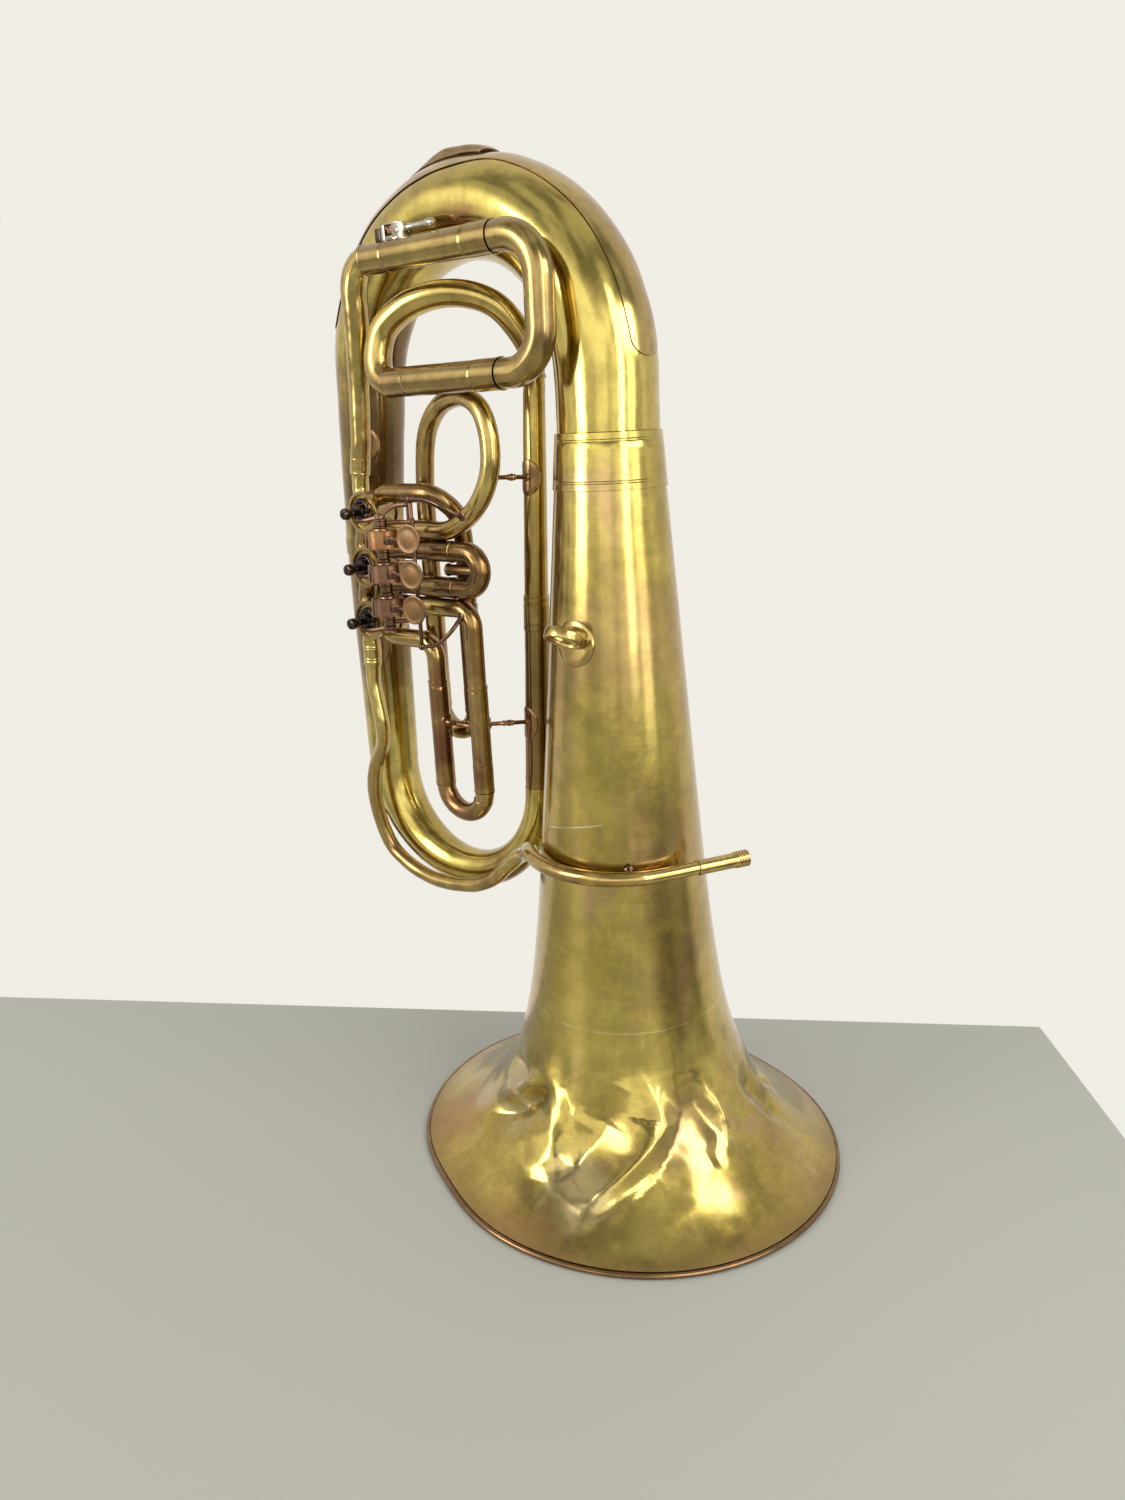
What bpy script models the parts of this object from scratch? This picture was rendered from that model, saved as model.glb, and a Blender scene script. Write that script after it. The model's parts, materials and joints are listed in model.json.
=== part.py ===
"""Bass tuba with three rotary valves, standing upside down on its bell.

Metres, +Z up. The rim of the bell lies flat on the floor. Above its crushed flare the whole
body leans a little to one side and to the back, so everything but the rim is laid out in an
upright frame and carried by a tilted empty:
    u  runs from the outer branch towards the bell
    v  runs from the valves to the back
    w  runs up the bell
"""
import math
from math import cos, pi, radians, sin, sqrt

import bmesh
import bpy
import numpy as np
from mathutils import Quaternion, Vector

# Lean of the body above the flare
LEAN_BACK = radians(2.6)
LEAN_SIDE = radians(-3.0)
FLARE_SETTLES_BELOW = 0.12

# Clearances and walls
GAP = 0.0003
SLIDE_FIT = 0.0001
SHEET = 0.0008
TUBE_WALL = 0.0007
MERGE = 0.000002
CUT_REACH = 0.020

# Bell: outer radius against height
BELL_EDGE_RADIUS = 0.1915
BELL_THROAT_RADIUS = 0.0416
BELL_TAPER = 0.0828
FLARE_LENGTH = 0.0541
LIP_CURL = 0.0057
LIP_LENGTH = 0.006
RIM_WIRE_RADIUS = 0.0024
GARLAND_LENGTH = 0.043
BELL_STEPS = 26
BELL_STATIONS = (0.46, 0.31, 0.22, 0.16, 0.12, 0.09, 0.064, 0.042, 0.026, 0.0125)
SLOPE_STEP = 0.001

# Big bow, at the top
BOW_CENTRE_W = 0.6838
BOW_RADIUS = 0.1347
BOW_START_BELOW_CENTRE = 0.0428
BOW_END_BELOW_CENTRE = 0.1388
BOW_LEG_LEAN = radians(5.8)
BOW_TAPER = ((0, 0.0408), (45, 0.0402), (90, 0.0387), (120, 0.0366), (150, 0.0338), (180, 0.0306))
BOW_END_RADIUS = 0.0274
BOW_ARC_STEPS = 12
BOW_SIDES = 16
SMALL_BOW_SIDES = 12
SMALL_BOW_ARC_STEPS = 10

# Outer branch, small bow and inner branch
SMALL_BOW_BELOW_VALVES = 0.1558
SMALL_BOW_STUB = 0.004
BRANCH_DRIFT = 0.0025
END_STRAIGHT = 0.008
OUTER_BRANCH_TAPER = ((0.0, 0.0272), (0.28, 0.0268), (0.6, 0.0257), (1.0, 0.0245))
SMALL_BOW_TAPER = ((180, 0.0245), (270, 0.0180), (360, 0.0122))
INNER_BRANCH_FOOT_U = -0.0925
INNER_BRANCH_HEAD_U = -0.0735
INNER_BRANCH_HEAD_ABOVE_BOW_CENTRE = 0.0012
INNER_BRANCH_TAPER = ((0.0, 0.0119), (0.3, 0.0110), (0.6, 0.0102), (1.0, 0.0092))
INNER_FERRULE_AT = 0.41
INNER_FERRULE_LENGTH = 0.031

# Guards
GUARD_SHEET = 0.0009
BIG_GUARD_STATIONS = 11
BIG_GUARD_HALF_WIDTH = ((0, 32), (70, 32), (90, 55), (180, 55))
SMALL_GUARD_DEGREES = (205, 335)
SMALL_GUARD_HALF_WIDTH = ((180, 66), (360, 66))

# Main tuning slide, in front of the big bow
MAIN_V = -0.064
MAIN_SLEEVE_RADIUS = 0.0118
MAIN_FERRULE_RADIUS = 0.0126
MAIN_LEG_FIT = 0.0007
MAIN_UPPER_ABOVE_BOW_CENTRE = 0.0987
MAIN_LOWER_ABOVE_BOW_CENTRE = 0.0032
MAIN_UPPER_FROM_OUTER_BRANCH = 0.0934
MAIN_LOWER_FROM_OUTER_BRANCH = 0.1074
MAIN_SLEEVE_END_U = -0.0510
MAIN_FERRULE_LENGTH = 0.0238
MAIN_LEG_INSIDE = 0.095
MAIN_CROOK_U = -0.0110
MAIN_STEPS = 12
MAIN_CROOK_BEND = 0.0255
ARC_FIT = 0.0006
ARC_WIDER_THAN_BRANCH = 0.0004

# Bends of the exit tube: shares of its way from the port to the upper sleeve
EXIT_BENDS = (
    (0.023, 0.0, 0.061),
    (0.162, 0.125, 0.210),
    (0.317, 0.310, 0.500),
    (0.433, 0.560, 0.657),
    (0.526, 0.810, 0.801),
    (0.583, 1.0, 0.912),
    (0.745, 1.0, 0.978),
    (0.977, 1.0, 1.0),
)
EXIT_BRACE_BEND = 1

# Bends of the arched tube: first from the end of the lower sleeve, then as shares of its way to
# the inner branch, each with its height over the sleeve
ARC_TURNS_UP = (
    (-0.0010, 0.0, 0.0),
    (-0.0105, 0.0010, 0.0065),
    (-0.0145, 0.0030, 0.0210),
    (-0.0090, 0.0070, 0.0420),
)
ARC_BENDS = (
    (0.098, 0.203, 0.0570),
    (0.351, 0.344, 0.0650),
    (0.605, 0.531, 0.0640),
    (0.800, 0.719, 0.0545),
    (0.927, 0.891, 0.0350),
)
ARC_COMES_DOWN = (0.016, 0.006, GAP)
SLEEVE_SEAT = 0.006

# Rotary valves: axes run along v
VALVES_FROM_OUTER_BRANCH = 0.0596
VALVES_BELOW_BOW_CENTRE = 0.1980
VALVE_SPACE = 0.0132
VALVE_LINE_TILT = radians(3.5)
VALVE_COUNT = 3
TUBE_V = -0.056
CASING_RADIUS = 0.0175
CASING_WALL = 0.0022
FACE_V = -0.0700
FACE_LIP = 0.0004
FACE_THICKNESS = 0.0035
CAVITY_FRONT_V = -0.0645
CASING_REAR_V = -0.0420
STEM_RADIUS = 0.0030
JOURNAL_RADIUS = 0.0035
CAP_WALL = 0.0013
CAP_END = 0.0020
CAP_OVERLAP = 0.0050
CAP_HOLE = 0.0030
BEARING_PLATE = 0.0030
KNUCKLE_RADIUS = 0.0072
KNUCKLE_BEND = 0.010
VALVE_STEPS = 16
PORT_SIDES = 8

# Stop mechanism on the valve faces
STOP_V = -0.0735
STOP_PIN_RADIUS = 0.0086
STOP_PIN_ANGLE = radians(-45)
STOP_PIN_TIP_V = -0.0808
STOP_PIN_WIRE = 0.0019
STOP_HUB_RADIUS = 0.0066
STOP_HUB_FRONT = 0.0030
STOP_HUB_REAR = 0.0015
STOP_ARM_WIDTH = 0.0042
STOP_ARM_THICKNESS = 0.0024
SCREW_HEAD_V = -0.0925
SCREW_HEAD_RADIUS = 0.0050
SCREW_HEAD_BEVEL = 0.0010
SCREW_HEAD_LENGTH = 0.0060

# Valve slides
SLEEVE_RADIUS = 0.0086
FERRULE_WALL = 0.0008
SLIDE_BEND = 0.016
SLIDE_1_LEFT = 0.0682
SLIDE_1_RIGHT = 0.1158
SLIDE_1_SLEEVE_TOP = -0.0518
SLIDE_1_FERRULE = -0.1228
SLIDE_1_END = -0.1468
SLIDE_2_FERRULE = 0.0738
SLIDE_2_END = 0.0983
SLIDE_2_CROOK = 0.1133
SLIDE_3_V = -0.034
SLIDE_3_LEFT = 0.0488
SLIDE_3_RIGHT = 0.0903
SLIDE_3_SLEEVE_TOP = 0.0142
SLIDE_3_FERRULE = -0.0598
SLIDE_3_END = -0.0808
SLIDE_3_STRAIGHT = 0.030
SLEEVE_STEP = 0.0015
FERRULE_SHARE = 0.03
LEG_INSIDE = 0.060
LEG_INSIDE_SHORT = 0.040

# Bends of the third slide's front loop, from its port: the last value is a share of the height
# under the main slide
LOOP_BENDS = (
    (0.0435, 0.0, 0.0),
    (0.0705, 0.0, 0.004),
    (0.1005, 0.0, 0.137),
    (0.1190, 0.0, 0.357),
    (0.1220, 0.0005, 0.590),
    (0.1135, 0.0020, 0.786),
    (0.0905, 0.0080, 0.881),
    (0.0585, 0.0140, 0.840),
    (0.0355, 0.0190, 0.673),
    (0.0245, 0.0220, 0.333),
)
LOOP_BRACE_BEND = 3

# Bends of the third slide's return, from its port
RETURN_BENDS = (
    (0.0345, 0.0, 0.0),
    (0.0485, 0.0020, -0.0008),
    (0.0585, 0.0085, -0.0075),
    (0.0640, 0.0175, -0.0190),
)
RETURN_STRAIGHT = -0.0350

# Leadpipe and receiver
LEADPIPE_RADIUS = 0.0068
LEADPIPE_FERRULE_RADIUS = 0.0076
LEADPIPE_END_RADIUS = 0.0054
LEAD_RING_OFF_BELL = 0.0109
LEAD_RING_ABOVE_SMALL_BOW = 0.0643
LEAD_RING_STARTS = radians(-128)
LEAD_RING_LEAVES = radians(-30)

# Bends of the leadpipe: down from the port, beside the small bow, under it, and up to the turn
# round the bell: angle, distance outside the turn and height over it
LEAD_DOWN = (
    (0.0, 0.0, -0.0100),
    (-0.0010, 0.0, -0.0260),
    (-0.0020, 0.0, -0.0419),
    (0.0015, 0.0, -0.0658),
    (0.0041, 0.0, -0.0849),
    (-0.0049, 0.0060, -0.1064),
)
LEAD_BESIDE_BOW = ((0.0241, -0.045, 0.0070), (0.0175, -0.045, -0.0180), (0.0155, -0.040, -0.0520))
LEAD_UNDER_BOW = (
    (-0.744, 0.0167),
    (-0.492, 0.0019),
    (-0.179, -0.0057),
    (0.147, -0.0047),
    (0.449, 0.0017),
    (0.677, 0.0135),
    (0.865, 0.0298),
)
LEAD_UNDER_V = -0.035
LEAD_TO_RING = (
    (radians(-158.3), 0.0157, -0.0213),
    (radians(-151.8), 0.0051, -0.0123),
    (radians(-141.3), 0.0003, -0.0030),
)
RECEIVER_REACH = 0.078
RECEIVER_LENGTH = 0.047
RECEIVER_SEAT = 0.008
RECEIVER_RADIUS = 0.0064
RECEIVER_RING = 0.0006
RECEIVER_RING_LENGTH = 0.012
RECEIVER_BORE = 0.0057

# Key machine: the axle runs along w
AXLE_FROM_VALVES = 0.0608
AXLE_V = -0.100
AXLE_RADIUS = 0.0030
AXLE_BELOW_DRUMS = 0.0225
AXLE_ABOVE_DRUMS = 0.0200
DRUM_RADIUS = 0.0130
DRUM_HEIGHT = 0.0150
DRUM_PITCH = 0.0280
DRUMS_ABOVE_VALVES = 0.0016
DRUM_BORE = 0.0035
DRUM_WALL = 0.0010
DRUM_HUB = 0.0052
TOUCH_RADIUS = 0.0109
TOUCH_THICKNESS = 0.0016
TOUCH_OFFSET = Vector((0.0525, -0.0200, 0.0033))
CRANK_RADIUS = 0.0270
KEY_TRAVEL = radians(26)
CRANK_ANGLE = radians(90) - KEY_TRAVEL / 2
CRANK_PIN_RADIUS = 0.0016
CRANK_PAST_PIN = 0.0020
LEVER_WIDTH = 0.0044
LEVER_THICKNESS = 0.0026
LINK_RISE = 0.0135
LINK_RADIUS = 0.0013
LINK_OFF_PIN = 0.0010
LINK_PAST_PIN = 0.0015
LINK_STRAIGHT = 0.0080
LINK_SWAY = 0.0022
RAIL_FROM_AXLE = 0.0160
RAIL_BEHIND_AXLE = 0.0200
RAIL_RADIUS = 0.0018
RAIL_BELOW_AXLE = 0.0145
RAIL_ABOVE_AXLE = 0.0110
RAIL_BALL_RADIUS = 0.0034
STAY_RADIUS = 0.0017
STAY_ON_BEND = 0.35
STAY_ON_LOOP = 0.77
ARM = 0.0036
ARM_SINKS = 0.0010
EYE_RADIUS = 0.0055
AXLE_COLLAR = 0.0025
AXLE_COLLAR_LIP = 0.0016
AXLE_BEVEL = 0.0006
STAY_SEAT = 0.0007

# Bends of the stays: shares of their way from the rail to the tube that they hold
STAY_UPPER_BENDS = ((0.45, 0.0, 0.08), (0.81, 0.14, 0.43), (0.976, 0.70, 0.89))
STAY_LOWER_BENDS = ((0.50, 0.0, 0.12), (0.97, 0.28, 0.61))

# Braces
BRACE_FLANGE = 0.0060
BRACE_FLANGE_THICKNESS = 0.0011
BRACE_NECK = 0.0021
BRACE_COVE = 0.0004
BRACE_KNOB = 0.0033
BRACE_KNOB_HALF = 0.0035
BRACE_FIT = 0.0009
LOWER_BRACE_ABOVE_SLIDE_END = 0.061
SLIDE_1_BRACE_ABOVE_END = 0.058
OUTER_BRACE_BELOW_PORT = 0.018
MAIN_BRACE_FROM_SLEEVE_END = 0.013
UPPER_BRACE_FALLS = 0.003
LOWER_BRACE_FALLS = 0.008

# Pressed plate on the crown of the big bow: its height over the guard along and across the bow
FOOT_ALONG = ((80.0, 0.0), (81.2, 0.0026), (84.0, 0.0033), (93.5, 0.0056), (100.5, 0.0027), (108.0, 0.0))
FOOT_ACROSS = ((-1.0, 0.0), (-0.72, 1.0), (0.0, 1.0), (0.72, 1.0), (1.0, 0.0))
FOOT_HALF_WIDTH = 0.0150
FOOT_SHEET = 0.0010

# Carrying ring on the bell
STRAP_BELOW_BELL_TOP = 0.160
STRAP_PLATE_RADIUS = 0.0180
STRAP_PLATE_THICKNESS = 0.0012
STRAP_PLATE_SKIRT = 0.0040
STRAP_RING_RADIUS = 0.0160
STRAP_BAND = 0.0090
STRAP_THICKNESS = 0.0026
STRAP_RISE = radians(30)

# Lyre clamp on the upper sleeve
CLAMP_FROM_SLEEVE_START = 0.0370
CLAMP_LENGTH = 0.0240
CLAMP_HEIGHT = 0.0130
CLAMP_WIDTH = 0.0120
CLAMP_SOCKET = 0.0064
CLAMP_SCREW_RADIUS = 0.0026
CLAMP_SCREW_LENGTH = 0.0300
CLAMP_SINKS = 0.0030
CLAMP_SOCKET_OFF_MIDDLE = 0.0040
CLAMP_SOCKET_OVER_MIDDLE = 0.0025
CLAMP_SCREW_BACK = 0.0010
CLAMP_GRIP_LENGTH = 0.0270
CLAMP_GRIP_RADIUS = 0.0035

# Surface finishes: colour, roughness, metallic
FINISHES = {
    "yellow_brass": ((0.62, 0.47, 0.16), 0.30, 1.0),
    "dull_brass": ((0.45, 0.31, 0.12), 0.45, 1.0),
    "red_brass": ((0.42, 0.22, 0.12), 0.42, 1.0),
    "dark_steel": ((0.05, 0.04, 0.035), 0.55, 0.7),
    "nickel_silver": ((0.55, 0.52, 0.46), 0.30, 1.0),
}


# Collections and empties

def start_scene():
    for old in list(bpy.data.objects):
        bpy.data.objects.remove(old)
    for name in ("bass_tuba", "cutters"):
        collection = bpy.data.collections.new(name)
        bpy.context.scene.collection.children.link(collection)


def empty(name, parent=None):
    holder = bpy.data.objects.new(name, None)
    bpy.data.collections["bass_tuba"].objects.link(holder)
    holder.parent = parent
    return holder


def finish(piece, name):
    colour, roughness, metallic = FINISHES[name]
    material = bpy.data.materials.new(piece.name + "_" + name)
    material.use_nodes = True
    shader = material.node_tree.nodes["Principled BSDF"]
    shader.inputs["Base Color"].default_value = (*colour, 1.0)
    shader.inputs["Roughness"].default_value = roughness
    shader.inputs["Metallic"].default_value = metallic
    piece.data.materials.clear()
    piece.data.materials.append(material)


def place(piece, parent, collection="bass_tuba"):
    for old in list(piece.users_collection):
        old.objects.unlink(piece)
    bpy.data.collections[collection].objects.link(piece)
    piece.parent = parent
    return piece


def evaluated_mesh(piece):
    bpy.context.view_layer.update()
    graph = bpy.context.evaluated_depsgraph_get()
    mesh = bpy.data.meshes.new_from_object(piece.evaluated_get(graph))
    edit = bmesh.new()
    edit.from_mesh(mesh)
    bmesh.ops.remove_doubles(edit, verts=edit.verts, dist=MERGE)
    edit.to_mesh(mesh)
    edit.free()
    return mesh


def as_mesh(piece):
    """Turn a curve, or an object with modifiers, into a plain mesh object of the same name."""
    mesh = evaluated_mesh(piece)
    name = piece.name
    matrix = piece.matrix_world.copy()
    bpy.data.objects.remove(piece)
    made = bpy.data.objects.new(name, mesh)
    made.matrix_world = matrix
    bpy.context.scene.collection.objects.link(made)
    return made


def settle(piece):
    """Write the object's place into its mesh, so that it sits at the origin of its frame."""
    bpy.context.view_layer.update()
    piece.data.transform(piece.matrix_world)
    piece.matrix_world.identity()
    return piece


def pivot_at(piece, point):
    """Move the origin of a moving piece onto its joint's axis."""
    point = Vector(point)
    piece.data.transform(piece.matrix_world.Translation(-point))
    piece.location = point


# Shapes

def along(direction):
    """The turn that lays +Z along a direction."""
    return Vector((0, 0, 1)).rotation_difference(Vector(direction).normalized())


def rod(name, start, end, radius, sides=8, roll=0.0):
    start, end = Vector(start), Vector(end)
    turn = along(end - start) @ Quaternion((0, 0, 1), roll)
    bpy.ops.mesh.primitive_cylinder_add(
        vertices=sides,
        radius=radius,
        depth=(end - start).length,
        location=(start + end) / 2,
        rotation=turn.to_euler(),
    )
    piece = bpy.context.object
    piece.name = name
    return settle(piece)


def ball(name, centre, radius, sides=8):
    bpy.ops.mesh.primitive_uv_sphere_add(
        segments=sides, ring_count=sides // 2 + 1, radius=radius, location=centre
    )
    piece = bpy.context.object
    piece.name = name
    return settle(piece)


def box(name, centre, size, direction=(0, 0, 1)):
    bpy.ops.mesh.primitive_cube_add(size=1.0, location=centre, rotation=along(direction).to_euler())
    piece = bpy.context.object
    piece.name = name
    piece.scale = size
    return settle(piece)


def bar(name, start, end, width, thickness, flat_to):
    """A flat bar between two points, its thickness measured along flat_to."""
    start, end, flat_to = Vector(start), Vector(end), Vector(flat_to).normalized()
    run = (end - start).normalized()
    across = flat_to.cross(run).normalized()
    up = run.cross(across)
    piece = box(name, (0, 0, 0), ((end - start).length, width, thickness))
    for vertex in piece.data.vertices:
        x, y, z = vertex.co
        vertex.co = (start + end) / 2 + run * x + across * y + up * z
    return piece


def turned(name, profile, origin, axis, steps):
    """A turned piece. The profile is a list of (radius, distance along the axis), outer side
    from top to bottom and then back up the inner side or along the axis."""
    mesh = bpy.data.meshes.new(name)
    on_axis = profile[0][0] == 0 and profile[-1][0] == 0
    last = len(profile) - 1
    edges = [(i, i + 1) for i in range(last)]
    if not on_axis:
        edges.append((last, 0))
    mesh.from_pydata([(r, 0, z) for r, z in profile], edges, [])
    piece = bpy.data.objects.new(name, mesh)
    bpy.context.scene.collection.objects.link(piece)
    screw = piece.modifiers.new("turn", "SCREW")
    screw.axis = "Z"
    screw.steps = steps
    screw.render_steps = steps
    screw.use_merge_vertices = True
    screw.merge_threshold = MERGE
    piece = as_mesh(piece)
    piece.rotation_euler = along(axis).to_euler()
    piece.location = origin
    return settle(piece)


def tube_surface(name, path, radii, sides):
    curve = bpy.data.curves.new(name, "CURVE")
    curve.dimensions = "3D"
    curve.bevel_depth = 1.0
    curve.bevel_resolution = (sides - 4) // 2
    spline = curve.splines.new("POLY")
    spline.points.add(len(path) - 1)
    for point, place_at, radius in zip(spline.points, path, radii):
        point.co = (*place_at, 1)
        point.radius = radius
    line = bpy.data.objects.new(name, curve)
    bpy.context.scene.collection.objects.link(line)
    return as_mesh(line)


def tube(name, path, radii, sides=8, wall=TUBE_WALL):
    """A hollow tube, open at both ends. The radii are outer ones."""
    piece = tube_surface(name, path, radii, sides)
    shell = piece.modifiers.new("wall", "SOLIDIFY")
    shell.thickness = wall
    shell.offset = -1
    return piece


def wire(name, path, radius, sides=8):
    """A solid rod bent along a path."""
    curve = bpy.data.curves.new(name, "CURVE")
    curve.dimensions = "3D"
    curve.bevel_depth = radius
    curve.bevel_resolution = (sides - 4) // 2
    curve.use_fill_caps = True
    spline = curve.splines.new("POLY")
    spline.points.add(len(path) - 1)
    for point, place_at in zip(spline.points, path):
        point.co = (*place_at, 1)
    line = bpy.data.objects.new(name, curve)
    bpy.context.scene.collection.objects.link(line)
    return as_mesh(line)


def combine(piece, tool, operation):
    place(tool, None, "cutters")
    tool.hide_render = True
    tool.display_type = "WIRE"
    change = piece.modifiers.new(operation.lower() + "_" + tool.name, "BOOLEAN")
    change.operation = operation
    change.solver = "EXACT"
    change.object = tool
    return piece


def cut(piece, tool):
    return combine(piece, tool, "DIFFERENCE")


def join(piece, tool):
    return combine(piece, tool, "UNION")


def done(piece, parent, finish_name):
    """Apply what is still live on the piece, give it its finish and hand it to its parent."""
    name = piece.name
    piece = as_mesh(piece)
    piece.name = name
    piece.data.shade_smooth()
    piece.data.set_sharp_from_angle(angle=radians(40))
    finish(piece, finish_name)
    return place(piece, parent)


# Paths

def arc(centre, radius, start, end, steps, plane="uw"):
    """Points of an arc in the plane of the bows (uw) or level (uv), angles in radians."""
    centre = Vector(centre)
    points = []
    for angle in np.linspace(start, end, steps + 1):
        across, up = radius * cos(angle), radius * sin(angle)
        offset = Vector((across, 0, up)) if plane == "uw" else Vector((across, up, 0))
        points.append(centre + offset)
    return points


def rounded(corners, bends, steps=4):
    """A path of straight runs whose inner corners are bent to the given radii."""
    corners = [Vector(corner) for corner in corners]
    points = [corners[0]]
    for before, corner, after, bend in zip(corners, corners[1:], corners[2:], bends):
        arrive = (corner - before).normalized()
        leave = (after - corner).normalized()
        turn = arrive.angle(leave)
        reach = bend * math.tan(turn / 2)
        centre = corner + (leave - arrive).normalized() * (bend / cos(turn / 2))
        spoke = corner - arrive * reach - centre
        spin_axis = arrive.cross(leave).normalized()
        for step in range(steps + 1):
            swept = rotated(spoke, spin_axis, turn * step / steps)
            points.append(centre + swept)
    points.append(corners[-1])
    return points


def rotated(vector, axis, angle):
    """Turn a vector about an axis."""
    along_axis = axis * vector.dot(axis)
    across = vector - along_axis
    return along_axis + across * cos(angle) + axis.cross(across) * sin(angle)


def smooth(points, per_span=3):
    """A soft curve through the points, as a bent tube takes it."""
    points = [Vector(point) for point in points]
    padded = [points[0] * 2 - points[1]] + points + [points[-1] * 2 - points[-2]]
    path = []
    for a, b, c, d in zip(padded, padded[1:], padded[2:], padded[3:]):
        for step in range(per_span):
            t = step / per_span
            path.append(
                0.5 * ((2 * b) + (c - a) * t + (2 * a - 5 * b + 4 * c - d) * t * t
                       + (3 * b - a - 3 * c + d) * t * t * t)
            )
    path.append(points[-1])
    return path


def spread(taper, stations):
    """Radii read from (station, radius) pairs."""
    return list(np.interp(stations, [at for at, _ in taper], [radius for _, radius in taper]))


def squared(path):
    """Straighten both ends of a slanting pipe, so that it meets its neighbours squarely."""
    first, last = path[0], path[-1]
    return [first, first - UP * END_STRAIGHT * np.sign(first.z - last.z)] + path[1:-1] + [
        last + UP * END_STRAIGHT * np.sign(first.z - last.z), last
    ]


def lengths(path):
    """The share of the whole run at each point of a path."""
    run = [0.0]
    for before, after in zip(path, path[1:]):
        run.append(run[-1] + (Vector(after) - Vector(before)).length)
    return [at / run[-1] for at in run]


# Sizes that follow from the ones above

BELL_TOP_W = BOW_CENTRE_W - BOW_START_BELOW_CENTRE
BELL_FOOT_W = 2 * RIM_WIRE_RADIUS + GAP
BOW_END_W = BOW_CENTRE_W - BOW_END_BELOW_CENTRE
BOW_LEG_W = BOW_CENTRE_W + BOW_RADIUS * sin(BOW_LEG_LEAN)
BOW_LEG_U = -BOW_RADIUS * (1 + cos(BOW_LEG_LEAN))
OUTER_BRANCH_U = BOW_LEG_U - (BOW_LEG_W - BOW_END_W - END_STRAIGHT) * math.tan(BOW_LEG_LEAN)
MAIN_UPPER_W = BOW_CENTRE_W + MAIN_UPPER_ABOVE_BOW_CENTRE
MAIN_LOWER_W = BOW_CENTRE_W + MAIN_LOWER_ABOVE_BOW_CENTRE
MAIN_UPPER_START_U = OUTER_BRANCH_U + MAIN_UPPER_FROM_OUTER_BRANCH
MAIN_LOWER_START_U = OUTER_BRANCH_U + MAIN_LOWER_FROM_OUTER_BRANCH
MAIN_SLEEVE_BORE = (MAIN_SLEEVE_RADIUS - TUBE_WALL) * cos(pi / MAIN_STEPS)
MAIN_LEG_RADIUS = MAIN_SLEEVE_BORE - MAIN_LEG_FIT
ARC_START_RADIUS = MAIN_SLEEVE_BORE - ARC_FIT
VALVE_PITCH = 2 * CASING_RADIUS + VALVE_SPACE
VALVE_U = OUTER_BRANCH_U + VALVES_FROM_OUTER_BRANCH
VALVE_W = BOW_CENTRE_W - VALVES_BELOW_BOW_CENTRE
CASING_BORE = CASING_RADIUS - CASING_WALL
FACE_RADIUS = CASING_RADIUS + FACE_LIP
CAP_RADIUS = CASING_RADIUS + CAP_WALL
FERRULE_RADIUS = SLEEVE_RADIUS + FERRULE_WALL
SLIDE_1_LEFT_U = VALVE_U + SLIDE_1_LEFT
SLIDE_1_RIGHT_U = VALVE_U + SLIDE_1_RIGHT
SLIDE_1_END_W = VALVE_W + SLIDE_1_END
SLIDE_2_END_U = VALVE_U + SLIDE_2_END
SLIDE_3_LEFT_U = VALVE_U + SLIDE_3_LEFT
SLIDE_3_RIGHT_U = VALVE_U + SLIDE_3_RIGHT
SLIDE_3_SLEEVE_TOP_W = VALVE_W + SLIDE_3_SLEEVE_TOP
SLIDE_3_END_W = VALVE_W + SLIDE_3_END
SMALL_BOW_END_W = VALVE_W - SMALL_BOW_BELOW_VALVES
AXLE_U = VALVE_U + AXLE_FROM_VALVES
RAIL_U = AXLE_U + RAIL_FROM_AXLE
RAIL_V = AXLE_V + RAIL_BEHIND_AXLE
STRAP_W = BELL_TOP_W - STRAP_BELOW_BELL_TOP
CLAMP_U = MAIN_UPPER_START_U + CLAMP_FROM_SLEEVE_START
INNER_HEAD = Vector((INNER_BRANCH_HEAD_U, 0, BOW_CENTRE_W + INNER_BRANCH_HEAD_ABOVE_BOW_CENTRE))
INNER_FOOT = Vector((INNER_BRANCH_FOOT_U, 0, SMALL_BOW_END_W + GAP))
ACROSS = Vector((1, 0, 0))
BACK = Vector((0, 1, 0))
FRONT = Vector((0, -1, 0))
UP = Vector((0, 0, 1))


def bell_radius(w):
    """Outer radius of the bell at a height above the floor."""
    flare = (
        BELL_EDGE_RADIUS
        - BELL_THROAT_RADIUS
        - BELL_TAPER * (BELL_TOP_W - BELL_FOOT_W)
        - LIP_CURL
    )
    above = w - BELL_FOOT_W
    return (
        BELL_THROAT_RADIUS
        + BELL_TAPER * (BELL_TOP_W - w)
        + flare * math.exp(-above / FLARE_LENGTH)
        + LIP_CURL * math.exp(-above / LIP_LENGTH)
    )


def valve_centre(number):
    """Centre of valve 1, 2 or 3 in the plane of the valve tubes."""
    reach = VALVE_PITCH * (number - 1)
    return Vector((VALVE_U + reach * sin(VALVE_LINE_TILT), TUBE_V, VALVE_W + reach * cos(VALVE_LINE_TILT)))


def port_lead(number, side, level, leave):
    """Points from inside a casing, out of one of its four ports and round to a straight run.
    side is -1 or 1 along u, level -1 or 1 along w, and leave says which way the run goes."""
    centre = valve_centre(number)
    slant = sqrt(0.5)
    points = [centre + Vector((side, 0, level)) * CASING_RADIUS * slant * share for share in (0.8, 1.0)]
    port = points[-1]
    for step in (1, 2):
        angle = radians(45 + 22.5 * step)
        straight = KNUCKLE_BEND * (slant - cos(angle))
        sideways = KNUCKLE_BEND * (sin(angle) - slant)
        if leave == "w":
            offset = Vector((side * sideways, 0, level * straight))
        else:
            offset = Vector((side * straight, 0, level * sideways))
        points.append(port + offset)
    return points


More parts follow.
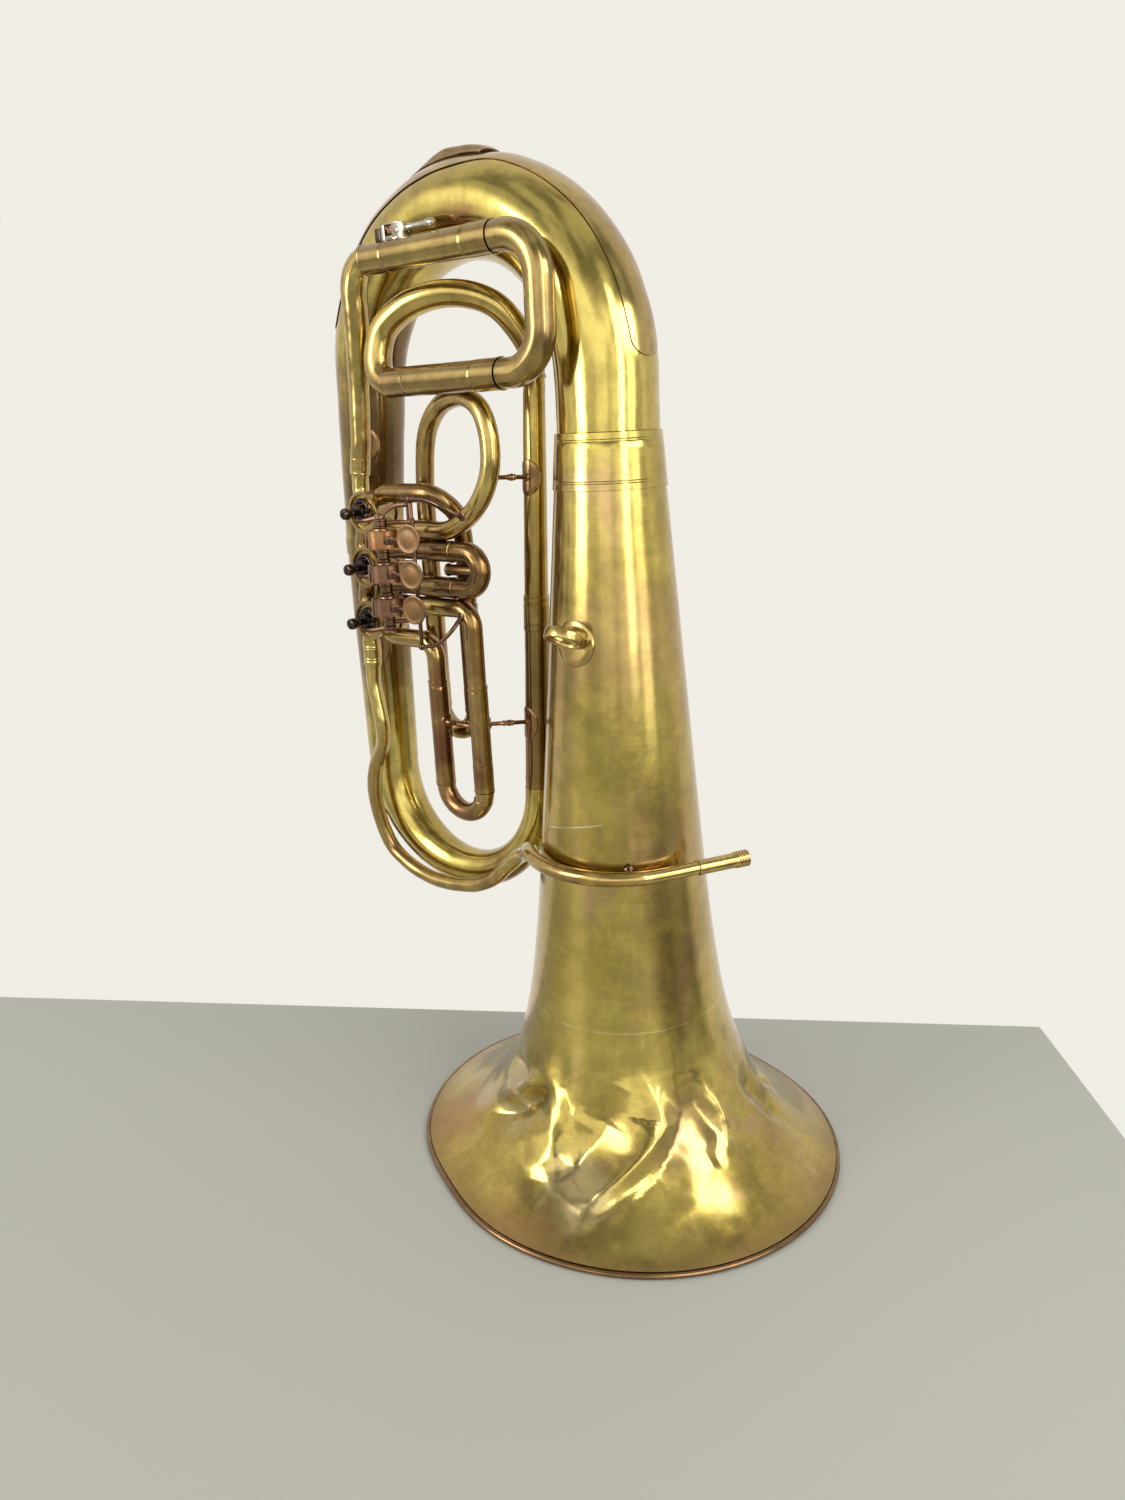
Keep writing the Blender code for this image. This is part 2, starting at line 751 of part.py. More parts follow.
def cut_by_casing(piece, number):
    centre = valve_centre(number)
    cutter = rod(
        piece.name + "_casing_" + str(number),
        (centre.x, FACE_V - CUT_REACH, centre.z),
        (centre.x, CASING_REAR_V + CUT_REACH, centre.z),
        CASING_RADIUS + GAP,
        VALVE_STEPS,
    )
    return cut(piece, cutter)


# Bell, rim and garland

def lean_above_flare(piece, body):
    """Keep the rim level and lean the bell from the flare upwards, as its creases leave it."""
    bpy.context.view_layer.update()
    for vertex in piece.data.vertices:
        share = min(max(vertex.co.z / FLARE_SETTLES_BELOW, 0.0), 1.0)
        blend = share * share * (3 - 2 * share)
        vertex.co = vertex.co.lerp(body.matrix_world @ vertex.co, blend)


def make_bell(root, body):
    heights = [BELL_TOP_W, *BELL_STATIONS, BELL_FOOT_W]
    outer = [(bell_radius(w), w) for w in heights]
    inner = []
    for w in reversed(heights):
        slope = (bell_radius(w + SLOPE_STEP) - bell_radius(w - SLOPE_STEP)) / (2 * SLOPE_STEP)
        inner.append((bell_radius(w) - SHEET * sqrt(1 + slope * slope), w))
    bell = turned("bell", outer + inner, (0, 0, 0), UP, BELL_STEPS)
    lean_above_flare(bell, body)
    done(bell, root, "yellow_brass")

    centre = BELL_EDGE_RADIUS + RIM_WIRE_RADIUS - SHEET
    corner = RIM_WIRE_RADIUS / cos(pi / 8)
    section = []
    for step in range(8):
        angle = radians(67.5 - 45 * step)
        across, up = corner * cos(angle), corner * sin(angle)
        section.append((centre + across, RIM_WIRE_RADIUS + up))
    rim = turned("rim_wire", section, (0, 0, 0), UP, BELL_STEPS)
    done(rim, root, "yellow_brass")

    garland_bottom = BELL_TOP_W - GARLAND_LENGTH
    inside = [(bell_radius(w) + GAP, w) for w in (garland_bottom, BELL_TOP_W)]
    outside = [(r + SHEET, w) for r, w in reversed(inside)]
    garland = turned("bell_ferrule", outside + inside, (0, 0, 0), UP, BELL_STEPS)
    done(garland, body, "yellow_brass")


# Big bow

def bow_degrees():
    """The stations of the big bow's curve."""
    return list(np.linspace(0, 180 - math.degrees(BOW_LEG_LEAN), BOW_ARC_STEPS + 1))


def bow_path():
    """The big bow: up from the bell, over its crown and down its leaning leg."""
    centre = Vector((-BOW_RADIUS, 0, BOW_CENTRE_W))
    path = [Vector((0, 0, BELL_TOP_W + GAP))]
    path += arc(centre, BOW_RADIUS, 0, pi - BOW_LEG_LEAN, BOW_ARC_STEPS)
    radii = [BOW_TAPER[0][1]] + spread(BOW_TAPER, bow_degrees())
    for w in (BOW_END_W + END_STRAIGHT, BOW_END_W):
        leg_u, radius = bow_leg_at(w)
        path.append(Vector((leg_u, 0, w)))
        radii.append(radius)
    return path, radii


def bow_leg_at(w):
    """Where the leg of the big bow stands at a height, and its radius there."""
    leg_u = np.interp(w, [BOW_END_W + END_STRAIGHT, BOW_LEG_W], [OUTER_BRANCH_U, BOW_LEG_U])
    radius = np.interp(w, [BOW_END_W, BOW_LEG_W], [BOW_END_RADIUS, BOW_TAPER[-1][1]])
    return leg_u, radius


def guard_over(name, centre, bow_radius, taper, degrees, half_width, sides):
    """Sheet on the outside of a bow: a slightly larger tube with its inner side taken away."""
    path = arc(centre, bow_radius, radians(degrees[0]), radians(degrees[-1]), len(degrees) - 1)
    radii = [radius / cos(pi / sides) + GAP for radius in spread(taper, degrees)]
    sheet = tube_surface(name, path, radii, sides)
    edit = bmesh.new()
    edit.from_mesh(sheet.data)
    unwanted = []
    for vertex in edit.verts:
        arm = vertex.co - Vector(centre)
        outward = Vector((arm.x, 0, arm.z)).length - bow_radius
        angle = math.degrees(math.atan2(arm.z, arm.x)) % 360
        radius = np.interp(angle, degrees, radii)
        if outward < radius * cos(radians(spread(half_width, [angle])[0])):
            unwanted.append(vertex)
    bmesh.ops.delete(edit, geom=unwanted, context="VERTS")
    edit.to_mesh(sheet.data)
    edit.free()
    shell = sheet.modifiers.new("sheet", "SOLIDIFY")
    shell.thickness = GUARD_SHEET
    shell.offset = 1
    return sheet


def make_big_bow(body):
    path, radii = bow_path()
    done(tube("bottom_bow", path, radii, BOW_SIDES, SHEET), body, "yellow_brass")
    centre = (-BOW_RADIUS, 0, BOW_CENTRE_W)
    degrees = bow_degrees()[:BIG_GUARD_STATIONS + 1]
    guard = guard_over("bow_guard", centre, BOW_RADIUS, BOW_TAPER, degrees, BIG_GUARD_HALF_WIDTH, BOW_SIDES)
    done(guard, body, "yellow_brass")
    make_bow_foot(body)


def make_bow_foot(body):
    """A pressed plate on the crown, with its edges on the guard."""
    verts, faces = [], []
    wide = len(FOOT_ACROSS)
    for row, (degree, height) in enumerate(FOOT_ALONG):
        seat = spread(BOW_TAPER, [degree])[0] / cos(pi / BOW_SIDES) + 2 * GAP + GUARD_SHEET + FOOT_SHEET / 2
        for column, (across, share) in enumerate(FOOT_ACROSS):
            section = across * FOOT_HALF_WIDTH / seat
            reach = BOW_RADIUS + (seat + height * share) * cos(section)
            u = reach * cos(radians(degree)) - BOW_RADIUS
            w = BOW_CENTRE_W + reach * sin(radians(degree))
            verts.append((u, (seat + height * share) * sin(section), w))
            if row and column:
                last = row * wide + column
                faces.append((last, last - 1, last - 1 - wide, last - wide))
    mesh = bpy.data.meshes.new("bow_foot")
    mesh.from_pydata(verts, [], faces)
    foot = bpy.data.objects.new("bow_foot", mesh)
    bpy.context.scene.collection.objects.link(foot)
    shell = foot.modifiers.new("sheet", "SOLIDIFY")
    shell.thickness = FOOT_SHEET
    shell.offset = 0
    done(foot, body, "dull_brass")


# Branches and small bow

def make_branches(body):
    foot_u = OUTER_BRANCH_U - BRANCH_DRIFT
    head = Vector((OUTER_BRANCH_U, 0, BOW_END_W - GAP))
    foot = Vector((foot_u, 0, SMALL_BOW_END_W + GAP))
    path = squared([head.lerp(foot, share) for share, radius in OUTER_BRANCH_TAPER])
    radii = spread(OUTER_BRANCH_TAPER, lengths(path))
    done(tube("outer_branch", path, radii, BOW_SIDES, SHEET), body, "yellow_brass")

    centre, radius = small_bow()
    steps, sides = SMALL_BOW_ARC_STEPS, SMALL_BOW_SIDES
    angles = list(np.linspace(180, 360, steps + 1))
    stub = UP * SMALL_BOW_STUB
    path = arc(centre, radius, pi, 2 * pi, steps)
    path = [path[0] + stub] + path + [path[-1] + stub]
    bow_radii = spread(SMALL_BOW_TAPER, [180] + angles + [360])
    bow = tube("top_bow", path, bow_radii, sides, SHEET)
    done(bow, body, "yellow_brass")
    degrees = list(np.linspace(*SMALL_GUARD_DEGREES, steps + 1))
    guard = guard_over(
        "top_bow_guard", centre, radius, SMALL_BOW_TAPER, degrees, SMALL_GUARD_HALF_WIDTH, sides
    )
    done(guard, body, "dull_brass")

    path = squared([INNER_FOOT.lerp(INNER_HEAD, share) for share, radius in INNER_BRANCH_TAPER])
    radii = spread(INNER_BRANCH_TAPER, lengths(path))
    done(tube("inner_branch", path, radii, SMALL_BOW_SIDES), body, "dull_brass")

    run = INNER_HEAD - INNER_FOOT
    ends = [INNER_FERRULE_AT, INNER_FERRULE_AT + INNER_FERRULE_LENGTH / run.length]
    path = [INNER_FOOT.lerp(INNER_HEAD, share) for share in ends]
    facets = cos(pi / SMALL_BOW_SIDES)
    radii = [radius / facets + GAP + SHEET for radius in spread(INNER_BRANCH_TAPER, ends)]
    done(tube("inner_branch_ferrule", path, radii, SMALL_BOW_SIDES, SHEET), body, "yellow_brass")


def small_bow():
    left = OUTER_BRANCH_U - BRANCH_DRIFT
    centre = Vector(((left + INNER_BRANCH_FOOT_U) / 2, 0, SMALL_BOW_END_W - SMALL_BOW_STUB))
    return centre, (INNER_BRANCH_FOOT_U - left) / 2


# Main tuning slide

def sleeve_profile(length, radius, ferrule_radius, ferrule_length):
    """Sleeve with a thicker ferrule at its far end."""
    bore = radius - TUBE_WALL
    start = length - ferrule_length
    outside = [(ferrule_radius, length), (ferrule_radius, start), (radius, start), (radius, 0)]
    return outside + [(bore, 0), (bore, length)]


def make_main_slide(body):
    for name, start, level in (
        ("main_slide_upper_sleeve", MAIN_UPPER_START_U, MAIN_UPPER_W),
        ("main_slide_lower_sleeve", MAIN_LOWER_START_U, MAIN_LOWER_W),
    ):
        profile = sleeve_profile(
            MAIN_SLEEVE_END_U - start, MAIN_SLEEVE_RADIUS, MAIN_FERRULE_RADIUS, MAIN_FERRULE_LENGTH
        )
        sleeve = turned(name, profile, (start, MAIN_V, level), (1, 0, 0), MAIN_STEPS)
        done(sleeve, body, "yellow_brass")

    inner_end = MAIN_SLEEVE_END_U - MAIN_LEG_INSIDE
    corners = [
        (inner_end, MAIN_V, MAIN_UPPER_W),
        (MAIN_CROOK_U, MAIN_V, MAIN_UPPER_W),
        (MAIN_CROOK_U, MAIN_V, MAIN_LOWER_W),
        (inner_end, MAIN_V, MAIN_LOWER_W),
    ]
    path = rounded(corners, [MAIN_CROOK_BEND, MAIN_CROOK_BEND])
    crook = tube("main_slide_crook", path, [MAIN_LEG_RADIUS] * len(path), 10)
    crook = done(crook, body, "yellow_brass")
    pivot_at(crook, (MAIN_SLEEVE_END_U, MAIN_V, (MAIN_UPPER_W + MAIN_LOWER_W) / 2))

    # Arched tube from the lower sleeve over to the inner branch
    start = Vector((MAIN_LOWER_START_U, MAIN_V, MAIN_LOWER_W))
    across = INNER_HEAD - start
    path = [start + Vector((SLEEVE_SEAT, 0, 0))] + [start + Vector(bend) for bend in ARC_TURNS_UP]
    path += [start + Vector((across.x * u, across.y * v, rise)) for u, v, rise in ARC_BENDS]
    path += [INNER_HEAD + UP * above for above in ARC_COMES_DOWN]
    radii = list(np.linspace(ARC_START_RADIUS, INNER_BRANCH_TAPER[-1][1] + ARC_WIDER_THAN_BRANCH, len(path)))
    done(tube("tuning_arc", path, radii, 8), body, "dull_brass")


def exit_path():
    """The exit tube's bends, from valve 3 to the upper sleeve."""
    port = port_lead(3, -1, 1, "w")[-1]
    way = Vector((MAIN_UPPER_START_U, MAIN_V, MAIN_UPPER_W)) - port
    return [port + Vector((way.x * u, way.y * v, way.z * w)) for u, v, w in EXIT_BENDS]


def make_exit_tube(body):
    lead = port_lead(3, -1, 1, "w")
    points = exit_path()
    points.append(Vector((MAIN_UPPER_START_U + SLEEVE_SEAT, MAIN_V, MAIN_UPPER_W)))
    radii = [KNUCKLE_RADIUS] * len(lead) + [SLEEVE_RADIUS] * len(points)
    radii[-2:] = [MAIN_LEG_RADIUS, MAIN_LEG_RADIUS]
    exit_tube = tube("exit_tube", lead + points, radii, 8)
    done(cut_by_casing(exit_tube, 3), body, "yellow_brass")


# Leadpipe and receiver

def lead_ring():
    """Height and radius of the leadpipe's turn round the bell."""
    bow_centre, bow_radius = small_bow()
    level = bow_centre.z - bow_radius + LEAD_RING_ABOVE_SMALL_BOW
    return level, bell_radius(level) + LEAD_RING_OFF_BELL


def make_leadpipe(body):
    lead = port_lead(1, -1, -1, "w")
    bow_centre, bow_radius = small_bow()
    bow_side = OUTER_BRANCH_U - BRANCH_DRIFT
    bow_under = bow_centre.z - bow_radius
    ring_level, ring_radius = lead_ring()
    points = [lead[-1] + Vector(bend) for bend in LEAD_DOWN]
    points += [Vector((bow_side + u, v, SMALL_BOW_END_W + w)) for u, v, w in LEAD_BESIDE_BOW]
    for share, rise in LEAD_UNDER_BOW:
        points.append(Vector((bow_centre.x + share * bow_radius, LEAD_UNDER_V, bow_under + rise)))
    for angle, outside, rise in LEAD_TO_RING:
        reach = ring_radius + outside
        points.append(Vector((reach * cos(angle), reach * sin(angle), ring_level + rise)))
    ring = arc((0, 0, ring_level), ring_radius, LEAD_RING_STARTS, LEAD_RING_LEAVES, 8, "uv")
    leave = Vector((-sin(LEAD_RING_LEAVES), cos(LEAD_RING_LEAVES), 0))
    pipe_end = ring[-1] + leave * (RECEIVER_REACH - RECEIVER_LENGTH + RECEIVER_SEAT)
    path = lead + points + ring + [pipe_end]
    shares = lengths(path)
    radii = spread(((0, LEADPIPE_RADIUS), (0.75, LEADPIPE_RADIUS), (1, LEADPIPE_END_RADIUS)), shares)
    radii[:len(lead)] = [KNUCKLE_RADIUS] * len(lead)
    radii[len(lead):len(lead) + 2] = [LEADPIPE_FERRULE_RADIUS] * 2
    pipe = tube("leadpipe", path, radii, 8)
    done(cut_by_casing(pipe, 1), body, "yellow_brass")

    profile = [
        (RECEIVER_RADIUS + RECEIVER_RING, RECEIVER_LENGTH),
        (RECEIVER_RADIUS + RECEIVER_RING, RECEIVER_LENGTH - RECEIVER_RING_LENGTH),
        (RECEIVER_RADIUS, RECEIVER_LENGTH - RECEIVER_RING_LENGTH - RECEIVER_RING),
        (RECEIVER_RADIUS, 0),
        (RECEIVER_BORE, 0),
        (RECEIVER_BORE, RECEIVER_LENGTH),
    ]
    start = ring[-1] + leave * (RECEIVER_REACH - RECEIVER_LENGTH)
    done(turned("receiver", profile, start, leave, 16), body, "yellow_brass")


# Valves

def front_profile(points):
    """Turn (radius, v) pairs into a profile along the axis that points to the front."""
    return [(radius, -v) for radius, v in points]


def make_valve(number, body):
    centre = valve_centre(number)
    axis_foot = (centre.x, 0, centre.z)
    bore, stem_hole = CASING_BORE, STEM_RADIUS + GAP

    casing = turned(
        "valve_casing_%d" % number,
        front_profile([
            (FACE_RADIUS, FACE_V),
            (FACE_RADIUS, FACE_V + FACE_THICKNESS),
            (CASING_RADIUS, FACE_V + FACE_THICKNESS),
            (CASING_RADIUS, CASING_REAR_V),
            (bore, CASING_REAR_V),
            (bore, CAVITY_FRONT_V),
            (stem_hole, CAVITY_FRONT_V),
            (stem_hole, FACE_V),
        ]),
        axis_foot, FRONT, VALVE_STEPS,
    )
    port_radius = KNUCKLE_RADIUS - TUBE_WALL
    for side in (-1, 1):
        for level in (-1, 1):
            outward = Vector((side, 0, level)).normalized()
            hole = rod(
                "port_%d_%d_%d" % (number, side, level),
                centre + outward * (bore - CASING_WALL),
                centre + outward * (CASING_RADIUS + CASING_WALL),
                port_radius,
                PORT_SIDES,
                pi / PORT_SIDES,
            )
            cut(casing, hole)
    done(casing, body, "yellow_brass")

    core = bore * cos(pi / VALVE_STEPS) - GAP
    core_front = CAVITY_FRONT_V + GAP
    core_rear = 2 * TUBE_V - core_front
    plate_front = core_rear + GAP
    plate_rear = plate_front + BEARING_PLATE
    cap_inner = max(plate_rear, CASING_REAR_V) + GAP
    rotor = turned(
        "rotor_%d" % number,
        front_profile([
            (0, SCREW_HEAD_V),
            (SCREW_HEAD_RADIUS - SCREW_HEAD_BEVEL, SCREW_HEAD_V),
            (SCREW_HEAD_RADIUS, SCREW_HEAD_V + SCREW_HEAD_BEVEL),
            (SCREW_HEAD_RADIUS, SCREW_HEAD_V + SCREW_HEAD_LENGTH),
            (STEM_RADIUS, SCREW_HEAD_V + SCREW_HEAD_LENGTH),
            (STEM_RADIUS, STOP_V - STOP_HUB_FRONT),
            (STOP_HUB_RADIUS, STOP_V - STOP_HUB_FRONT),
            (STOP_HUB_RADIUS, STOP_V + STOP_HUB_REAR),
            (STEM_RADIUS, STOP_V + STOP_HUB_REAR),
            (STEM_RADIUS, core_front),
            (core, core_front),
            (core, core_rear),
            (JOURNAL_RADIUS, core_rear),
            (JOURNAL_RADIUS, plate_rear - GAP),
            (0, plate_rear - GAP),
        ]),
        axis_foot, FRONT, VALVE_STEPS,
    )
    passage_radius = port_radius - GAP
    for side in (-1, 1):
        bpy.ops.mesh.primitive_torus_add(
            major_segments=14,
            minor_segments=6,
            major_radius=CASING_RADIUS * 0.92,
            minor_radius=passage_radius,
            location=centre + Vector((side * CASING_RADIUS * 1.34, 0, 0)),
            rotation=(radians(90), 0, 0),
        )
        passage = bpy.context.object
        passage.name = "passage_%d_%d" % (number, side)
        cut(rotor, settle(passage))
    pin = centre + Vector((cos(STOP_PIN_ANGLE), 0, sin(STOP_PIN_ANGLE))) * STOP_PIN_RADIUS
    hub = Vector((centre.x, STOP_V - STOP_HUB_REAR, centre.z))
    arm = bar("stop_arm_%d" % number, hub, (pin.x, hub.y, pin.z), STOP_ARM_WIDTH, STOP_ARM_THICKNESS, FRONT)
    join(rotor, arm)
    pin_start, pin_tip = (pin.x, STOP_V, pin.z), (pin.x, STOP_PIN_TIP_V, pin.z)
    join(rotor, rod("stop_pin_%d" % number, pin_start, pin_tip, STOP_PIN_WIRE))
    rotor = done(rotor, body, "dark_steel")
    pivot_at(rotor, centre)

    plate_radius = core
    plate = turned(
        "bearing_plate_%d" % number,
        front_profile([
            (plate_radius, plate_front),
            (plate_radius, plate_rear),
            (JOURNAL_RADIUS + GAP, plate_rear),
            (JOURNAL_RADIUS + GAP, plate_front),
        ]),
        axis_foot, FRONT, VALVE_STEPS,
    )
    done(plate, body, "yellow_brass")

    grip = CASING_RADIUS / cos(pi / VALVE_STEPS) + GAP
    cap = turned(
        "valve_cap_%d" % number,
        front_profile([
            (CAP_RADIUS, CASING_REAR_V - CAP_OVERLAP),
            (CAP_RADIUS, cap_inner + CAP_END / 2),
            (CAP_RADIUS - CAP_END, cap_inner + CAP_END),
            (CAP_HOLE, cap_inner + CAP_END),
            (CAP_HOLE, cap_inner),
            (grip, cap_inner),
            (grip, CASING_REAR_V - CAP_OVERLAP),
        ]),
        axis_foot, FRONT, VALVE_STEPS,
    )
    done(cap, body, "yellow_brass")


def make_link_tubes(body):
    for lower, upper in ((1, 2), (2, 3)):
        start = port_lead(lower, -1, 1, "w")
        end = port_lead(upper, -1, -1, "w")
        path = start + list(reversed(end))
        name = "link_tube_%d%d" % (lower, upper)
        link = tube(name, path, [KNUCKLE_RADIUS] * len(path), 8)
        cut_by_casing(link, lower)
        done(cut_by_casing(link, upper), body, "yellow_brass")


# Valve slides

def slide_leg(name, path, sleeve_from, body, number, finish_name):
    """A knuckle tube that widens to a sleeve. The last two points are the ferrule."""
    radii = [KNUCKLE_RADIUS] * sleeve_from + [SLEEVE_RADIUS] * (len(path) - sleeve_from)
    step = path[-2].lerp(path[-1], FERRULE_SHARE)
    path = path[:-1] + [step, path[-1]]
    radii = radii[:-1] + [FERRULE_RADIUS, FERRULE_RADIUS]
    leg = tube(name, path, radii, 8)
    return done(cut_by_casing(leg, number), body, finish_name)


def hanging_leg(lead, leg_u, leg_v, sleeve_top, ferrule, end):
    """Level run from a port, a bend down, and the sleeve below it."""
    corner = Vector((leg_u, leg_v, lead[-1].z))
    bend = rounded([lead[-1], corner, Vector((leg_u, leg_v, sleeve_top))], [SLIDE_BEND])
    path = lead + bend[1:]
    sleeve_from = len(path)
    path += [Vector((leg_u, leg_v, w)) for w in (sleeve_top - SLEEVE_STEP, ferrule, end)]
    return path, sleeve_from


def make_slide_1(body):
    for name, level, leg_u in (
        ("slide_1_lower_leg", -1, SLIDE_1_LEFT_U),
        ("slide_1_upper_leg", 1, SLIDE_1_RIGHT_U),
    ):
        lead = port_lead(1, 1, level, "u")
        path, sleeve_from = hanging_leg(
            lead, leg_u, TUBE_V, VALVE_W + SLIDE_1_SLEEVE_TOP, VALVE_W + SLIDE_1_FERRULE, SLIDE_1_END_W
        )
        slide_leg(name, path, sleeve_from, body, 1, "red_brass")
    bow(
        "slide_crook_1", body, SLIDE_1_LEFT_U, SLIDE_1_RIGHT_U, TUBE_V,
        SLIDE_1_END_W, LEG_INSIDE, "red_brass",
    )


def crook_leg_radius():
    """Largest leg that still slides in an eight-sided sleeve."""
    return (SLEEVE_RADIUS - TUBE_WALL) * cos(pi / 8) - SLIDE_FIT


def bow(name, body, left_u, right_u, v, mouth_w, inside, finish_name):
    """Slide crook that hangs below its two sleeves."""
    radius = (right_u - left_u) / 2
    centre = Vector(((left_u + right_u) / 2, v, mouth_w - GAP))
    top = mouth_w + inside
    path = [Vector((left_u, v, top))] + arc(centre, radius, pi, 2 * pi, 7) + [Vector((right_u, v, top))]
    crook = tube(name, path, [crook_leg_radius()] * len(path), 8)
    crook = done(crook, body, finish_name)
    pivot_at(crook, (centre.x, v, mouth_w))


def make_slide_2(body):
    levels = []
    for name, level in (("slide_2_lower_leg", -1), ("slide_2_upper_leg", 1)):
        lead = port_lead(2, 1, level, "u")
        height = lead[-1].z
        levels.append(height)
        stations = (lead[-1].x + SLEEVE_STEP, VALVE_U + SLIDE_2_FERRULE, SLIDE_2_END_U)
        path = lead + [Vector((u, TUBE_V, height)) for u in stations]
        slide_leg(name, path, len(lead), body, 2, "yellow_brass")
    low, high = levels
    radius = (high - low) / 2
    centre = Vector((VALVE_U + SLIDE_2_CROOK, TUBE_V, (low + high) / 2))
    inner_u = SLIDE_2_END_U - LEG_INSIDE_SHORT
    path = [Vector((inner_u, TUBE_V, low))] + arc(centre, radius, -pi / 2, pi / 2, 6)
    path.append(Vector((inner_u, TUBE_V, high)))
    crook = tube("slide_crook_2", path, [crook_leg_radius()] * len(path), 8)
    crook = done(crook, body, "yellow_brass")
    pivot_at(crook, (SLIDE_2_END_U, TUBE_V, centre.z))


def loop_path():
    """The bends of the third slide's front loop, from the lower port of valve 3."""
    port = port_lead(3, 1, -1, "u")[-1]
    room = MAIN_LOWER_W - port.z
    return [port + Vector((u, v, room * share)) for u, v, share in LOOP_BENDS]


def make_slide_3(body):
    sleeve = [SLIDE_3_SLEEVE_TOP_W - SLEEVE_STEP, VALVE_W + SLIDE_3_FERRULE, SLIDE_3_END_W]
    path = port_lead(3, 1, -1, "u") + loop_path()
    for level in (SLIDE_3_SLEEVE_TOP_W + SLIDE_3_STRAIGHT, SLIDE_3_SLEEVE_TOP_W):
        path.append(Vector((SLIDE_3_LEFT_U, SLIDE_3_V, level)))
    sleeve_from = len(path)
    path += [Vector((SLIDE_3_LEFT_U, SLIDE_3_V, level)) for level in sleeve]
    slide_leg("third_loop", path, sleeve_from, body, 3, "yellow_brass")

    lead = port_lead(3, 1, 1, "u")
    path = lead + [lead[-1] + Vector(bend) for bend in RETURN_BENDS]
    for level in (lead[-1].z + RETURN_STRAIGHT, SLIDE_3_SLEEVE_TOP_W):
        path.append(Vector((SLIDE_3_RIGHT_U, SLIDE_3_V, level)))
    sleeve_from = len(path)
    path += [Vector((SLIDE_3_RIGHT_U, SLIDE_3_V, level)) for level in sleeve]
    slide_leg("third_return", path, sleeve_from, body, 3, "yellow_brass")
    bow(
        "slide_crook_3", body, SLIDE_3_LEFT_U, SLIDE_3_RIGHT_U, SLIDE_3_V,
        SLIDE_3_END_W, LEG_INSIDE, "dull_brass",
    )


# Key machine

def drum_level(number):
    return valve_centre(2).z + DRUMS_ABOVE_VALVES + DRUM_PITCH * (number - 2)


def axle_ends():
    return drum_level(1) - AXLE_BELOW_DRUMS, drum_level(VALVE_COUNT) + AXLE_ABOVE_DRUMS


def link_level(number):
    """Height of the link's crank end."""
    return valve_centre(number).z + STOP_PIN_RADIUS * sin(STOP_PIN_ANGLE) + LINK_RISE


def crank_pin(number):
    offset = Vector((cos(CRANK_ANGLE), sin(CRANK_ANGLE), 0)) * CRANK_RADIUS
    return Vector((AXLE_U, AXLE_V, link_level(number))) + offset


def make_key(number, body):
    level = drum_level(number)
    half = DRUM_HEIGHT / 2
    wall = DRUM_WALL
    key = turned(
        "key_%d" % number,
        [
            (DRUM_RADIUS, half),
            (DRUM_RADIUS, -half),
            (DRUM_RADIUS - wall, -half),
            (DRUM_RADIUS - wall, half - wall),
            (DRUM_HUB, half - wall),
            (DRUM_HUB, -half),
            (DRUM_BORE, -half),
            (DRUM_BORE, half),
        ],
        (AXLE_U, AXLE_V, level), UP, 12,
    )
    axle = Vector((AXLE_U, AXLE_V, level))
    touch = axle + TOUCH_OFFSET
    reach = Vector((TOUCH_OFFSET.x, TOUCH_OFFSET.y, 0)).normalized()
    lever_start = axle + reach * (DRUM_RADIUS - wall / 2)
    join(key, bar("lever_%d" % number, lever_start, touch + BACK * GAP, LEVER_WIDTH, LEVER_THICKNESS, UP))
    face = touch + FRONT * TOUCH_THICKNESS / 2
    join(key, rod("touch_%d" % number, face, face + BACK * TOUCH_THICKNESS, TOUCH_RADIUS, 16))
    out = Vector((cos(CRANK_ANGLE), sin(CRANK_ANGLE), 0))
    pin = crank_pin(number)
    foot = Vector((pin.x, pin.y, level))
    crank_start, crank_end = axle + out * (DRUM_RADIUS - wall / 2), foot + out * CRANK_PAST_PIN
    join(key, bar("crank_%d" % number, crank_start, crank_end, LEVER_WIDTH, LEVER_THICKNESS, UP))
    rise = 1 if pin.z > level else -1
    post_end = pin - UP * rise * (LINK_RADIUS + GAP)
    join(key, rod("post_%d" % number, foot - UP * rise * LEVER_THICKNESS / 3, post_end, CRANK_PIN_RADIUS))
    key = done(key, body, "red_brass")
    pivot_at(key, axle)


def make_link(number, body):
    pin = crank_pin(number)
    centre = valve_centre(number)
    stop = Vector((
        centre.x + cos(STOP_PIN_ANGLE) * STOP_PIN_RADIUS,
        STOP_PIN_TIP_V - LINK_RADIUS - LINK_OFF_PIN,
        centre.z + sin(STOP_PIN_ANGLE) * STOP_PIN_RADIUS,
    ))
    path = smooth([
        stop - ACROSS * LINK_PAST_PIN,
        stop + ACROSS * LINK_STRAIGHT,
        stop.lerp(pin, 0.45) - UP * LINK_SWAY,
        stop.lerp(pin, 0.72) + UP * LINK_SWAY,
        pin + ACROSS * LINK_PAST_PIN,
    ], 2)
    link = wire("link_%d" % number, path, LINK_RADIUS)
    link = done(link, body, "red_brass")
    pivot_at(link, pin)


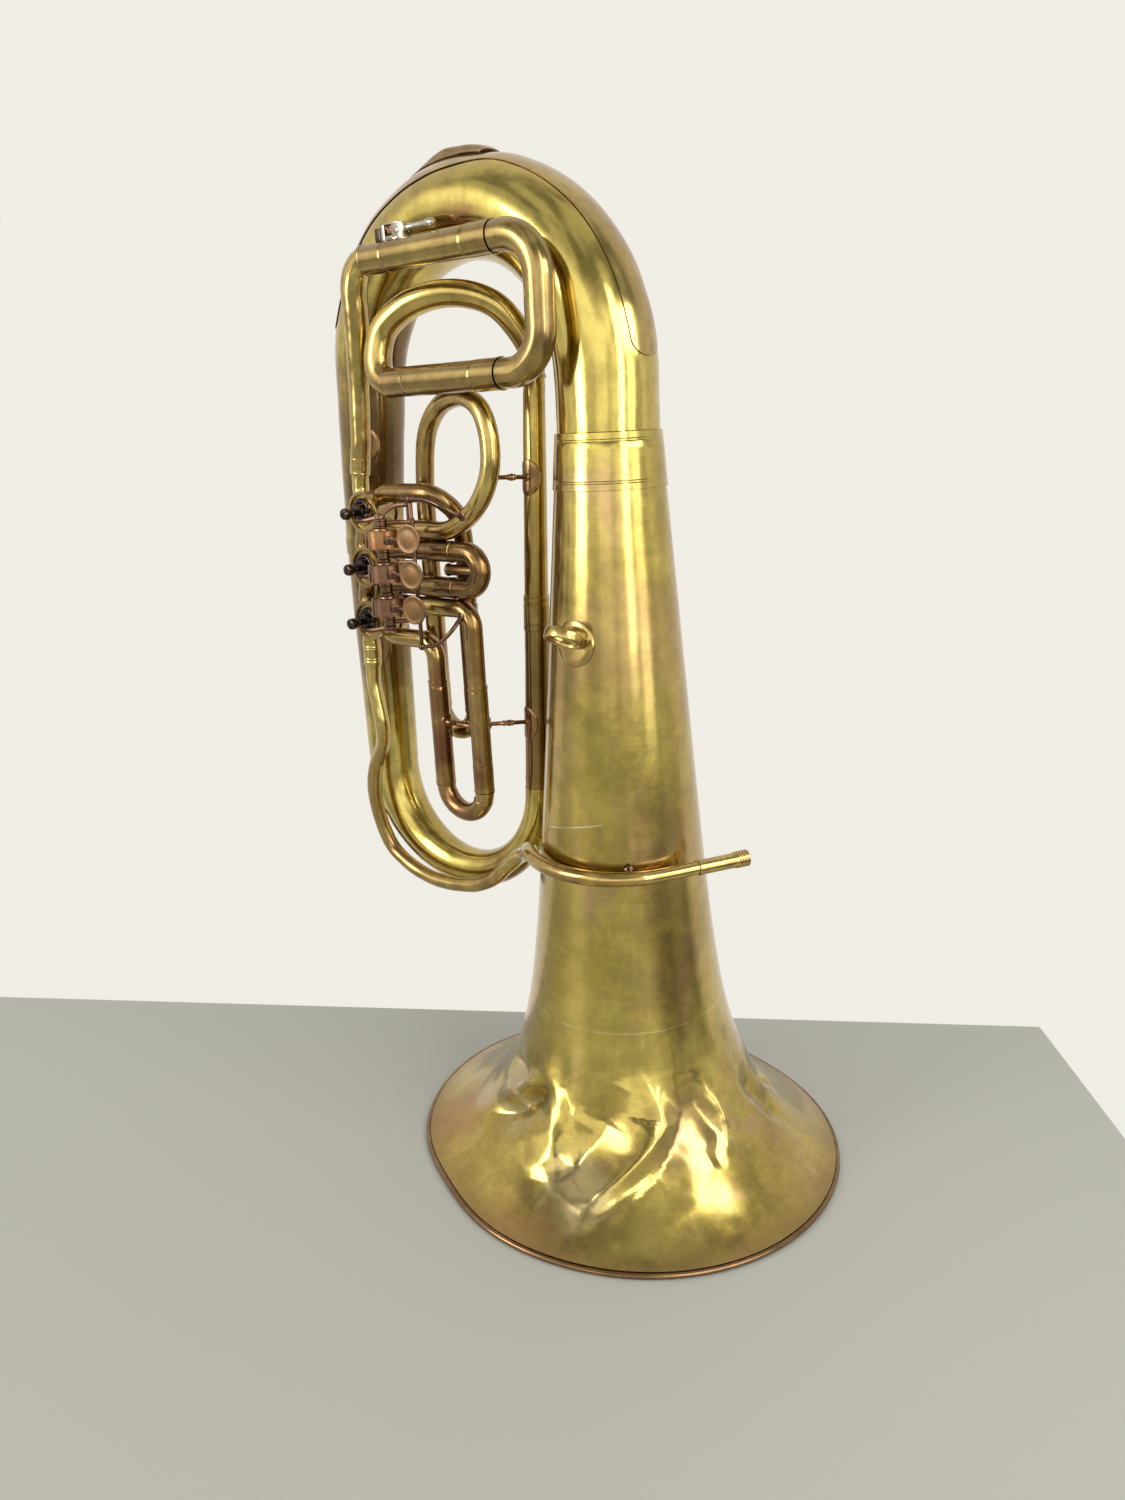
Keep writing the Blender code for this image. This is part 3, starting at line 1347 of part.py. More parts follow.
def make_key_frame(body):
    bottom, top = axle_ends()
    collar = AXLE_RADIUS + AXLE_COLLAR_LIP
    profile = [
        (0, top),
        (collar - AXLE_BEVEL, top),
        (collar, top - AXLE_BEVEL),
        (collar, top - AXLE_COLLAR),
        (AXLE_RADIUS, top - AXLE_COLLAR),
        (AXLE_RADIUS, bottom + AXLE_COLLAR),
        (collar, bottom + AXLE_COLLAR),
        (collar, bottom),
        (0, bottom),
    ]
    done(turned("key_axle", profile, (AXLE_U, AXLE_V, 0), UP, 10), body, "red_brass")

    rail_bottom = Vector((RAIL_U, RAIL_V, bottom - RAIL_BELOW_AXLE))
    rail_top = Vector((RAIL_U, RAIL_V, top + RAIL_ABOVE_AXLE))
    frame = wire("key_frame", [rail_bottom, rail_top], RAIL_RADIUS)
    for end in (rail_bottom, rail_top):
        join(frame, ball("rail_ball", end, RAIL_BALL_RADIUS))
    half = DRUM_HEIGHT / 2
    levels = [drum_level(number) for number in range(1, VALVE_COUNT + 1)]
    spans = [(bottom + AXLE_COLLAR + GAP, levels[0] - half - GAP)]
    spans += [(low + half + GAP, high - half - GAP) for low, high in zip(levels, levels[1:])]
    spans.append((levels[-1] + half + GAP, top - AXLE_COLLAR - GAP))
    axle = Vector((AXLE_U, AXLE_V, 0))
    rail = Vector((RAIL_U, RAIL_V, 0))
    out = (rail - axle).normalized()
    for index, (low, high) in enumerate(spans):
        eye = turned(
            "eye_%d" % index,
            [(EYE_RADIUS, high), (EYE_RADIUS, low), (DRUM_BORE, low), (DRUM_BORE, high)],
            axle, UP, 10,
        )
        middle = UP * (low + high) / 2
        arm_start = axle + out * (EYE_RADIUS - ARM_SINKS) + middle
        arm = bar("arm_%d" % index, arm_start, rail + middle, ARM, ARM, UP)
        join(frame, eye)
        join(frame, arm)
    done(frame, body, "red_brass")
    make_stays(body, rail_bottom, rail_top)


def make_stays(body, rail_bottom, rail_top):
    """Curved wires from the ends of the rail to the third loop and to the first slide's upper leg."""
    seat_v = TUBE_V - KNUCKLE_RADIUS - GAP - STAY_SEAT
    loop = loop_path()
    held_above = loop[1].lerp(loop[2], STAY_ON_LOOP) - UP * STAY_SEAT
    corner_w = port_lead(1, 1, 1, "u")[-1].z
    held_below = Vector((SLIDE_1_RIGHT_U, TUBE_V, corner_w)) - Vector((1, 0, 1)) * SLIDE_BEND * STAY_ON_BEND
    for name, rail_end, held, bends in (
        ("stay_upper", rail_top, held_above, STAY_UPPER_BENDS),
        ("stay_lower", rail_bottom, held_below, STAY_LOWER_BENDS),
    ):
        start = rail_end + Vector((RAIL_BALL_RADIUS + GAP, 0, 0))
        end = Vector((held.x, seat_v, held.z))
        way = end - start
        points = [start] + [start + Vector((way.x * u, way.y * v, way.z * w)) for u, v, w in bends] + [end]
        done(wire(name, smooth(points, 2), STAY_RADIUS), body, "red_brass")


# Braces

def make_brace(name, start, end, start_gap, end_gap, body, finish_name="yellow_brass"):
    """Turned strut with a flange at each end. The gaps are the tubes' radii at its ends."""
    start, end = Vector(start), Vector(end)
    run = (end - start).normalized()
    start = start + run * (start_gap + BRACE_FIT)
    end = end - run * (end_gap + BRACE_FIT)
    length = (end - start).length
    flange, thick, slim, knob = BRACE_FLANGE, BRACE_FLANGE_THICKNESS, BRACE_NECK, BRACE_KNOB
    knob_half = min(BRACE_KNOB_HALF, length / 6)
    profile = [
        (0, length),
        (flange, length),
        (flange, length - thick),
        (slim, length - thick - BRACE_COVE),
        (slim, length / 2 + knob_half),
        (knob, length / 2 + knob_half / 2),
        (knob, length / 2 - knob_half / 2),
        (slim, length / 2 - knob_half),
        (slim, thick + BRACE_COVE),
        (flange, thick),
        (flange, 0),
        (0, 0),
    ]
    done(turned(name, profile, start, run, 8), body, finish_name)


def inner_branch_at(w):
    share = (w - INNER_FOOT.z) / (INNER_HEAD.z - INNER_FOOT.z)
    return INNER_FOOT.lerp(INNER_HEAD, share), spread(INNER_BRANCH_TAPER, [share])[0]


def make_braces(body):
    start = loop_path()[LOOP_BRACE_BEND]
    branch, radius = inner_branch_at(start.z - UPPER_BRACE_FALLS)
    make_brace("brace_upper", start, branch, KNUCKLE_RADIUS, radius, body)

    start = Vector((SLIDE_1_RIGHT_U, TUBE_V, SLIDE_1_END_W + LOWER_BRACE_ABOVE_SLIDE_END))
    branch, radius = inner_branch_at(start.z - LOWER_BRACE_FALLS)
    make_brace("brace_lower", start, branch, SLEEVE_RADIUS, radius, body)

    level = SLIDE_1_END_W + SLIDE_1_BRACE_ABOVE_END
    make_brace(
        "brace_slide_1", (SLIDE_1_LEFT_U, TUBE_V, level), (SLIDE_1_RIGHT_U, TUBE_V, level),
        SLEEVE_RADIUS, SLEEVE_RADIUS, body, "red_brass",
    )

    brace_u = MAIN_SLEEVE_END_U - MAIN_BRACE_FROM_SLEEVE_END
    arm = Vector((brace_u + BOW_RADIUS, 0, MAIN_UPPER_ABOVE_BOW_CENTRE))
    angle = math.degrees(math.atan2(arm.z, arm.x))
    off_centre = max(abs(arm.length - BOW_RADIUS) - BRACE_FLANGE, 0)
    depth = sqrt(spread(BOW_TAPER, [angle])[0] ** 2 - off_centre ** 2)
    make_brace(
        "brace_main_slide", (brace_u, MAIN_V, MAIN_UPPER_W), (brace_u, 0, MAIN_UPPER_W),
        MAIN_FERRULE_RADIUS, depth, body,
    )

    start = exit_path()[EXIT_BRACE_BEND]
    leg_u, leg_radius = bow_leg_at(start.z)
    make_brace(
        "brace_outer_upper", start, (leg_u, 0, start.z), SLEEVE_RADIUS + BRACE_FIT, leg_radius, body
    )

    port = port_lead(1, -1, -1, "w")[-1]
    start = port - UP * OUTER_BRACE_BELOW_PORT
    share = (BOW_END_W - start.z) / (BOW_END_W - SMALL_BOW_END_W)
    branch_radius = spread(OUTER_BRANCH_TAPER, [share])[0]
    make_brace(
        "brace_outer_lower", start, (OUTER_BRANCH_U - BRANCH_DRIFT * share, 0, start.z),
        LEADPIPE_FERRULE_RADIUS, branch_radius, body,
    )


# Small fittings

def make_strap_ring(body):
    surface = bell_radius(STRAP_W)
    foot = Vector((0, -surface, STRAP_W))
    plate_end = foot + FRONT * STRAP_PLATE_THICKNESS
    plate = rod("strap_ring", foot + BACK * STRAP_PLATE_SKIRT, plate_end, STRAP_PLATE_RADIUS, 20)
    out = Vector((0, -cos(STRAP_RISE), sin(STRAP_RISE)))
    axis = Vector((0, sin(STRAP_RISE), cos(STRAP_RISE)))
    middle = foot + out * (STRAP_RING_RADIUS - STRAP_THICKNESS / 2)
    half = STRAP_BAND / 2
    inner = STRAP_RING_RADIUS - STRAP_THICKNESS
    ring = turned(
        "strap_band",
        [(STRAP_RING_RADIUS, half), (STRAP_RING_RADIUS, -half), (inner, -half), (inner, half)],
        middle, axis, 18,
    )
    join(plate, ring)
    heights = [STRAP_W + 2 * STRAP_PLATE_RADIUS, STRAP_W - 2 * STRAP_PLATE_RADIUS]
    bell_outside = turned(
        "bell_outside",
        [(0, heights[0])]
        + [(bell_radius(w) / cos(pi / BELL_STEPS) + GAP, w) for w in heights]
        + [(0, heights[1])],
        (0, 0, 0), UP, BELL_STEPS,
    )
    cut(plate, bell_outside)
    done(plate, body, "yellow_brass")


def make_lyre_clamp(body):
    top = MAIN_UPPER_W + MAIN_SLEEVE_RADIUS
    centre = Vector((CLAMP_U, MAIN_V, top + CLAMP_HEIGHT / 2 - CLAMP_SINKS))
    clamp = box("lyre_clamp", centre, (CLAMP_LENGTH, CLAMP_WIDTH, CLAMP_HEIGHT))
    on_axis = Vector((CLAMP_U, MAIN_V, MAIN_UPPER_W))
    reach = ACROSS * CLAMP_LENGTH
    cut(clamp, rod("clamp_saddle", on_axis - reach, on_axis + reach, MAIN_SLEEVE_RADIUS + GAP, 16))
    socket_centre = centre - ACROSS * CLAMP_SOCKET_OFF_MIDDLE + UP * CLAMP_SOCKET_OVER_MIDDLE
    cut(clamp, box("clamp_socket", socket_centre, (CLAMP_SOCKET, 3 * CLAMP_WIDTH, CLAMP_SOCKET)))
    screw_start = socket_centre + ACROSS * (CLAMP_SOCKET / 2 + CLAMP_SCREW_BACK)
    screw_end = centre + ACROSS * (CLAMP_LENGTH / 2 + CLAMP_SCREW_LENGTH) + UP * CLAMP_SOCKET_OVER_MIDDLE
    cut(clamp, rod("clamp_screw_hole", socket_centre, screw_end, CLAMP_SCREW_RADIUS + GAP, 12))
    done(clamp, body, "nickel_silver")

    screw = rod("lyre_screw", screw_start, screw_end, CLAMP_SCREW_RADIUS * cos(pi / 12), 12)
    grip_start = screw_end - ACROSS * CLAMP_GRIP_LENGTH
    join(screw, rod("screw_grip", grip_start, screw_end, CLAMP_GRIP_RADIUS, 10))
    screw = done(screw, body, "nickel_silver")
    pivot_at(screw, screw_start)


# Assembly

def centre_on_floor(root):
    """Put the middle of the whole tuba's box over the origin, with the rim on the floor."""
    bpy.context.view_layer.update()
    graph = bpy.context.evaluated_depsgraph_get()
    low = Vector((1, 1, 1))
    high = Vector((-1, -1, -1))
    for piece in bpy.data.collections["bass_tuba"].objects:
        if piece.type != "MESH":
            continue
        mesh = piece.evaluated_get(graph).data
        for vertex in mesh.vertices:
            point = piece.matrix_world @ vertex.co
            low = Vector(map(min, low, point))
            high = Vector(map(max, high, point))
    root.location = (-(low.x + high.x) / 2, -(low.y + high.y) / 2, -low.z)


def main():
    start_scene()
    root = empty("tuba_stand")
    body = empty("tuba_body", root)
    body.rotation_euler = (LEAN_BACK, LEAN_SIDE, 0)
    make_bell(root, body)
    make_big_bow(body)
    make_branches(body)
    make_main_slide(body)
    make_exit_tube(body)
    make_leadpipe(body)
    for number in range(1, VALVE_COUNT + 1):
        make_valve(number, body)
    make_link_tubes(body)
    make_slide_1(body)
    make_slide_2(body)
    make_slide_3(body)
    make_key_frame(body)
    for number in range(1, VALVE_COUNT + 1):
        make_key(number, body)
        make_link(number, body)
    make_braces(body)
    make_strap_ring(body)
    make_lyre_clamp(body)
    centre_on_floor(root)


main()
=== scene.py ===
import json
from math import atan2, ceil, cos, exp, pi, radians, sin, sqrt, tan

import bpy
import numpy as np
from mathutils import Euler, Matrix, Quaternion, Vector, noise


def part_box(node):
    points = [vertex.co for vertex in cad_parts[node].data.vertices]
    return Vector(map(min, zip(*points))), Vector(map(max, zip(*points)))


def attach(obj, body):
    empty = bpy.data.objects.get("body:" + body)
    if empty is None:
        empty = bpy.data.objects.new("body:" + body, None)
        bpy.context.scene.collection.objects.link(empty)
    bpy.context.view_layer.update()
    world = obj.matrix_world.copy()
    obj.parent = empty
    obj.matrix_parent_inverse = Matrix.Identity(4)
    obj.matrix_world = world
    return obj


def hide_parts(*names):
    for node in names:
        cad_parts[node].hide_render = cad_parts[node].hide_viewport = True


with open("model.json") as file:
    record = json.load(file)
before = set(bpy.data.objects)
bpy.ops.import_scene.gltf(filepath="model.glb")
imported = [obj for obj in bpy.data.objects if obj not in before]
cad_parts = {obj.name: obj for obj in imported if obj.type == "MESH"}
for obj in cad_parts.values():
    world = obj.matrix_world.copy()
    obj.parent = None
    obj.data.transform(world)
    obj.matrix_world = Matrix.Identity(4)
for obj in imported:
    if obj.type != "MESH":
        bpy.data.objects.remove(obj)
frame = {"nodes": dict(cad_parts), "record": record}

bpy.ops.object.select_all(action="DESELECT")
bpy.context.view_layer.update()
NODES = frame["nodes"]

# The tuba is laid out upright: u from the outer branch to the bell, v to the back, w up the
# bell. LEANING carries that layout onto the rim, which lies level on the floor.
RIM_LOW, RIM_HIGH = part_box("rim_wire")
STAND = Vector(((RIM_LOW[0] + RIM_HIGH[0]) / 2, (RIM_LOW[1] + RIM_HIGH[1]) / 2, RIM_LOW[2]))
LEAN = Euler((radians(2.6), radians(-3.0), 0)).to_matrix()
LEANING = Matrix.Translation(STAND) @ LEAN.to_4x4()
UPRIGHT = Matrix.Translation(STAND)
ACROSS, BACK, UP, FRONT = Vector((1, 0, 0)), Vector((0, 1, 0)), Vector((0, 0, 1)), Vector((0, -1, 0))
HALF_SLANT = sqrt(0.5)

# Sheets and gaps
GAP = 0.0003
SHEET = 0.0008
TUBE_WALL = 0.0007
TINY = 0.000001

# Bell
EDGE_RADIUS = 0.1915
THROAT_RADIUS = 0.0416
BELL_TAPER = 0.0828
FLARE_LENGTH = 0.0541
LIP_CURL = 0.0057
LIP_LENGTH = 0.006
RIM_WIRE = 0.0024
GARLAND_LENGTH = 0.043
SETTLES_BELOW = 0.12

# Big bow, outer branch, small bow and inner branch
BOW_CENTRE_W = 0.6838
BOW_RADIUS = 0.1347
BOW_LEG_LEAN = radians(5.8)
BOW_TAPER = ((0, 0.0408), (45, 0.0402), (90, 0.0387), (120, 0.0366), (150, 0.0338), (180, 0.0306))
BOW_END_RADIUS = 0.0274
BELL_TOP_W = BOW_CENTRE_W - 0.0428
BELL_FOOT_W = 2 * RIM_WIRE + GAP
BOW_END_W = BOW_CENTRE_W - 0.1388
END_STRAIGHT = 0.008
BOW_LEG_W = BOW_CENTRE_W + BOW_RADIUS * sin(BOW_LEG_LEAN)
BOW_LEG_U = -BOW_RADIUS * (1 + cos(BOW_LEG_LEAN))
OUTER_U = BOW_LEG_U - (BOW_LEG_W - BOW_END_W - END_STRAIGHT) * tan(BOW_LEG_LEAN)
BRANCH_DRIFT = 0.0025
OUTER_TAPER = ((0.0, 0.0272), (0.28, 0.0268), (0.6, 0.0257), (1.0, 0.0245))
SMALL_BOW_TAPER = ((180, 0.0245), (270, 0.0180), (360, 0.0122))
SMALL_BOW_STUB = 0.004
INNER_FOOT_U, INNER_HEAD_U = -0.0925, -0.0735
INNER_TAPER = ((0.0, 0.0119), (0.3, 0.0110), (0.6, 0.0102), (1.0, 0.0092))

# Main tuning slide
MAIN_V = -0.064
SLEEVE_WIDE = 0.0118
MAIN_LEG = (SLEEVE_WIDE - TUBE_WALL) * cos(pi / 12) - 0.0007
MAIN_UPPER_W = BOW_CENTRE_W + 0.0987
MAIN_LOWER_W = BOW_CENTRE_W + 0.0032
MAIN_UPPER_U = OUTER_U + 0.0934
MAIN_LOWER_U = OUTER_U + 0.1074
MAIN_END_U = -0.0510
MAIN_CROOK_U = -0.0110
MAIN_BEND = 0.0315

# Valves
VALVE_U = OUTER_U + 0.0596
VALVE_W = BOW_CENTRE_W - 0.1980
VALVE_PITCH = 2 * 0.0175 + 0.0132
VALVE_TILT = radians(3.5)
TUBE_V = -0.056
CASING = 0.0175
CASING_BORE = CASING - 0.0022
FACE_V = -0.0700
CASING_REAR_V = -0.0420
STOP_V = -0.0735
PIN_ANGLE = radians(-45)
PIN_REACH = 0.0086
PIN_TIP_V = -0.0808
HEAD_V = -0.0925
SMALL_BOW_END_W = VALVE_W - 0.1558

# Valve tubes
KNUCKLE = 0.0077
KNUCKLE_BEND = 0.010
SLEEVE = 0.0088
FERRULE = 0.0091
SLIDE_LEG = (0.0086 - TUBE_WALL) * cos(pi / 8) - 0.0001
SLIDE_BEND = 0.016
SLIDE_1_LEFT_U, SLIDE_1_RIGHT_U = VALVE_U + 0.0682, VALVE_U + 0.1158
SLIDE_1_END_W = VALVE_W - 0.1468
SLIDE_2_END_U = VALVE_U + 0.0983
SLIDE_3_V = -0.034
SLIDE_3_LEFT_U, SLIDE_3_RIGHT_U = VALVE_U + 0.0488, VALVE_U + 0.0903
SLIDE_3_TOP_W = VALVE_W + 0.0142
SLIDE_3_END_W = VALVE_W - 0.0808

# Key machine
AXLE_U, AXLE_V = VALVE_U + 0.0608, -0.100
RAIL_U, RAIL_V = AXLE_U + 0.0160, AXLE_V + 0.0200
DRUM_RADIUS, DRUM_HALF = 0.0133, 0.0072
DRUM_PITCH = 0.0280
CRANK_ANGLE = radians(90 - 13)
CRANK_REACH = 0.0270
LINK_RISE = 0.0135
TOUCH_AT = Vector((0.0525, -0.0200, 0.0033))

INNER_HEAD = Vector((INNER_HEAD_U, 0, BOW_CENTRE_W + 0.0012))
INNER_FOOT = Vector((INNER_FOOT_U, 0, SMALL_BOW_END_W + GAP))
STRAP_W = BELL_TOP_W - 0.160
CLAMP_U = MAIN_UPPER_U + 0.0370


# Surface effects that the finishes share

def effect_named(name, inputs, outputs):
    tree = bpy.data.node_groups.new(name, "ShaderNodeTree")
    for label, kind, value in inputs:
        tree.interface.new_socket(name=label, in_out="INPUT", socket_type=kind).default_value = value
    for label, kind in outputs:
        tree.interface.new_socket(name=label, in_out="OUTPUT", socket_type=kind)
    return tree, tree.nodes.new("NodeGroupInput").outputs, tree.nodes.new("NodeGroupOutput").inputs


def feed(tree, socket, value):
    if isinstance(value, bpy.types.NodeSocket):
        tree.links.new(value, socket)
    elif isinstance(value, tuple) and len(value) == 3 and len(socket.default_value) == 4:
        socket.default_value = (*value, 1.0)
    else:
        socket.default_value = value


def clouds(tree, place, scale, detail=4.0, rough=0.55, distortion=0.0):
    node = tree.nodes.new("ShaderNodeTexNoise")
    for label, value in (("Vector", place), ("Scale", scale), ("Detail", detail), ("Roughness", rough),
                         ("Distortion", distortion)):
        feed(tree, node.inputs[label], value)
    return node.outputs["Fac"]


def eased(tree, value, low, high, to_low=0.0, to_high=1.0):
    node = tree.nodes.new("ShaderNodeMapRange")
    node.interpolation_type = "SMOOTHSTEP"
    for label, number in (("Value", value), ("From Min", low), ("From Max", high), ("To Min", to_low),
                          ("To Max", to_high)):
        feed(tree, node.inputs[label], number)
    return node.outputs["Result"]


def blended(tree, share, first, second, kind="MIX"):
    node = tree.nodes.new("ShaderNodeMix")
    node.data_type = "RGBA"
    node.blend_type = kind
    feed(tree, node.inputs["Factor"], share)
    feed(tree, node.inputs[6], first)
    feed(tree, node.inputs[7], second)
    return node.outputs[2]


def worked(tree, operation, *values):
    node = tree.nodes.new("ShaderNodeMath")
    node.operation = operation
    for socket, value in zip(node.inputs, values):
        feed(tree, socket, value)
    return node.outputs[0]


def stretched(tree, place, scale, offset=(0.0, 0.0, 0.0)):
    node = tree.nodes.new("ShaderNodeVectorMath")
    node.operation = "MULTIPLY_ADD"
    feed(tree, node.inputs[0], place)
    feed(tree, node.inputs[1], scale)
    feed(tree, node.inputs[2], offset)
    return node.outputs[0]


def old_brass_effect():
    """Bare metal that tarnishes in clouds, blushes copper, and carries specks, wiping and drawing marks."""
    tree, given, made = effect_named(
        "old_brass",
        [("Vector", "NodeSocketVector", (0, 0, 0)), ("Bare", "NodeSocketColor", (0.6, 0.5, 0.2, 1)),
         ("Tarnish", "NodeSocketColor", (0.3, 0.2, 0.1, 1)), ("Blush", "NodeSocketColor", (0.4, 0.2, 0.1, 1)),
         ("Tarnished", "NodeSocketFloat", 0.3), ("Blushed", "NodeSocketFloat", 0.2),
         ("Polish", "NodeSocketFloat", 0.2), ("Grain", "NodeSocketVector", (60, 60, 900))],
        [("Color", "NodeSocketColor"), ("Roughness", "NodeSocketFloat"), ("Height", "NodeSocketFloat")],
    )
    place = given["Vector"]
    big = clouds(tree, place, 11.0, 6.0, 0.62, 0.5)
    blush = clouds(tree, stretched(tree, place, (1.0, 1.0, 0.55), (3.1, 7.7, 1.3)), 15.0, 6.0, 0.6, 0.8)
    blotches = clouds(tree, place, 60.0, 5.0, 0.6)
    specks = clouds(tree, place, 520.0, 2.0, 0.5)
    marks = clouds(tree, stretched(tree, place, given["Grain"]), 1.0, 3.0, 0.6)
    cover = eased(tree, worked(tree, "ADD", big, worked(tree, "MULTIPLY", given["Tarnished"], 0.5)), 0.50, 0.88)
    pink = eased(tree, worked(tree, "ADD", blush, worked(tree, "MULTIPLY", given["Blushed"], 0.5)), 0.58, 0.86)
    colour = blended(tree, cover, given["Bare"], given["Tarnish"])
    colour = blended(tree, pink, colour, given["Blush"])
    shade = tree.nodes.new("ShaderNodeHueSaturation")
    feed(tree, shade.inputs["Color"], colour)
    fine = clouds(tree, stretched(tree, place, (1.0, 1.0, 0.6), (5.2, 1.9, 8.4)), 170.0, 4.0, 0.65)
    tone = worked(tree, "MULTIPLY", eased(tree, blotches, 0.3, 0.7, 0.87, 1.07),
                  worked(tree, "MULTIPLY", eased(tree, marks, 0.3, 0.7, 0.95, 1.04), eased(tree, fine, 0.3, 0.7, 0.92, 1.05)))
    feed(tree, shade.inputs["Value"], tone)
    colour = blended(tree, eased(tree, specks, 0.715, 0.79, 0.0, 0.55), shade.outputs["Color"], (0.10, 0.055, 0.02))
    feed(tree, made["Color"], colour)
    rough = worked(tree, "MULTIPLY_ADD", eased(tree, blotches, 0.35, 0.75), 0.06, given["Polish"])
    rough = worked(tree, "MULTIPLY_ADD", eased(tree, big, 0.4, 0.7), 0.06, rough)
    feed(tree, made["Roughness"], rough)
    pits = eased(tree, specks, 0.70, 0.80, 0.0, -1.0)
    feed(tree, made["Height"], worked(tree, "ADD", worked(tree, "MULTIPLY_ADD", fine, 0.35, worked(tree, "MULTIPLY", marks, 0.5)), pits))
    return tree


def stain_and_shade_effect():
    """A soft round patch about a place, with a ragged edge. It serves both real stains and patches of painted shade."""
    tree, given, made = effect_named(
        "stain_and_shade",
        [("Vector", "NodeSocketVector", (0, 0, 0)), ("Centre", "NodeSocketVector", (0, 0, 0)),
         ("Reach", "NodeSocketFloat", 0.05), ("Strength", "NodeSocketFloat", 1.0)],
        [("Mask", "NodeSocketFloat")],
    )
    away = tree.nodes.new("ShaderNodeVectorMath")
    away.operation = "DISTANCE"
    feed(tree, away.inputs[0], given["Vector"])
    feed(tree, away.inputs[1], given["Centre"])
    share = worked(tree, "DIVIDE", away.outputs["Value"], given["Reach"])
    ragged = worked(tree, "MULTIPLY_ADD", clouds(tree, given["Vector"], 55.0, 5.0, 0.65), 0.9, share)
    feed(tree, made["Mask"], worked(tree, "MULTIPLY", eased(tree, ragged, 1.45, 0.75), given["Strength"]))
    return tree


def rim_shade_effect():
    """Painted shade: brown that thickens towards the rim, with a ragged edge."""
    tree, given, made = effect_named(
        "painted_rim_shade",
        [("Vector", "NodeSocketVector", (0, 0, 0)), ("Unshaded", "NodeSocketFloat", 0.162), ("Shaded", "NodeSocketFloat", 0.198)],
        [("Mask", "NodeSocketFloat")],
    )
    flat = stretched(tree, given["Vector"], (1.0, 1.0, 0.0), (-STAND.x, -STAND.y, 0.0))
    length = tree.nodes.new("ShaderNodeVectorMath")
    length.operation = "LENGTH"
    feed(tree, length.inputs[0], flat)
    ragged = worked(tree, "MULTIPLY_ADD", clouds(tree, given["Vector"], 26.0, 6.0, 0.65), 0.05, length.outputs["Value"])
    feed(tree, made["Mask"], eased(tree, worked(tree, "SUBTRACT", ragged, 0.025), given["Unshaded"], given["Shaded"]))
    return tree


def hairline_effect():
    """A fine line where the surface crosses a plane, worn away here and there."""
    tree, given, made = effect_named(
        "hairline",
        [("Vector", "NodeSocketVector", (0, 0, 0)), ("Centre", "NodeSocketVector", (0, 0, 0)),
         ("Across", "NodeSocketVector", (0, 0, 1)), ("Width", "NodeSocketFloat", 0.0005),
         ("Reach", "NodeSocketFloat", 1.0), ("Strength", "NodeSocketFloat", 0.5)],
        [("Mask", "NodeSocketFloat")],
    )
    from_centre = tree.nodes.new("ShaderNodeVectorMath")
    from_centre.operation = "SUBTRACT"
    feed(tree, from_centre.inputs[0], given["Vector"])
    feed(tree, from_centre.inputs[1], given["Centre"])
    off = tree.nodes.new("ShaderNodeVectorMath")
    off.operation = "DOT_PRODUCT"
    feed(tree, off.inputs[0], from_centre.outputs[0])
    feed(tree, off.inputs[1], given["Across"])
    far = tree.nodes.new("ShaderNodeVectorMath")
    far.operation = "LENGTH"
    feed(tree, far.inputs[0], from_centre.outputs[0])
    line = worked(tree, "SUBTRACT", 1.0, worked(tree, "DIVIDE", worked(tree, "ABSOLUTE", off.outputs["Value"]), given["Width"]))
    line = worked(tree, "MAXIMUM", line, 0.0)
    near = worked(tree, "LESS_THAN", far.outputs["Value"], given["Reach"])
    kept = eased(tree, clouds(tree, given["Vector"], 45.0, 3.0), 0.35, 0.55, 0.3, 1.0)
    mask = worked(tree, "MULTIPLY", worked(tree, "MULTIPLY", line, near), worked(tree, "MULTIPLY", kept, given["Strength"]))
    feed(tree, made["Mask"], mask)
    return tree


OLD_BRASS = old_brass_effect()
STAIN_AND_SHADE = stain_and_shade_effect()
RIM_SHADE = rim_shade_effect()
HAIRLINE = hairline_effect()


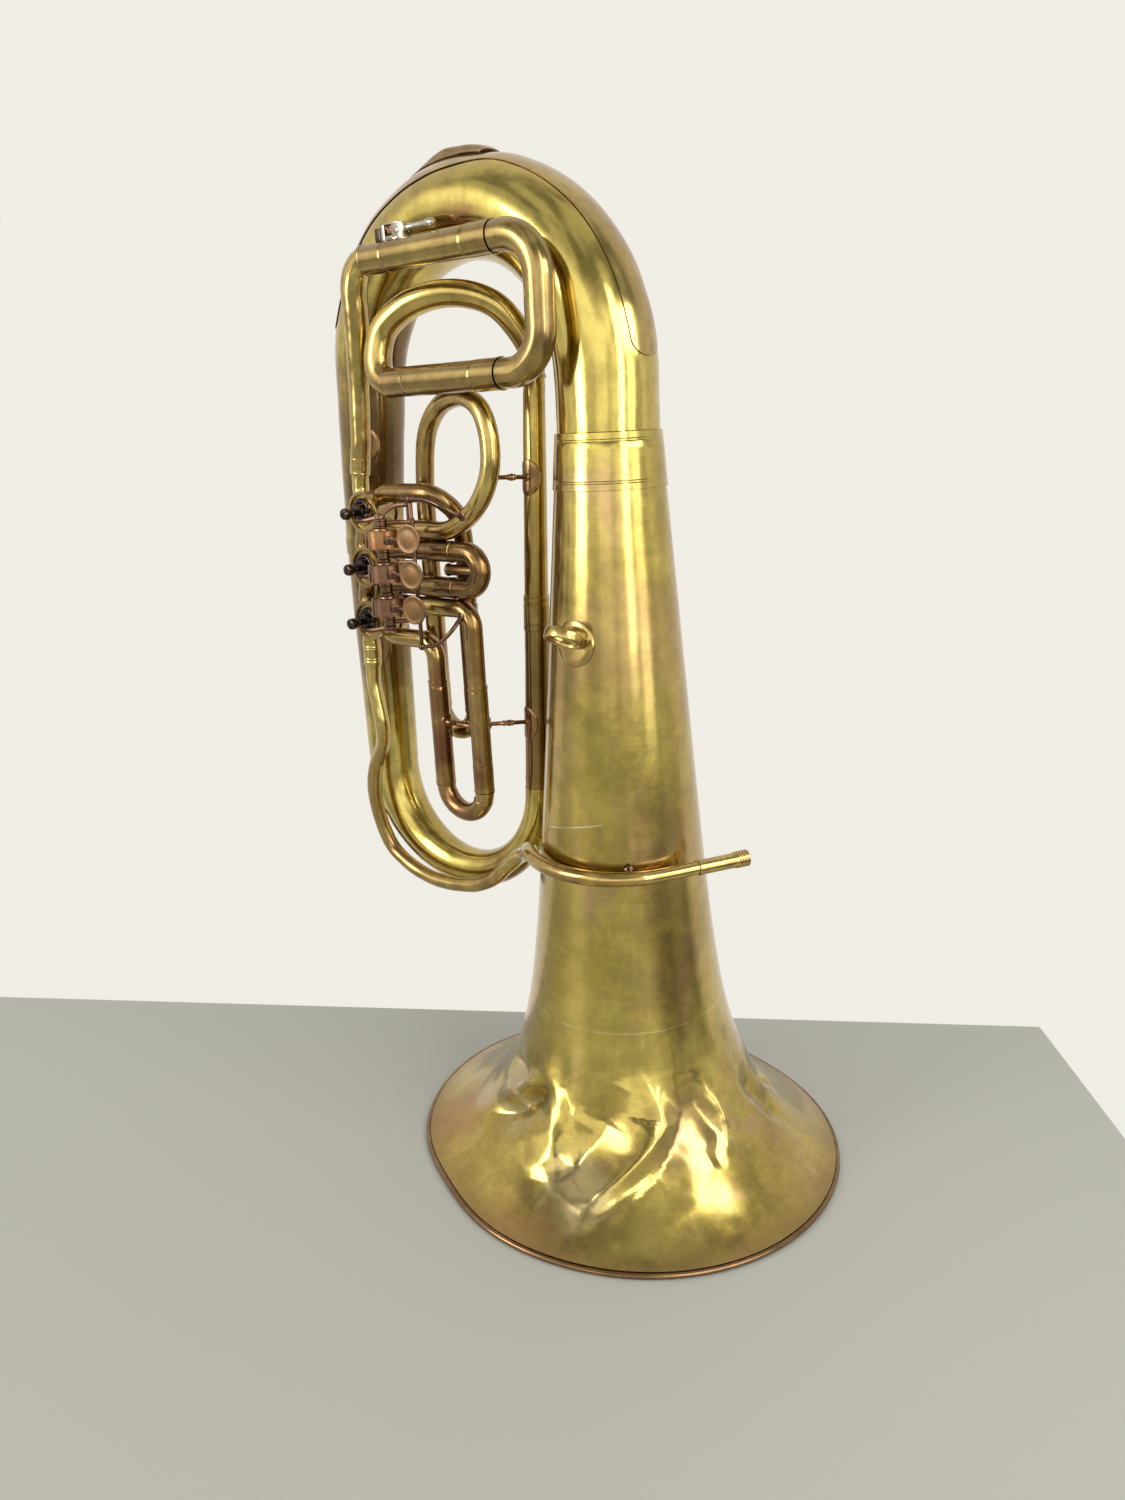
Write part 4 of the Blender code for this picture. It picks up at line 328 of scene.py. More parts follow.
def metal(name, bare, tarnish, blush, tarnished, blushed, polish, grain=(60, 60, 900), bump=0.05, stains_and_shade=(),
          rim=None, lines=()):
    """A finish. Stains and patches of painted shade are (centre, reach, strength, colour) and lines (centre, across,
    width, reach, strength, colour), all placed in the upright layout. Rim, where given, is the colour of painted
    shade that thickens towards the rim."""
    material = bpy.data.materials.new(name)
    material.use_nodes = True
    tree = material.node_tree
    shader = tree.nodes["Principled BSDF"]
    shader.inputs["Metallic"].default_value = 1.0
    shader.inputs["Coat Weight"].default_value = 0.5
    shader.inputs["Coat Roughness"].default_value = 0.16
    place = tree.nodes.new("ShaderNodeTexCoord").outputs["Object"]
    effect = tree.nodes.new("ShaderNodeGroup")
    effect.node_tree = OLD_BRASS
    for label, value in (("Vector", place), ("Bare", bare), ("Tarnish", tarnish), ("Blush", blush),
                         ("Tarnished", tarnished), ("Blushed", blushed), ("Polish", polish), ("Grain", grain)):
        feed(tree, effect.inputs[label], value)
    colour = effect.outputs["Color"]
    # Patches: real stains, and painted shade where a finish lists it.
    for centre, reach, strength, patch_colour in stains_and_shade:
        patch = tree.nodes.new("ShaderNodeGroup")
        patch.node_tree = STAIN_AND_SHADE
        for label, value in (("Vector", place), ("Centre", tuple(LEANING @ Vector(centre))), ("Reach", reach),
                             ("Strength", strength)):
            feed(tree, patch.inputs[label], value)
        colour = blended(tree, patch.outputs["Mask"], colour, patch_colour)
    for centre, across, width, reach, strength, line_colour in lines:
        line = tree.nodes.new("ShaderNodeGroup")
        line.node_tree = HAIRLINE
        for label, value in (("Vector", place), ("Centre", tuple(LEANING @ Vector(centre))),
                             ("Across", tuple((LEAN @ Vector(across)).normalized())), ("Width", width), ("Reach", reach),
                             ("Strength", strength)):
            feed(tree, line.inputs[label], value)
        colour = blended(tree, line.outputs["Mask"], colour, line_colour)
    # Painted shade that thickens towards the rim.
    if rim:
        rim_shade_group = tree.nodes.new("ShaderNodeGroup")
        rim_shade_group.node_tree = RIM_SHADE
        feed(tree, rim_shade_group.inputs["Vector"], place)
        colour = blended(tree, worked(tree, "MULTIPLY", rim_shade_group.outputs["Mask"], 0.8), colour, rim)
    feed(tree, shader.inputs["Base Color"], colour)
    feed(tree, shader.inputs["Roughness"], effect.outputs["Roughness"])
    relief = tree.nodes.new("ShaderNodeBump")
    relief.inputs["Strength"].default_value = bump
    relief.inputs["Distance"].default_value = 0.001
    feed(tree, relief.inputs["Height"], effect.outputs["Height"])
    feed(tree, shader.inputs["Normal"], relief.outputs["Normal"])
    return material


OLIVE, DEEP_OLIVE = (0.575, 0.452, 0.108), (0.41, 0.302, 0.063)
BROWN, COPPER, PINK = (0.20, 0.105, 0.035), (0.38, 0.17, 0.07), (0.48, 0.30, 0.15)
# The first colour on the next line is the dark brown of painted shade; the second is pale and whitish.
PAINTED_SHADE_UMBER, MILKY = (0.12, 0.060, 0.025), (0.62, 0.55, 0.36)

# Painted shade: dark umber patches down the bow's leg and the outer branch, where they sit in shade between the other
# tubes.
LEG_PAINTED_SHADE = (
    ((-0.262, -0.010, 0.470), 0.120, 0.75, PAINTED_SHADE_UMBER),
    ((-0.252, 0.0, 0.580), 0.090, 0.70, PAINTED_SHADE_UMBER),
    ((-0.235, 0.010, 0.660), 0.090, 0.75, PAINTED_SHADE_UMBER),
)

BELL_BRASS = metal(
    "bell_brass", OLIVE, DEEP_OLIVE, PINK, 0.38, 0.16, 0.16, grain=(14, 14, 700), bump=0.035,
    stains_and_shade=(
        # The milky patches on the left of the flare are partly a whitish film and partly a painted reflection of the
        # pale wall.
        ((-0.125, -0.110, 0.030), 0.050, 0.55, (0.42, 0.19, 0.08)),
        ((-0.060, -0.090, 0.075), 0.040, 0.45, MILKY),
        ((0.040, -0.140, 0.035), 0.045, 0.35, MILKY),
        ((0.100, -0.050, 0.070), 0.045, 0.40, PINK),
        ((0.020, -0.180, 0.000), 0.060, 0.45, COPPER),
        ((0.055, -0.010, 0.300), 0.060, 0.35, PINK),
        ((0.050, -0.030, 0.200), 0.050, 0.45, (0.30, 0.20, 0.08)),
        ((-0.030, -0.050, 0.250), 0.050, 0.35, (0.32, 0.22, 0.07)),
        ((0.035, -0.035, 0.480), 0.070, 0.35, PINK),
        ((-0.105, -0.055, 0.066), 0.034, 0.60, (0.24, 0.13, 0.050)),
        ((-0.070, -0.085, 0.100), 0.026, 0.55, MILKY),
        ((-0.100, -0.090, 0.050), 0.020, 0.60, MILKY),
    ),
    # Painted shade: the flare darkens to this brown towards the rim.
    rim=(0.29, 0.185, 0.062),
    lines=(
        ((0.0, 0.0, 0.1550), (0, 0, 1), 0.0009, 1.0, 0.55, (0.80, 0.72, 0.42)),
        ((0.0, 0.0, 0.2230), (0, 0, 1), 0.0007, 1.0, 0.25, (0.26, 0.17, 0.05)),
        ((-0.002, -0.070, 0.3290), (-0.22, 0.05, 1), 0.0008, 0.030, 0.90, (0.86, 0.80, 0.55)),
    ),
)
RIM_BRASS = metal(
    "rim_brass", (0.32, 0.215, 0.085), (0.18, 0.105, 0.040), (0.24, 0.12, 0.05), 0.45, 0.35, 0.22,
    grain=(90, 90, 90),
)
BOW_GUARD_BRASS = metal(
    "bow_guard_brass", (0.56, 0.43, 0.13), (0.41, 0.29, 0.085), (0.40, 0.24, 0.10), 0.34, 0.22, 0.15,
    grain=(40, 40, 40), bump=0.03,
)
# Darker and browner than the tube brass: partly brown tarnish, partly painted shade on the valve tubes that sit among
# the others.
VALVE_BRASS = metal(
    "valve_brass", (0.40, 0.275, 0.080), (0.23, 0.135, 0.042), (0.20, 0.098, 0.036), 0.46, 0.34, 0.20,
    grain=(120, 120, 120),
)
PLATE_OF_RING = metal(
    "ring_plate_brass", (0.57, 0.44, 0.13), (0.41, 0.29, 0.08), (0.40, 0.25, 0.09), 0.38, 0.18, 0.17,
    grain=(90, 90, 90),
)
BOW_BRASS = metal(
    "bow_brass", (0.60, 0.475, 0.115), DEEP_OLIVE, PINK, 0.26, 0.06, 0.12, grain=(40, 40, 40), bump=0.03,
    stains_and_shade=(
        # The first two patches are reddish stains; the umber and brown patches on the upper leg, and the leg patches
        # after them, are painted shade.
        ((-0.112, -0.034, 0.794), 0.034, 0.90, (0.34, 0.15, 0.060)),
        ((-0.160, -0.034, 0.785), 0.030, 0.60, (0.34, 0.17, 0.065)),
        ((-0.226, -0.012, 0.722), 0.060, 0.75, PAINTED_SHADE_UMBER),
        ((-0.285, -0.026, 0.640), 0.090, 0.50, BROWN),
        *LEG_PAINTED_SHADE,
    ),
)
BRANCH_BRASS = metal(
    "branch_brass", (0.59, 0.465, 0.115), (0.40, 0.29, 0.063), BROWN, 0.30, 0.12, 0.14, grain=(40, 40, 60),
    stains_and_shade=LEG_PAINTED_SHADE,
)
TUBE_BRASS = metal(
    "tube_brass", (0.62, 0.475, 0.145), (0.43, 0.305, 0.088), (0.32, 0.18, 0.065), 0.42, 0.30, 0.16,
    grain=(120, 120, 120),
)
SLIDE_BRASS = metal(
    "slide_brass", (0.50, 0.375, 0.115), (0.30, 0.20, 0.062), (0.32, 0.19, 0.075), 0.50, 0.26, 0.19,
    grain=(200, 90, 90),
)
BROWN_BRASS = metal(
    "brown_brass", (0.62, 0.475, 0.135), (0.43, 0.30, 0.082), BROWN, 0.38, 0.16, 0.16, grain=(110, 110, 60),
    stains_and_shade=(((-0.090, 0.0, 0.420), 0.110, 0.80, (0.17, 0.095, 0.030)), ((-0.092, 0.0, 0.350), 0.060, 0.6, BROWN)),
)
GUARD_BRASS = metal(
    "guard_brass", (0.62, 0.49, 0.155), DEEP_OLIVE, BROWN, 0.35, 0.25, 0.17, grain=(60, 60, 60),
)
FOOT_BRASS = metal("foot_brass", (0.46, 0.32, 0.13), (0.30, 0.18, 0.07), (0.34, 0.19, 0.08), 0.45, 0.35, 0.20)
RED_BRASS = metal(
    "slide_red_brass", (0.50, 0.37, 0.11), (0.32, 0.20, 0.06), (0.24, 0.11, 0.04), 0.42, 0.26, 0.17,
    grain=(110, 110, 60),
    stains_and_shade=(
        ((SLIDE_1_LEFT_U, TUBE_V - 0.008, VALVE_W - 0.112), 0.030, 0.85, (0.15, 0.055, 0.020)),
        ((SLIDE_1_LEFT_U, TUBE_V - 0.008, VALVE_W - 0.070), 0.020, 0.75, (0.20, 0.08, 0.028)),
        ((SLIDE_1_RIGHT_U, TUBE_V - 0.008, VALVE_W - 0.134), 0.016, 0.75, (0.16, 0.06, 0.022)),
        ((SLIDE_1_LEFT_U + 0.006, TUBE_V - 0.006, VALVE_W - 0.046), 0.016, 0.7, (0.24, 0.10, 0.035)),
        ((SLIDE_1_LEFT_U + 0.010, TUBE_V - 0.006, VALVE_W - 0.163), 0.020, 0.6, (0.20, 0.08, 0.03)),
    ),
)
DRUM_COPPER = metal(
    "drum_copper", (0.36, 0.195, 0.108), (0.20, 0.103, 0.054), (0.25, 0.125, 0.080), 0.45, 0.40, 0.24,
    grain=(90, 90, 400), bump=0.06,
)
ORANGE_COPPER = metal(
    "orange_copper", (0.52, 0.27, 0.11), (0.30, 0.14, 0.055), (0.38, 0.17, 0.07), 0.45, 0.40, 0.24,
    grain=(90, 90, 400), bump=0.06,
)
TOUCH_BRASS = metal(
    "touch_brass", (0.215, 0.118, 0.043), (0.155, 0.080, 0.029), (0.175, 0.092, 0.037), 0.40, 0.35, 0.29,
    grain=(300, 300, 300), bump=0.06,
)
FRAME_BROWN = metal(
    "frame_brown", (0.185, 0.098, 0.042), (0.095, 0.046, 0.020), (0.145, 0.066, 0.030), 0.48, 0.42, 0.25,
    grain=(200, 200, 200), bump=0.08,
)
PLATE_BRASS = metal(
    "plate_brass", (0.52, 0.375, 0.14), (0.36, 0.235, 0.08), (0.34, 0.19, 0.07), 0.40, 0.30, 0.21,
    grain=(300, 300, 300), bump=0.06,
)
COPPER_BRASS = metal(
    "copper_brass", (0.43, 0.285, 0.105), (0.25, 0.145, 0.052), (0.25, 0.12, 0.05), 0.42, 0.4, 0.2,
    grain=(200, 200, 200),
)
DARK_STEEL = metal(
    "stop_steel", (0.06, 0.045, 0.035), (0.03, 0.020, 0.014), (0.05, 0.028, 0.018), 0.5, 0.4, 0.28,
    grain=(300, 300, 300), bump=0.10,
)
DARK_CORK = metal(
    "dark_cork", (0.10, 0.07, 0.045), (0.06, 0.035, 0.02), (0.12, 0.07, 0.04), 0.5, 0.5, 0.60,
    grain=(900, 900, 900), bump=0.3,
)
for label in ("Metallic", "Coat Weight"):
    DARK_CORK.node_tree.nodes["Principled BSDF"].inputs[label].default_value = 0.0
SILVER = metal(
    "clamp_silver", (0.62, 0.60, 0.53), (0.40, 0.36, 0.28), (0.36, 0.29, 0.2), 0.35, 0.3, 0.17,
    grain=(400, 400, 400),
)


# Handling a piece

def pick(*pieces):
    bpy.ops.object.select_all(action="DESELECT")
    for piece in pieces:
        piece.select_set(True)
    bpy.context.view_layer.objects.active = pieces[0]


def lay(piece, carried=LEANING):
    """Carry a piece from the upright layout to its place and write that place into its mesh."""
    pick(piece)
    piece.matrix_basis = carried @ piece.matrix_basis
    bpy.ops.object.transform_apply(location=True, rotation=True, scale=True)
    return piece


def worked_with(piece, kind, **settings):
    """Add a modifier and apply it."""
    pick(piece)
    bpy.ops.object.modifier_add(type=kind)
    change = piece.modifiers[-1]
    for setting, value in settings.items():
        setattr(change, setting, value)
    bpy.ops.object.modifier_apply(modifier=change.name)
    return piece


def walled(piece, thickness, offset=-1.0):
    return worked_with(piece, "SOLIDIFY", thickness=thickness, offset=offset)


def eased_edges(piece, width=0.0003, segments=2, angle=35):
    if not width:
        return piece
    return worked_with(piece, "BEVEL", width=width, segments=segments, limit_method="ANGLE",
                       angle_limit=radians(angle), harden_normals=False)


def joined(*pieces):
    """One object of several; each stays a closed shell."""
    pick(*pieces)
    bpy.ops.object.join()
    return pieces[0]


def finished(piece, material, body="body", nodes=(), sharp=38):
    pick(piece)
    bpy.ops.object.shade_smooth_by_angle(angle=radians(sharp))
    piece.data.materials.clear()
    piece.data.materials.append(material)
    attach(piece, body)
    if nodes:
        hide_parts(*nodes)
    return piece


def points_of(piece):
    places = np.empty(3 * len(piece.data.vertices))
    piece.data.vertices.foreach_get("co", places)
    return places.reshape(-1, 3)


def reshaped(piece, rule):
    """Move all points of a piece: the rule takes their places and gives the new ones."""
    piece.data.vertices.foreach_set("co", rule(points_of(piece)).ravel())
    piece.data.update()
    return piece


def hand_worked(piece, depth, size, seed=0.0):
    """Shallow unevenness of a tube that was bent and beaten by hand."""
    normals = np.empty(3 * len(piece.data.vertices))
    piece.data.vertices.foreach_get("normal", normals)
    normals = normals.reshape(-1, 3)
    offset = Vector((seed, seed * 1.7, -seed))

    def rule(places):
        lift = [noise.noise(Vector(place) / size + offset) + 0.45 * noise.noise(Vector(place) / (size * 0.42) - offset)
                for place in places]
        return places + normals * (np.array(lift) * depth)[:, None]
    return reshaped(piece, rule)


def closed_up():
    """In edit mode: merge what meets and turn the faces outwards."""
    bpy.ops.mesh.select_all(action="SELECT")
    bpy.ops.mesh.remove_doubles(threshold=2 * TINY)
    bpy.ops.mesh.normals_make_consistent(inside=False)
    bpy.ops.object.mode_set(mode="OBJECT")


# Making a piece

def towards(direction):
    return Vector((0, 0, 1)).rotation_difference(Vector(direction).normalized()).to_matrix().to_4x4()


def turned(name, profile, at=(0, 0, 0), axis=UP, steps=48, ring=False, edge=0.0):
    """A piece from the lathe: a circle drawn out and resized from one (radius, distance) to the next."""
    bpy.ops.mesh.primitive_circle_add(vertices=steps, radius=max(profile[0][0], TINY), location=(0, 0, profile[0][1]))
    piece = bpy.context.object
    piece.name = name
    bpy.ops.object.mode_set(mode="EDIT")
    stations = list(profile) + ([profile[0]] if ring else [])
    for (radius, level), (next_radius, next_level) in zip(stations, stations[1:]):
        bpy.ops.mesh.extrude_region_move(TRANSFORM_OT_translate={"value": (0, 0, next_level - level)})
        growth = max(next_radius, TINY) / max(radius, TINY)
        if abs(growth - 1) > TINY:
            bpy.ops.transform.resize(value=(growth, growth, 1))
    closed_up()
    pick(piece)
    bpy.ops.object.transform_apply(location=True, rotation=True, scale=True)
    if edge:
        eased_edges(piece, edge)
    piece.matrix_basis = Matrix.Translation(Vector(at)) @ towards(axis)
    pick(piece)
    bpy.ops.object.transform_apply(location=True, rotation=True, scale=True)
    return piece


def block(name, at, size, turn=Matrix.Identity(4), edge=0.0004, segments=2):
    """A block with eased edges."""
    bpy.ops.mesh.primitive_cube_add(size=1.0)
    piece = bpy.context.object
    piece.name = name
    piece.scale = size
    pick(piece)
    bpy.ops.object.transform_apply(location=True, rotation=True, scale=True)
    bpy.ops.object.mode_set(mode="EDIT")
    bpy.ops.mesh.select_all(action="SELECT")
    bpy.ops.mesh.subdivide(number_cuts=1)
    bpy.ops.object.mode_set(mode="OBJECT")
    eased_edges(piece, edge, segments)
    piece.matrix_basis = Matrix.Translation(Vector(at)) @ turn
    pick(piece)
    bpy.ops.object.transform_apply(location=True, rotation=True, scale=True)
    return piece


def bar(name, start, end, widths, thickness, flat_to, edge=0.0006):
    """A flat bar from start to end, its two widths given, its thickness along flat_to."""
    start, end, flat_to = Vector(start), Vector(end), Vector(flat_to).normalized()
    along = (end - start).normalized()
    across = flat_to.cross(along).normalized()
    up = along.cross(across)
    turn = Matrix((along, across, up)).transposed().to_4x4()
    piece = block(name, (0, 0, 0), ((end - start).length, 1.0, thickness), edge=0)
    length = (end - start).length

    def rule(places):
        share = places[:, 0] / length + 0.5
        places = places.copy()
        places[:, 1] *= widths[0] + (widths[1] - widths[0]) * share
        return places
    reshaped(piece, rule)
    eased_edges(piece, edge, 3)
    piece.matrix_basis = Matrix.Translation((start + end) / 2) @ turn
    pick(piece)
    bpy.ops.object.transform_apply(location=True, rotation=True, scale=True)
    return piece


def drawn(name, points, radii, wall=0.0, sides=32, flat=None):
    """A tube drawn along points, hollow where a wall is given, else a closed rod."""
    bpy.ops.curve.primitive_nurbs_path_add(location=(0, 0, 0))
    line = bpy.context.object
    line.name = name
    shape = line.data
    shape.splines.clear()
    shape.dimensions = "3D"
    shape.bevel_depth = 1.0
    shape.bevel_resolution = (sides - 4) // 2
    shape.use_fill_caps = not wall
    spline = shape.splines.new("POLY")
    spline.points.add(len(points) - 1)
    spline.points.foreach_set("co", [number for point in points for number in (*point, 1.0)])
    spline.points.foreach_set("radius", [float(radius) for radius in radii])
    pick(line)
    bpy.ops.object.convert(target="MESH")
    piece = bpy.context.object
    piece.name = name
    if flat:
        centres = np.array([tuple(point) for point in points])
        axis, share = np.array(flat[0]) / np.linalg.norm(flat[0]), flat[1]

        def rule(places):
            nearest = centres[((places[:, None, :] - centres[None]) ** 2).sum(2).argmin(1)]
            return places - ((places - nearest) @ axis)[:, None] * axis * (1 - share)
        reshaped(piece, rule)
    bpy.ops.object.mode_set(mode="EDIT")
    closed_up()
    return piece


def reach_of(points):
    """Distance from the start at every point."""
    steps = [0.0] + [(Vector(b) - Vector(a)).length for a, b in zip(points, points[1:])]
    return np.cumsum(steps)


def tube(name, points, profile, wall=TUBE_WALL, sides=32, worn=0.00012, size=0.03, seed=0.0):
    """A tube whose outer radius is given at distances along it; steps and rings are close pairs."""
    runs = reach_of(points)
    stops = set(np.round(runs, 6)) | {round(at, 6) for at, radius in profile if 0 < at < runs[-1]}
    stops = sorted(stops)
    kept = [stops[0]]
    marks = {round(at, 6) for at, radius in profile}
    for stop in stops[1:]:
        if stop - kept[-1] > 0.0001 or stop in marks and kept[-1] not in marks:
            if stop - kept[-1] <= 0.0001:
                kept.pop()
            kept.append(stop)
    coords = np.array([tuple(point) for point in points])
    places = [Vector([np.interp(stop, runs, coords[:, axis]) for axis in range(3)]) for stop in kept]
    radii = np.interp(kept, [at for at, radius in profile], [radius for at, radius in profile])
    piece = drawn(name, places, radii, wall, sides)
    lay(piece)
    if worn:
        hand_worked(piece, worn, size, seed)
    return walled(piece, wall) if wall else piece


def ring_marks(*spans):
    """Profile stations from (start, end, radius) spans, each joined to the next by a short step."""
    stations = []
    for start, end, radius in spans:
        stations += [(start + 0.00015, radius), (end - 0.00015, radius)]
    return stations


def scribed(profile, places, depth=0.00022, width=0.0004):
    """Cut fine turned lines into a profile."""
    ats, radii = zip(*profile)
    extra = []
    for at in places:
        radius = float(np.interp(at, ats, radii))
        extra += [(at - width, radius), (at, radius - depth), (at + width, radius)]
    return sorted(list(profile) + extra)


def saddle(name, at, along, towards_side, tube_radius, half_long, half_wide, thickness=0.0009):
    """An oval plate that hugs a tube: at is on the tube's axis."""
    profile = [(0, thickness), (0.35, thickness), (0.7, thickness), (0.93, thickness), (1.0, thickness * 0.35),
               (1.0, 0), (0.7, 0), (0.35, 0), (0, 0)]
    piece = turned(name, profile, steps=40)
    along, out = Vector(along).normalized(), Vector(towards_side)
    out = (out - along * out.dot(along)).normalized()
    side = out.cross(along)
    axes = [np.array(tuple(vector)) for vector in (at, along, out, side)]

    def rule(places):
        angle = places[:, 1] * half_wide / tube_radius
        reach = tube_radius + 0.0001 + places[:, 2]
        return (axes[0] + (places[:, 0] * half_long)[:, None] * axes[1]
                + (reach * np.cos(angle))[:, None] * axes[2] + (reach * np.sin(angle))[:, None] * axes[3])
    return reshaped(piece, rule)


# Lines that the tubes follow

def bent(centre, radius, start, end, steps, plane="uw"):
    points = []
    for angle in np.linspace(start, end, steps + 1):
        across, up = radius * cos(angle), radius * sin(angle)
        points.append(Vector(centre) + (Vector((across, 0, up)) if plane == "uw" else Vector((across, up, 0))))
    return points


def straight(start, end, pitch=0.004):
    start, end = Vector(start), Vector(end)
    steps = max(2, ceil((end - start).length / pitch))
    return [start.lerp(end, step / steps) for step in range(steps + 1)]


def cornered(corners, bends, steps=14):
    """Straight runs whose inner corners are bent to the given radii."""
    corners = [Vector(corner) for corner in corners]
    points = [corners[0]]
    for before, corner, after, bend in zip(corners, corners[1:], corners[2:], bends):
        arrive, leave = (corner - before).normalized(), (after - corner).normalized()
        turn = arrive.angle(leave)
        centre = corner + (leave - arrive).normalized() * (bend / cos(turn / 2))
        spoke = corner - arrive * bend * tan(turn / 2) - centre
        axis = arrive.cross(leave).normalized()
        arrived = [centre + Quaternion(axis, turn * step / steps) @ spoke for step in range(steps + 1)]
        points += straight(points[-1], arrived[0])[1:-1] + arrived
    return points + straight(points[-1], corners[-1])[1:]


def flowing(points, pitch=0.0028):
    """A soft line through the points, as a bent tube takes it."""
    points = [Vector(point) for point in points]
    padded = [points[0] * 2 - points[1]] + points + [points[-1] * 2 - points[-2]]
    line = []
    for a, b, c, d in zip(padded, padded[1:], padded[2:], padded[3:]):
        t0 = 0.0
        t1 = t0 + sqrt((b - a).length)
        t2 = t1 + sqrt((c - b).length)
        t3 = t2 + sqrt((d - c).length)
        steps = max(1, round((c - b).length / pitch))
        for step in range(steps):
            t = t1 + (t2 - t1) * step / steps
            ab = a + (b - a) * ((t - t0) / (t1 - t0))
            bc = b + (c - b) * ((t - t1) / (t2 - t1))
            cd = c + (d - c) * ((t - t2) / (t3 - t2))
            abc = ab + (bc - ab) * ((t - t0) / (t2 - t0))
            bcd = bc + (cd - bc) * ((t - t1) / (t3 - t1))
            line.append(abc + (bcd - abc) * ((t - t1) / (t2 - t1)))
    return line + [points[-1]]


def taper_at(taper, station, soften=0.0):
    ats, radii = [at for at, radius in taper], [radius for at, radius in taper]
    spots = np.linspace(station - soften, station + soften, 9)
    inside = np.clip(spots, ats[0], ats[-1])
    return float(np.mean(np.interp(inside, ats, radii)))


def valve_centre(number):
    reach = VALVE_PITCH * (number - 1)
    return Vector((VALVE_U + reach * sin(VALVE_TILT), TUBE_V, VALVE_W + reach * cos(VALVE_TILT)))


def port_lead(number, side, level, leave, steps=8):
    """Out of a casing's port at 45 degrees and round to a run along u or w."""
    centre = valve_centre(number)
    slant = Vector((side, 0, level)) * HALF_SLANT
    points = [centre + slant * (CASING_BORE + 0.0012)]
    port = centre + slant * CASING
    for step in range(1, steps + 1):
        angle = radians(45 + 45 * step / steps)
        ahead, aside = KNUCKLE_BEND * (HALF_SLANT - cos(angle)), KNUCKLE_BEND * (sin(angle) - HALF_SLANT)
        points.append(port + (Vector((side * aside, 0, level * ahead)) if leave == "w"
                              else Vector((side * ahead, 0, level * aside))))
    return points


# Bell

def bell_radius(w):
    flare = EDGE_RADIUS - THROAT_RADIUS - BELL_TAPER * (BELL_TOP_W - BELL_FOOT_W) - LIP_CURL
    above = w - BELL_FOOT_W
    return (THROAT_RADIUS + BELL_TAPER * (BELL_TOP_W - w) + flare * np.exp(-above / FLARE_LENGTH)
            + LIP_CURL * np.exp(-above / LIP_LENGTH))


HEIGHTS = np.linspace(BELL_FOOT_W, BELL_TOP_W, 4001)
MERIDIAN = np.concatenate(([0.0], np.cumsum(np.hypot(np.diff(HEIGHTS), np.diff(bell_radius(HEIGHTS))))))

# Folds of the crushed flare: (angle in degrees, height) along the fold, depth, width before it
# and width after it. A ridge has a negative depth.
FOLDS = (
    (((-126.2, 0.0400), (-112.3, 0.0685), (-94.3, 0.0965)), 0.0125, 0.014, 0.036, 0.0),
    (((-136.9, 0.0903), (-123.7, 0.0898), (-113.7, 0.0850)), 0.0075, 0.012, 0.020, 0.0),
    (((-131.0, 0.0540), (-118.0, 0.0790), (-103.0, 0.1040)), -0.0040, 0.012, 0.012, 0.0),
    (((-99.0, 0.1030), (-92.5, 0.0820), (-88.0, 0.0640), (-84.0, 0.0480), (-81.5, 0.0370)), -0.0058, 0.018, 0.034, 0.001),
    (((-63.0, 0.1120), (-67.5, 0.0855), (-69.4, 0.0724), (-74.5, 0.0600), (-78.6, 0.0448), (-81.5, 0.0330)),
     0.0092, 0.040, 0.024, 0.003),
    (((-42.0, 0.0980), (-38.9, 0.0800), (-47.6, 0.0640), (-53.5, 0.0545), (-62.0, 0.0415), (-68.5, 0.0290), (-71.5, 0.0150)),
     -0.0072, 0.013, 0.036, 0.0),
    (((-30.0, 0.1150), (-31.0, 0.0850), (-38.0, 0.0660), (-46.0, 0.0500), (-56.0, 0.0330)), 0.0075, 0.040, 0.022, 0.012),
    (((-22.0, 0.1040), (-21.1, 0.0873), (-18.5, 0.0746), (-13.6, 0.0630)), 0.0052, 0.012, 0.022, 0.0),
    (((-12.4, 0.0921), (-10.5, 0.0768), (-13.2, 0.0640)), -0.0020, 0.014, 0.010, 0.0),
    (((-13.6, 0.0644), (-16.1, 0.0634), (-21.4, 0.0537), (-20.5, 0.0432)), 0.0022, 0.010, 0.010, 0.0),
    (((12.0, 0.0880), (15.8, 0.0700), (21.0, 0.0520), (24.0, 0.0380)), 0.0070, 0.020, 0.016, 0.0),
    (((28.0, 0.0860), (33.0, 0.0680), (40.0, 0.0450)), 0.0060, 0.022, 0.016, 0.0),
)

# Shallow dents: angle, height, depth, half width along the rim and half height
DENTS = (
    (-103.0, 0.060, -0.0030, 0.018, 0.014),
    (-28.0, 0.055, -0.0018, 0.024, 0.022),
    (-110.0, 0.100, 0.0028, 0.014, 0.014),
    (-92.0, 0.118, 0.0022, 0.012, 0.018),
    (-45.0, 0.118, 0.0012, 0.020, 0.016),
    (22.0, 0.066, -0.0016, 0.016, 0.014),
    (60.0, 0.060, 0.0050, 0.040, 0.030),
    (100.0, 0.050, 0.0060, 0.050, 0.030),
    (140.0, 0.055, 0.0040, 0.040, 0.030),
)

# Where the rim is pressed in: angle, depth, half width in degrees
RIM_PRESSED = ((86.0, 0.0115, 34.0), (-114.0, 0.0050, 16.0), (150.0, 0.0040, 22.0))


def along_meridian(w):
    return np.interp(w, HEIGHTS, MERIDIAN)


def degrees_between(angle, other):
    return (angle - other + 180.0) % 360.0 - 180.0


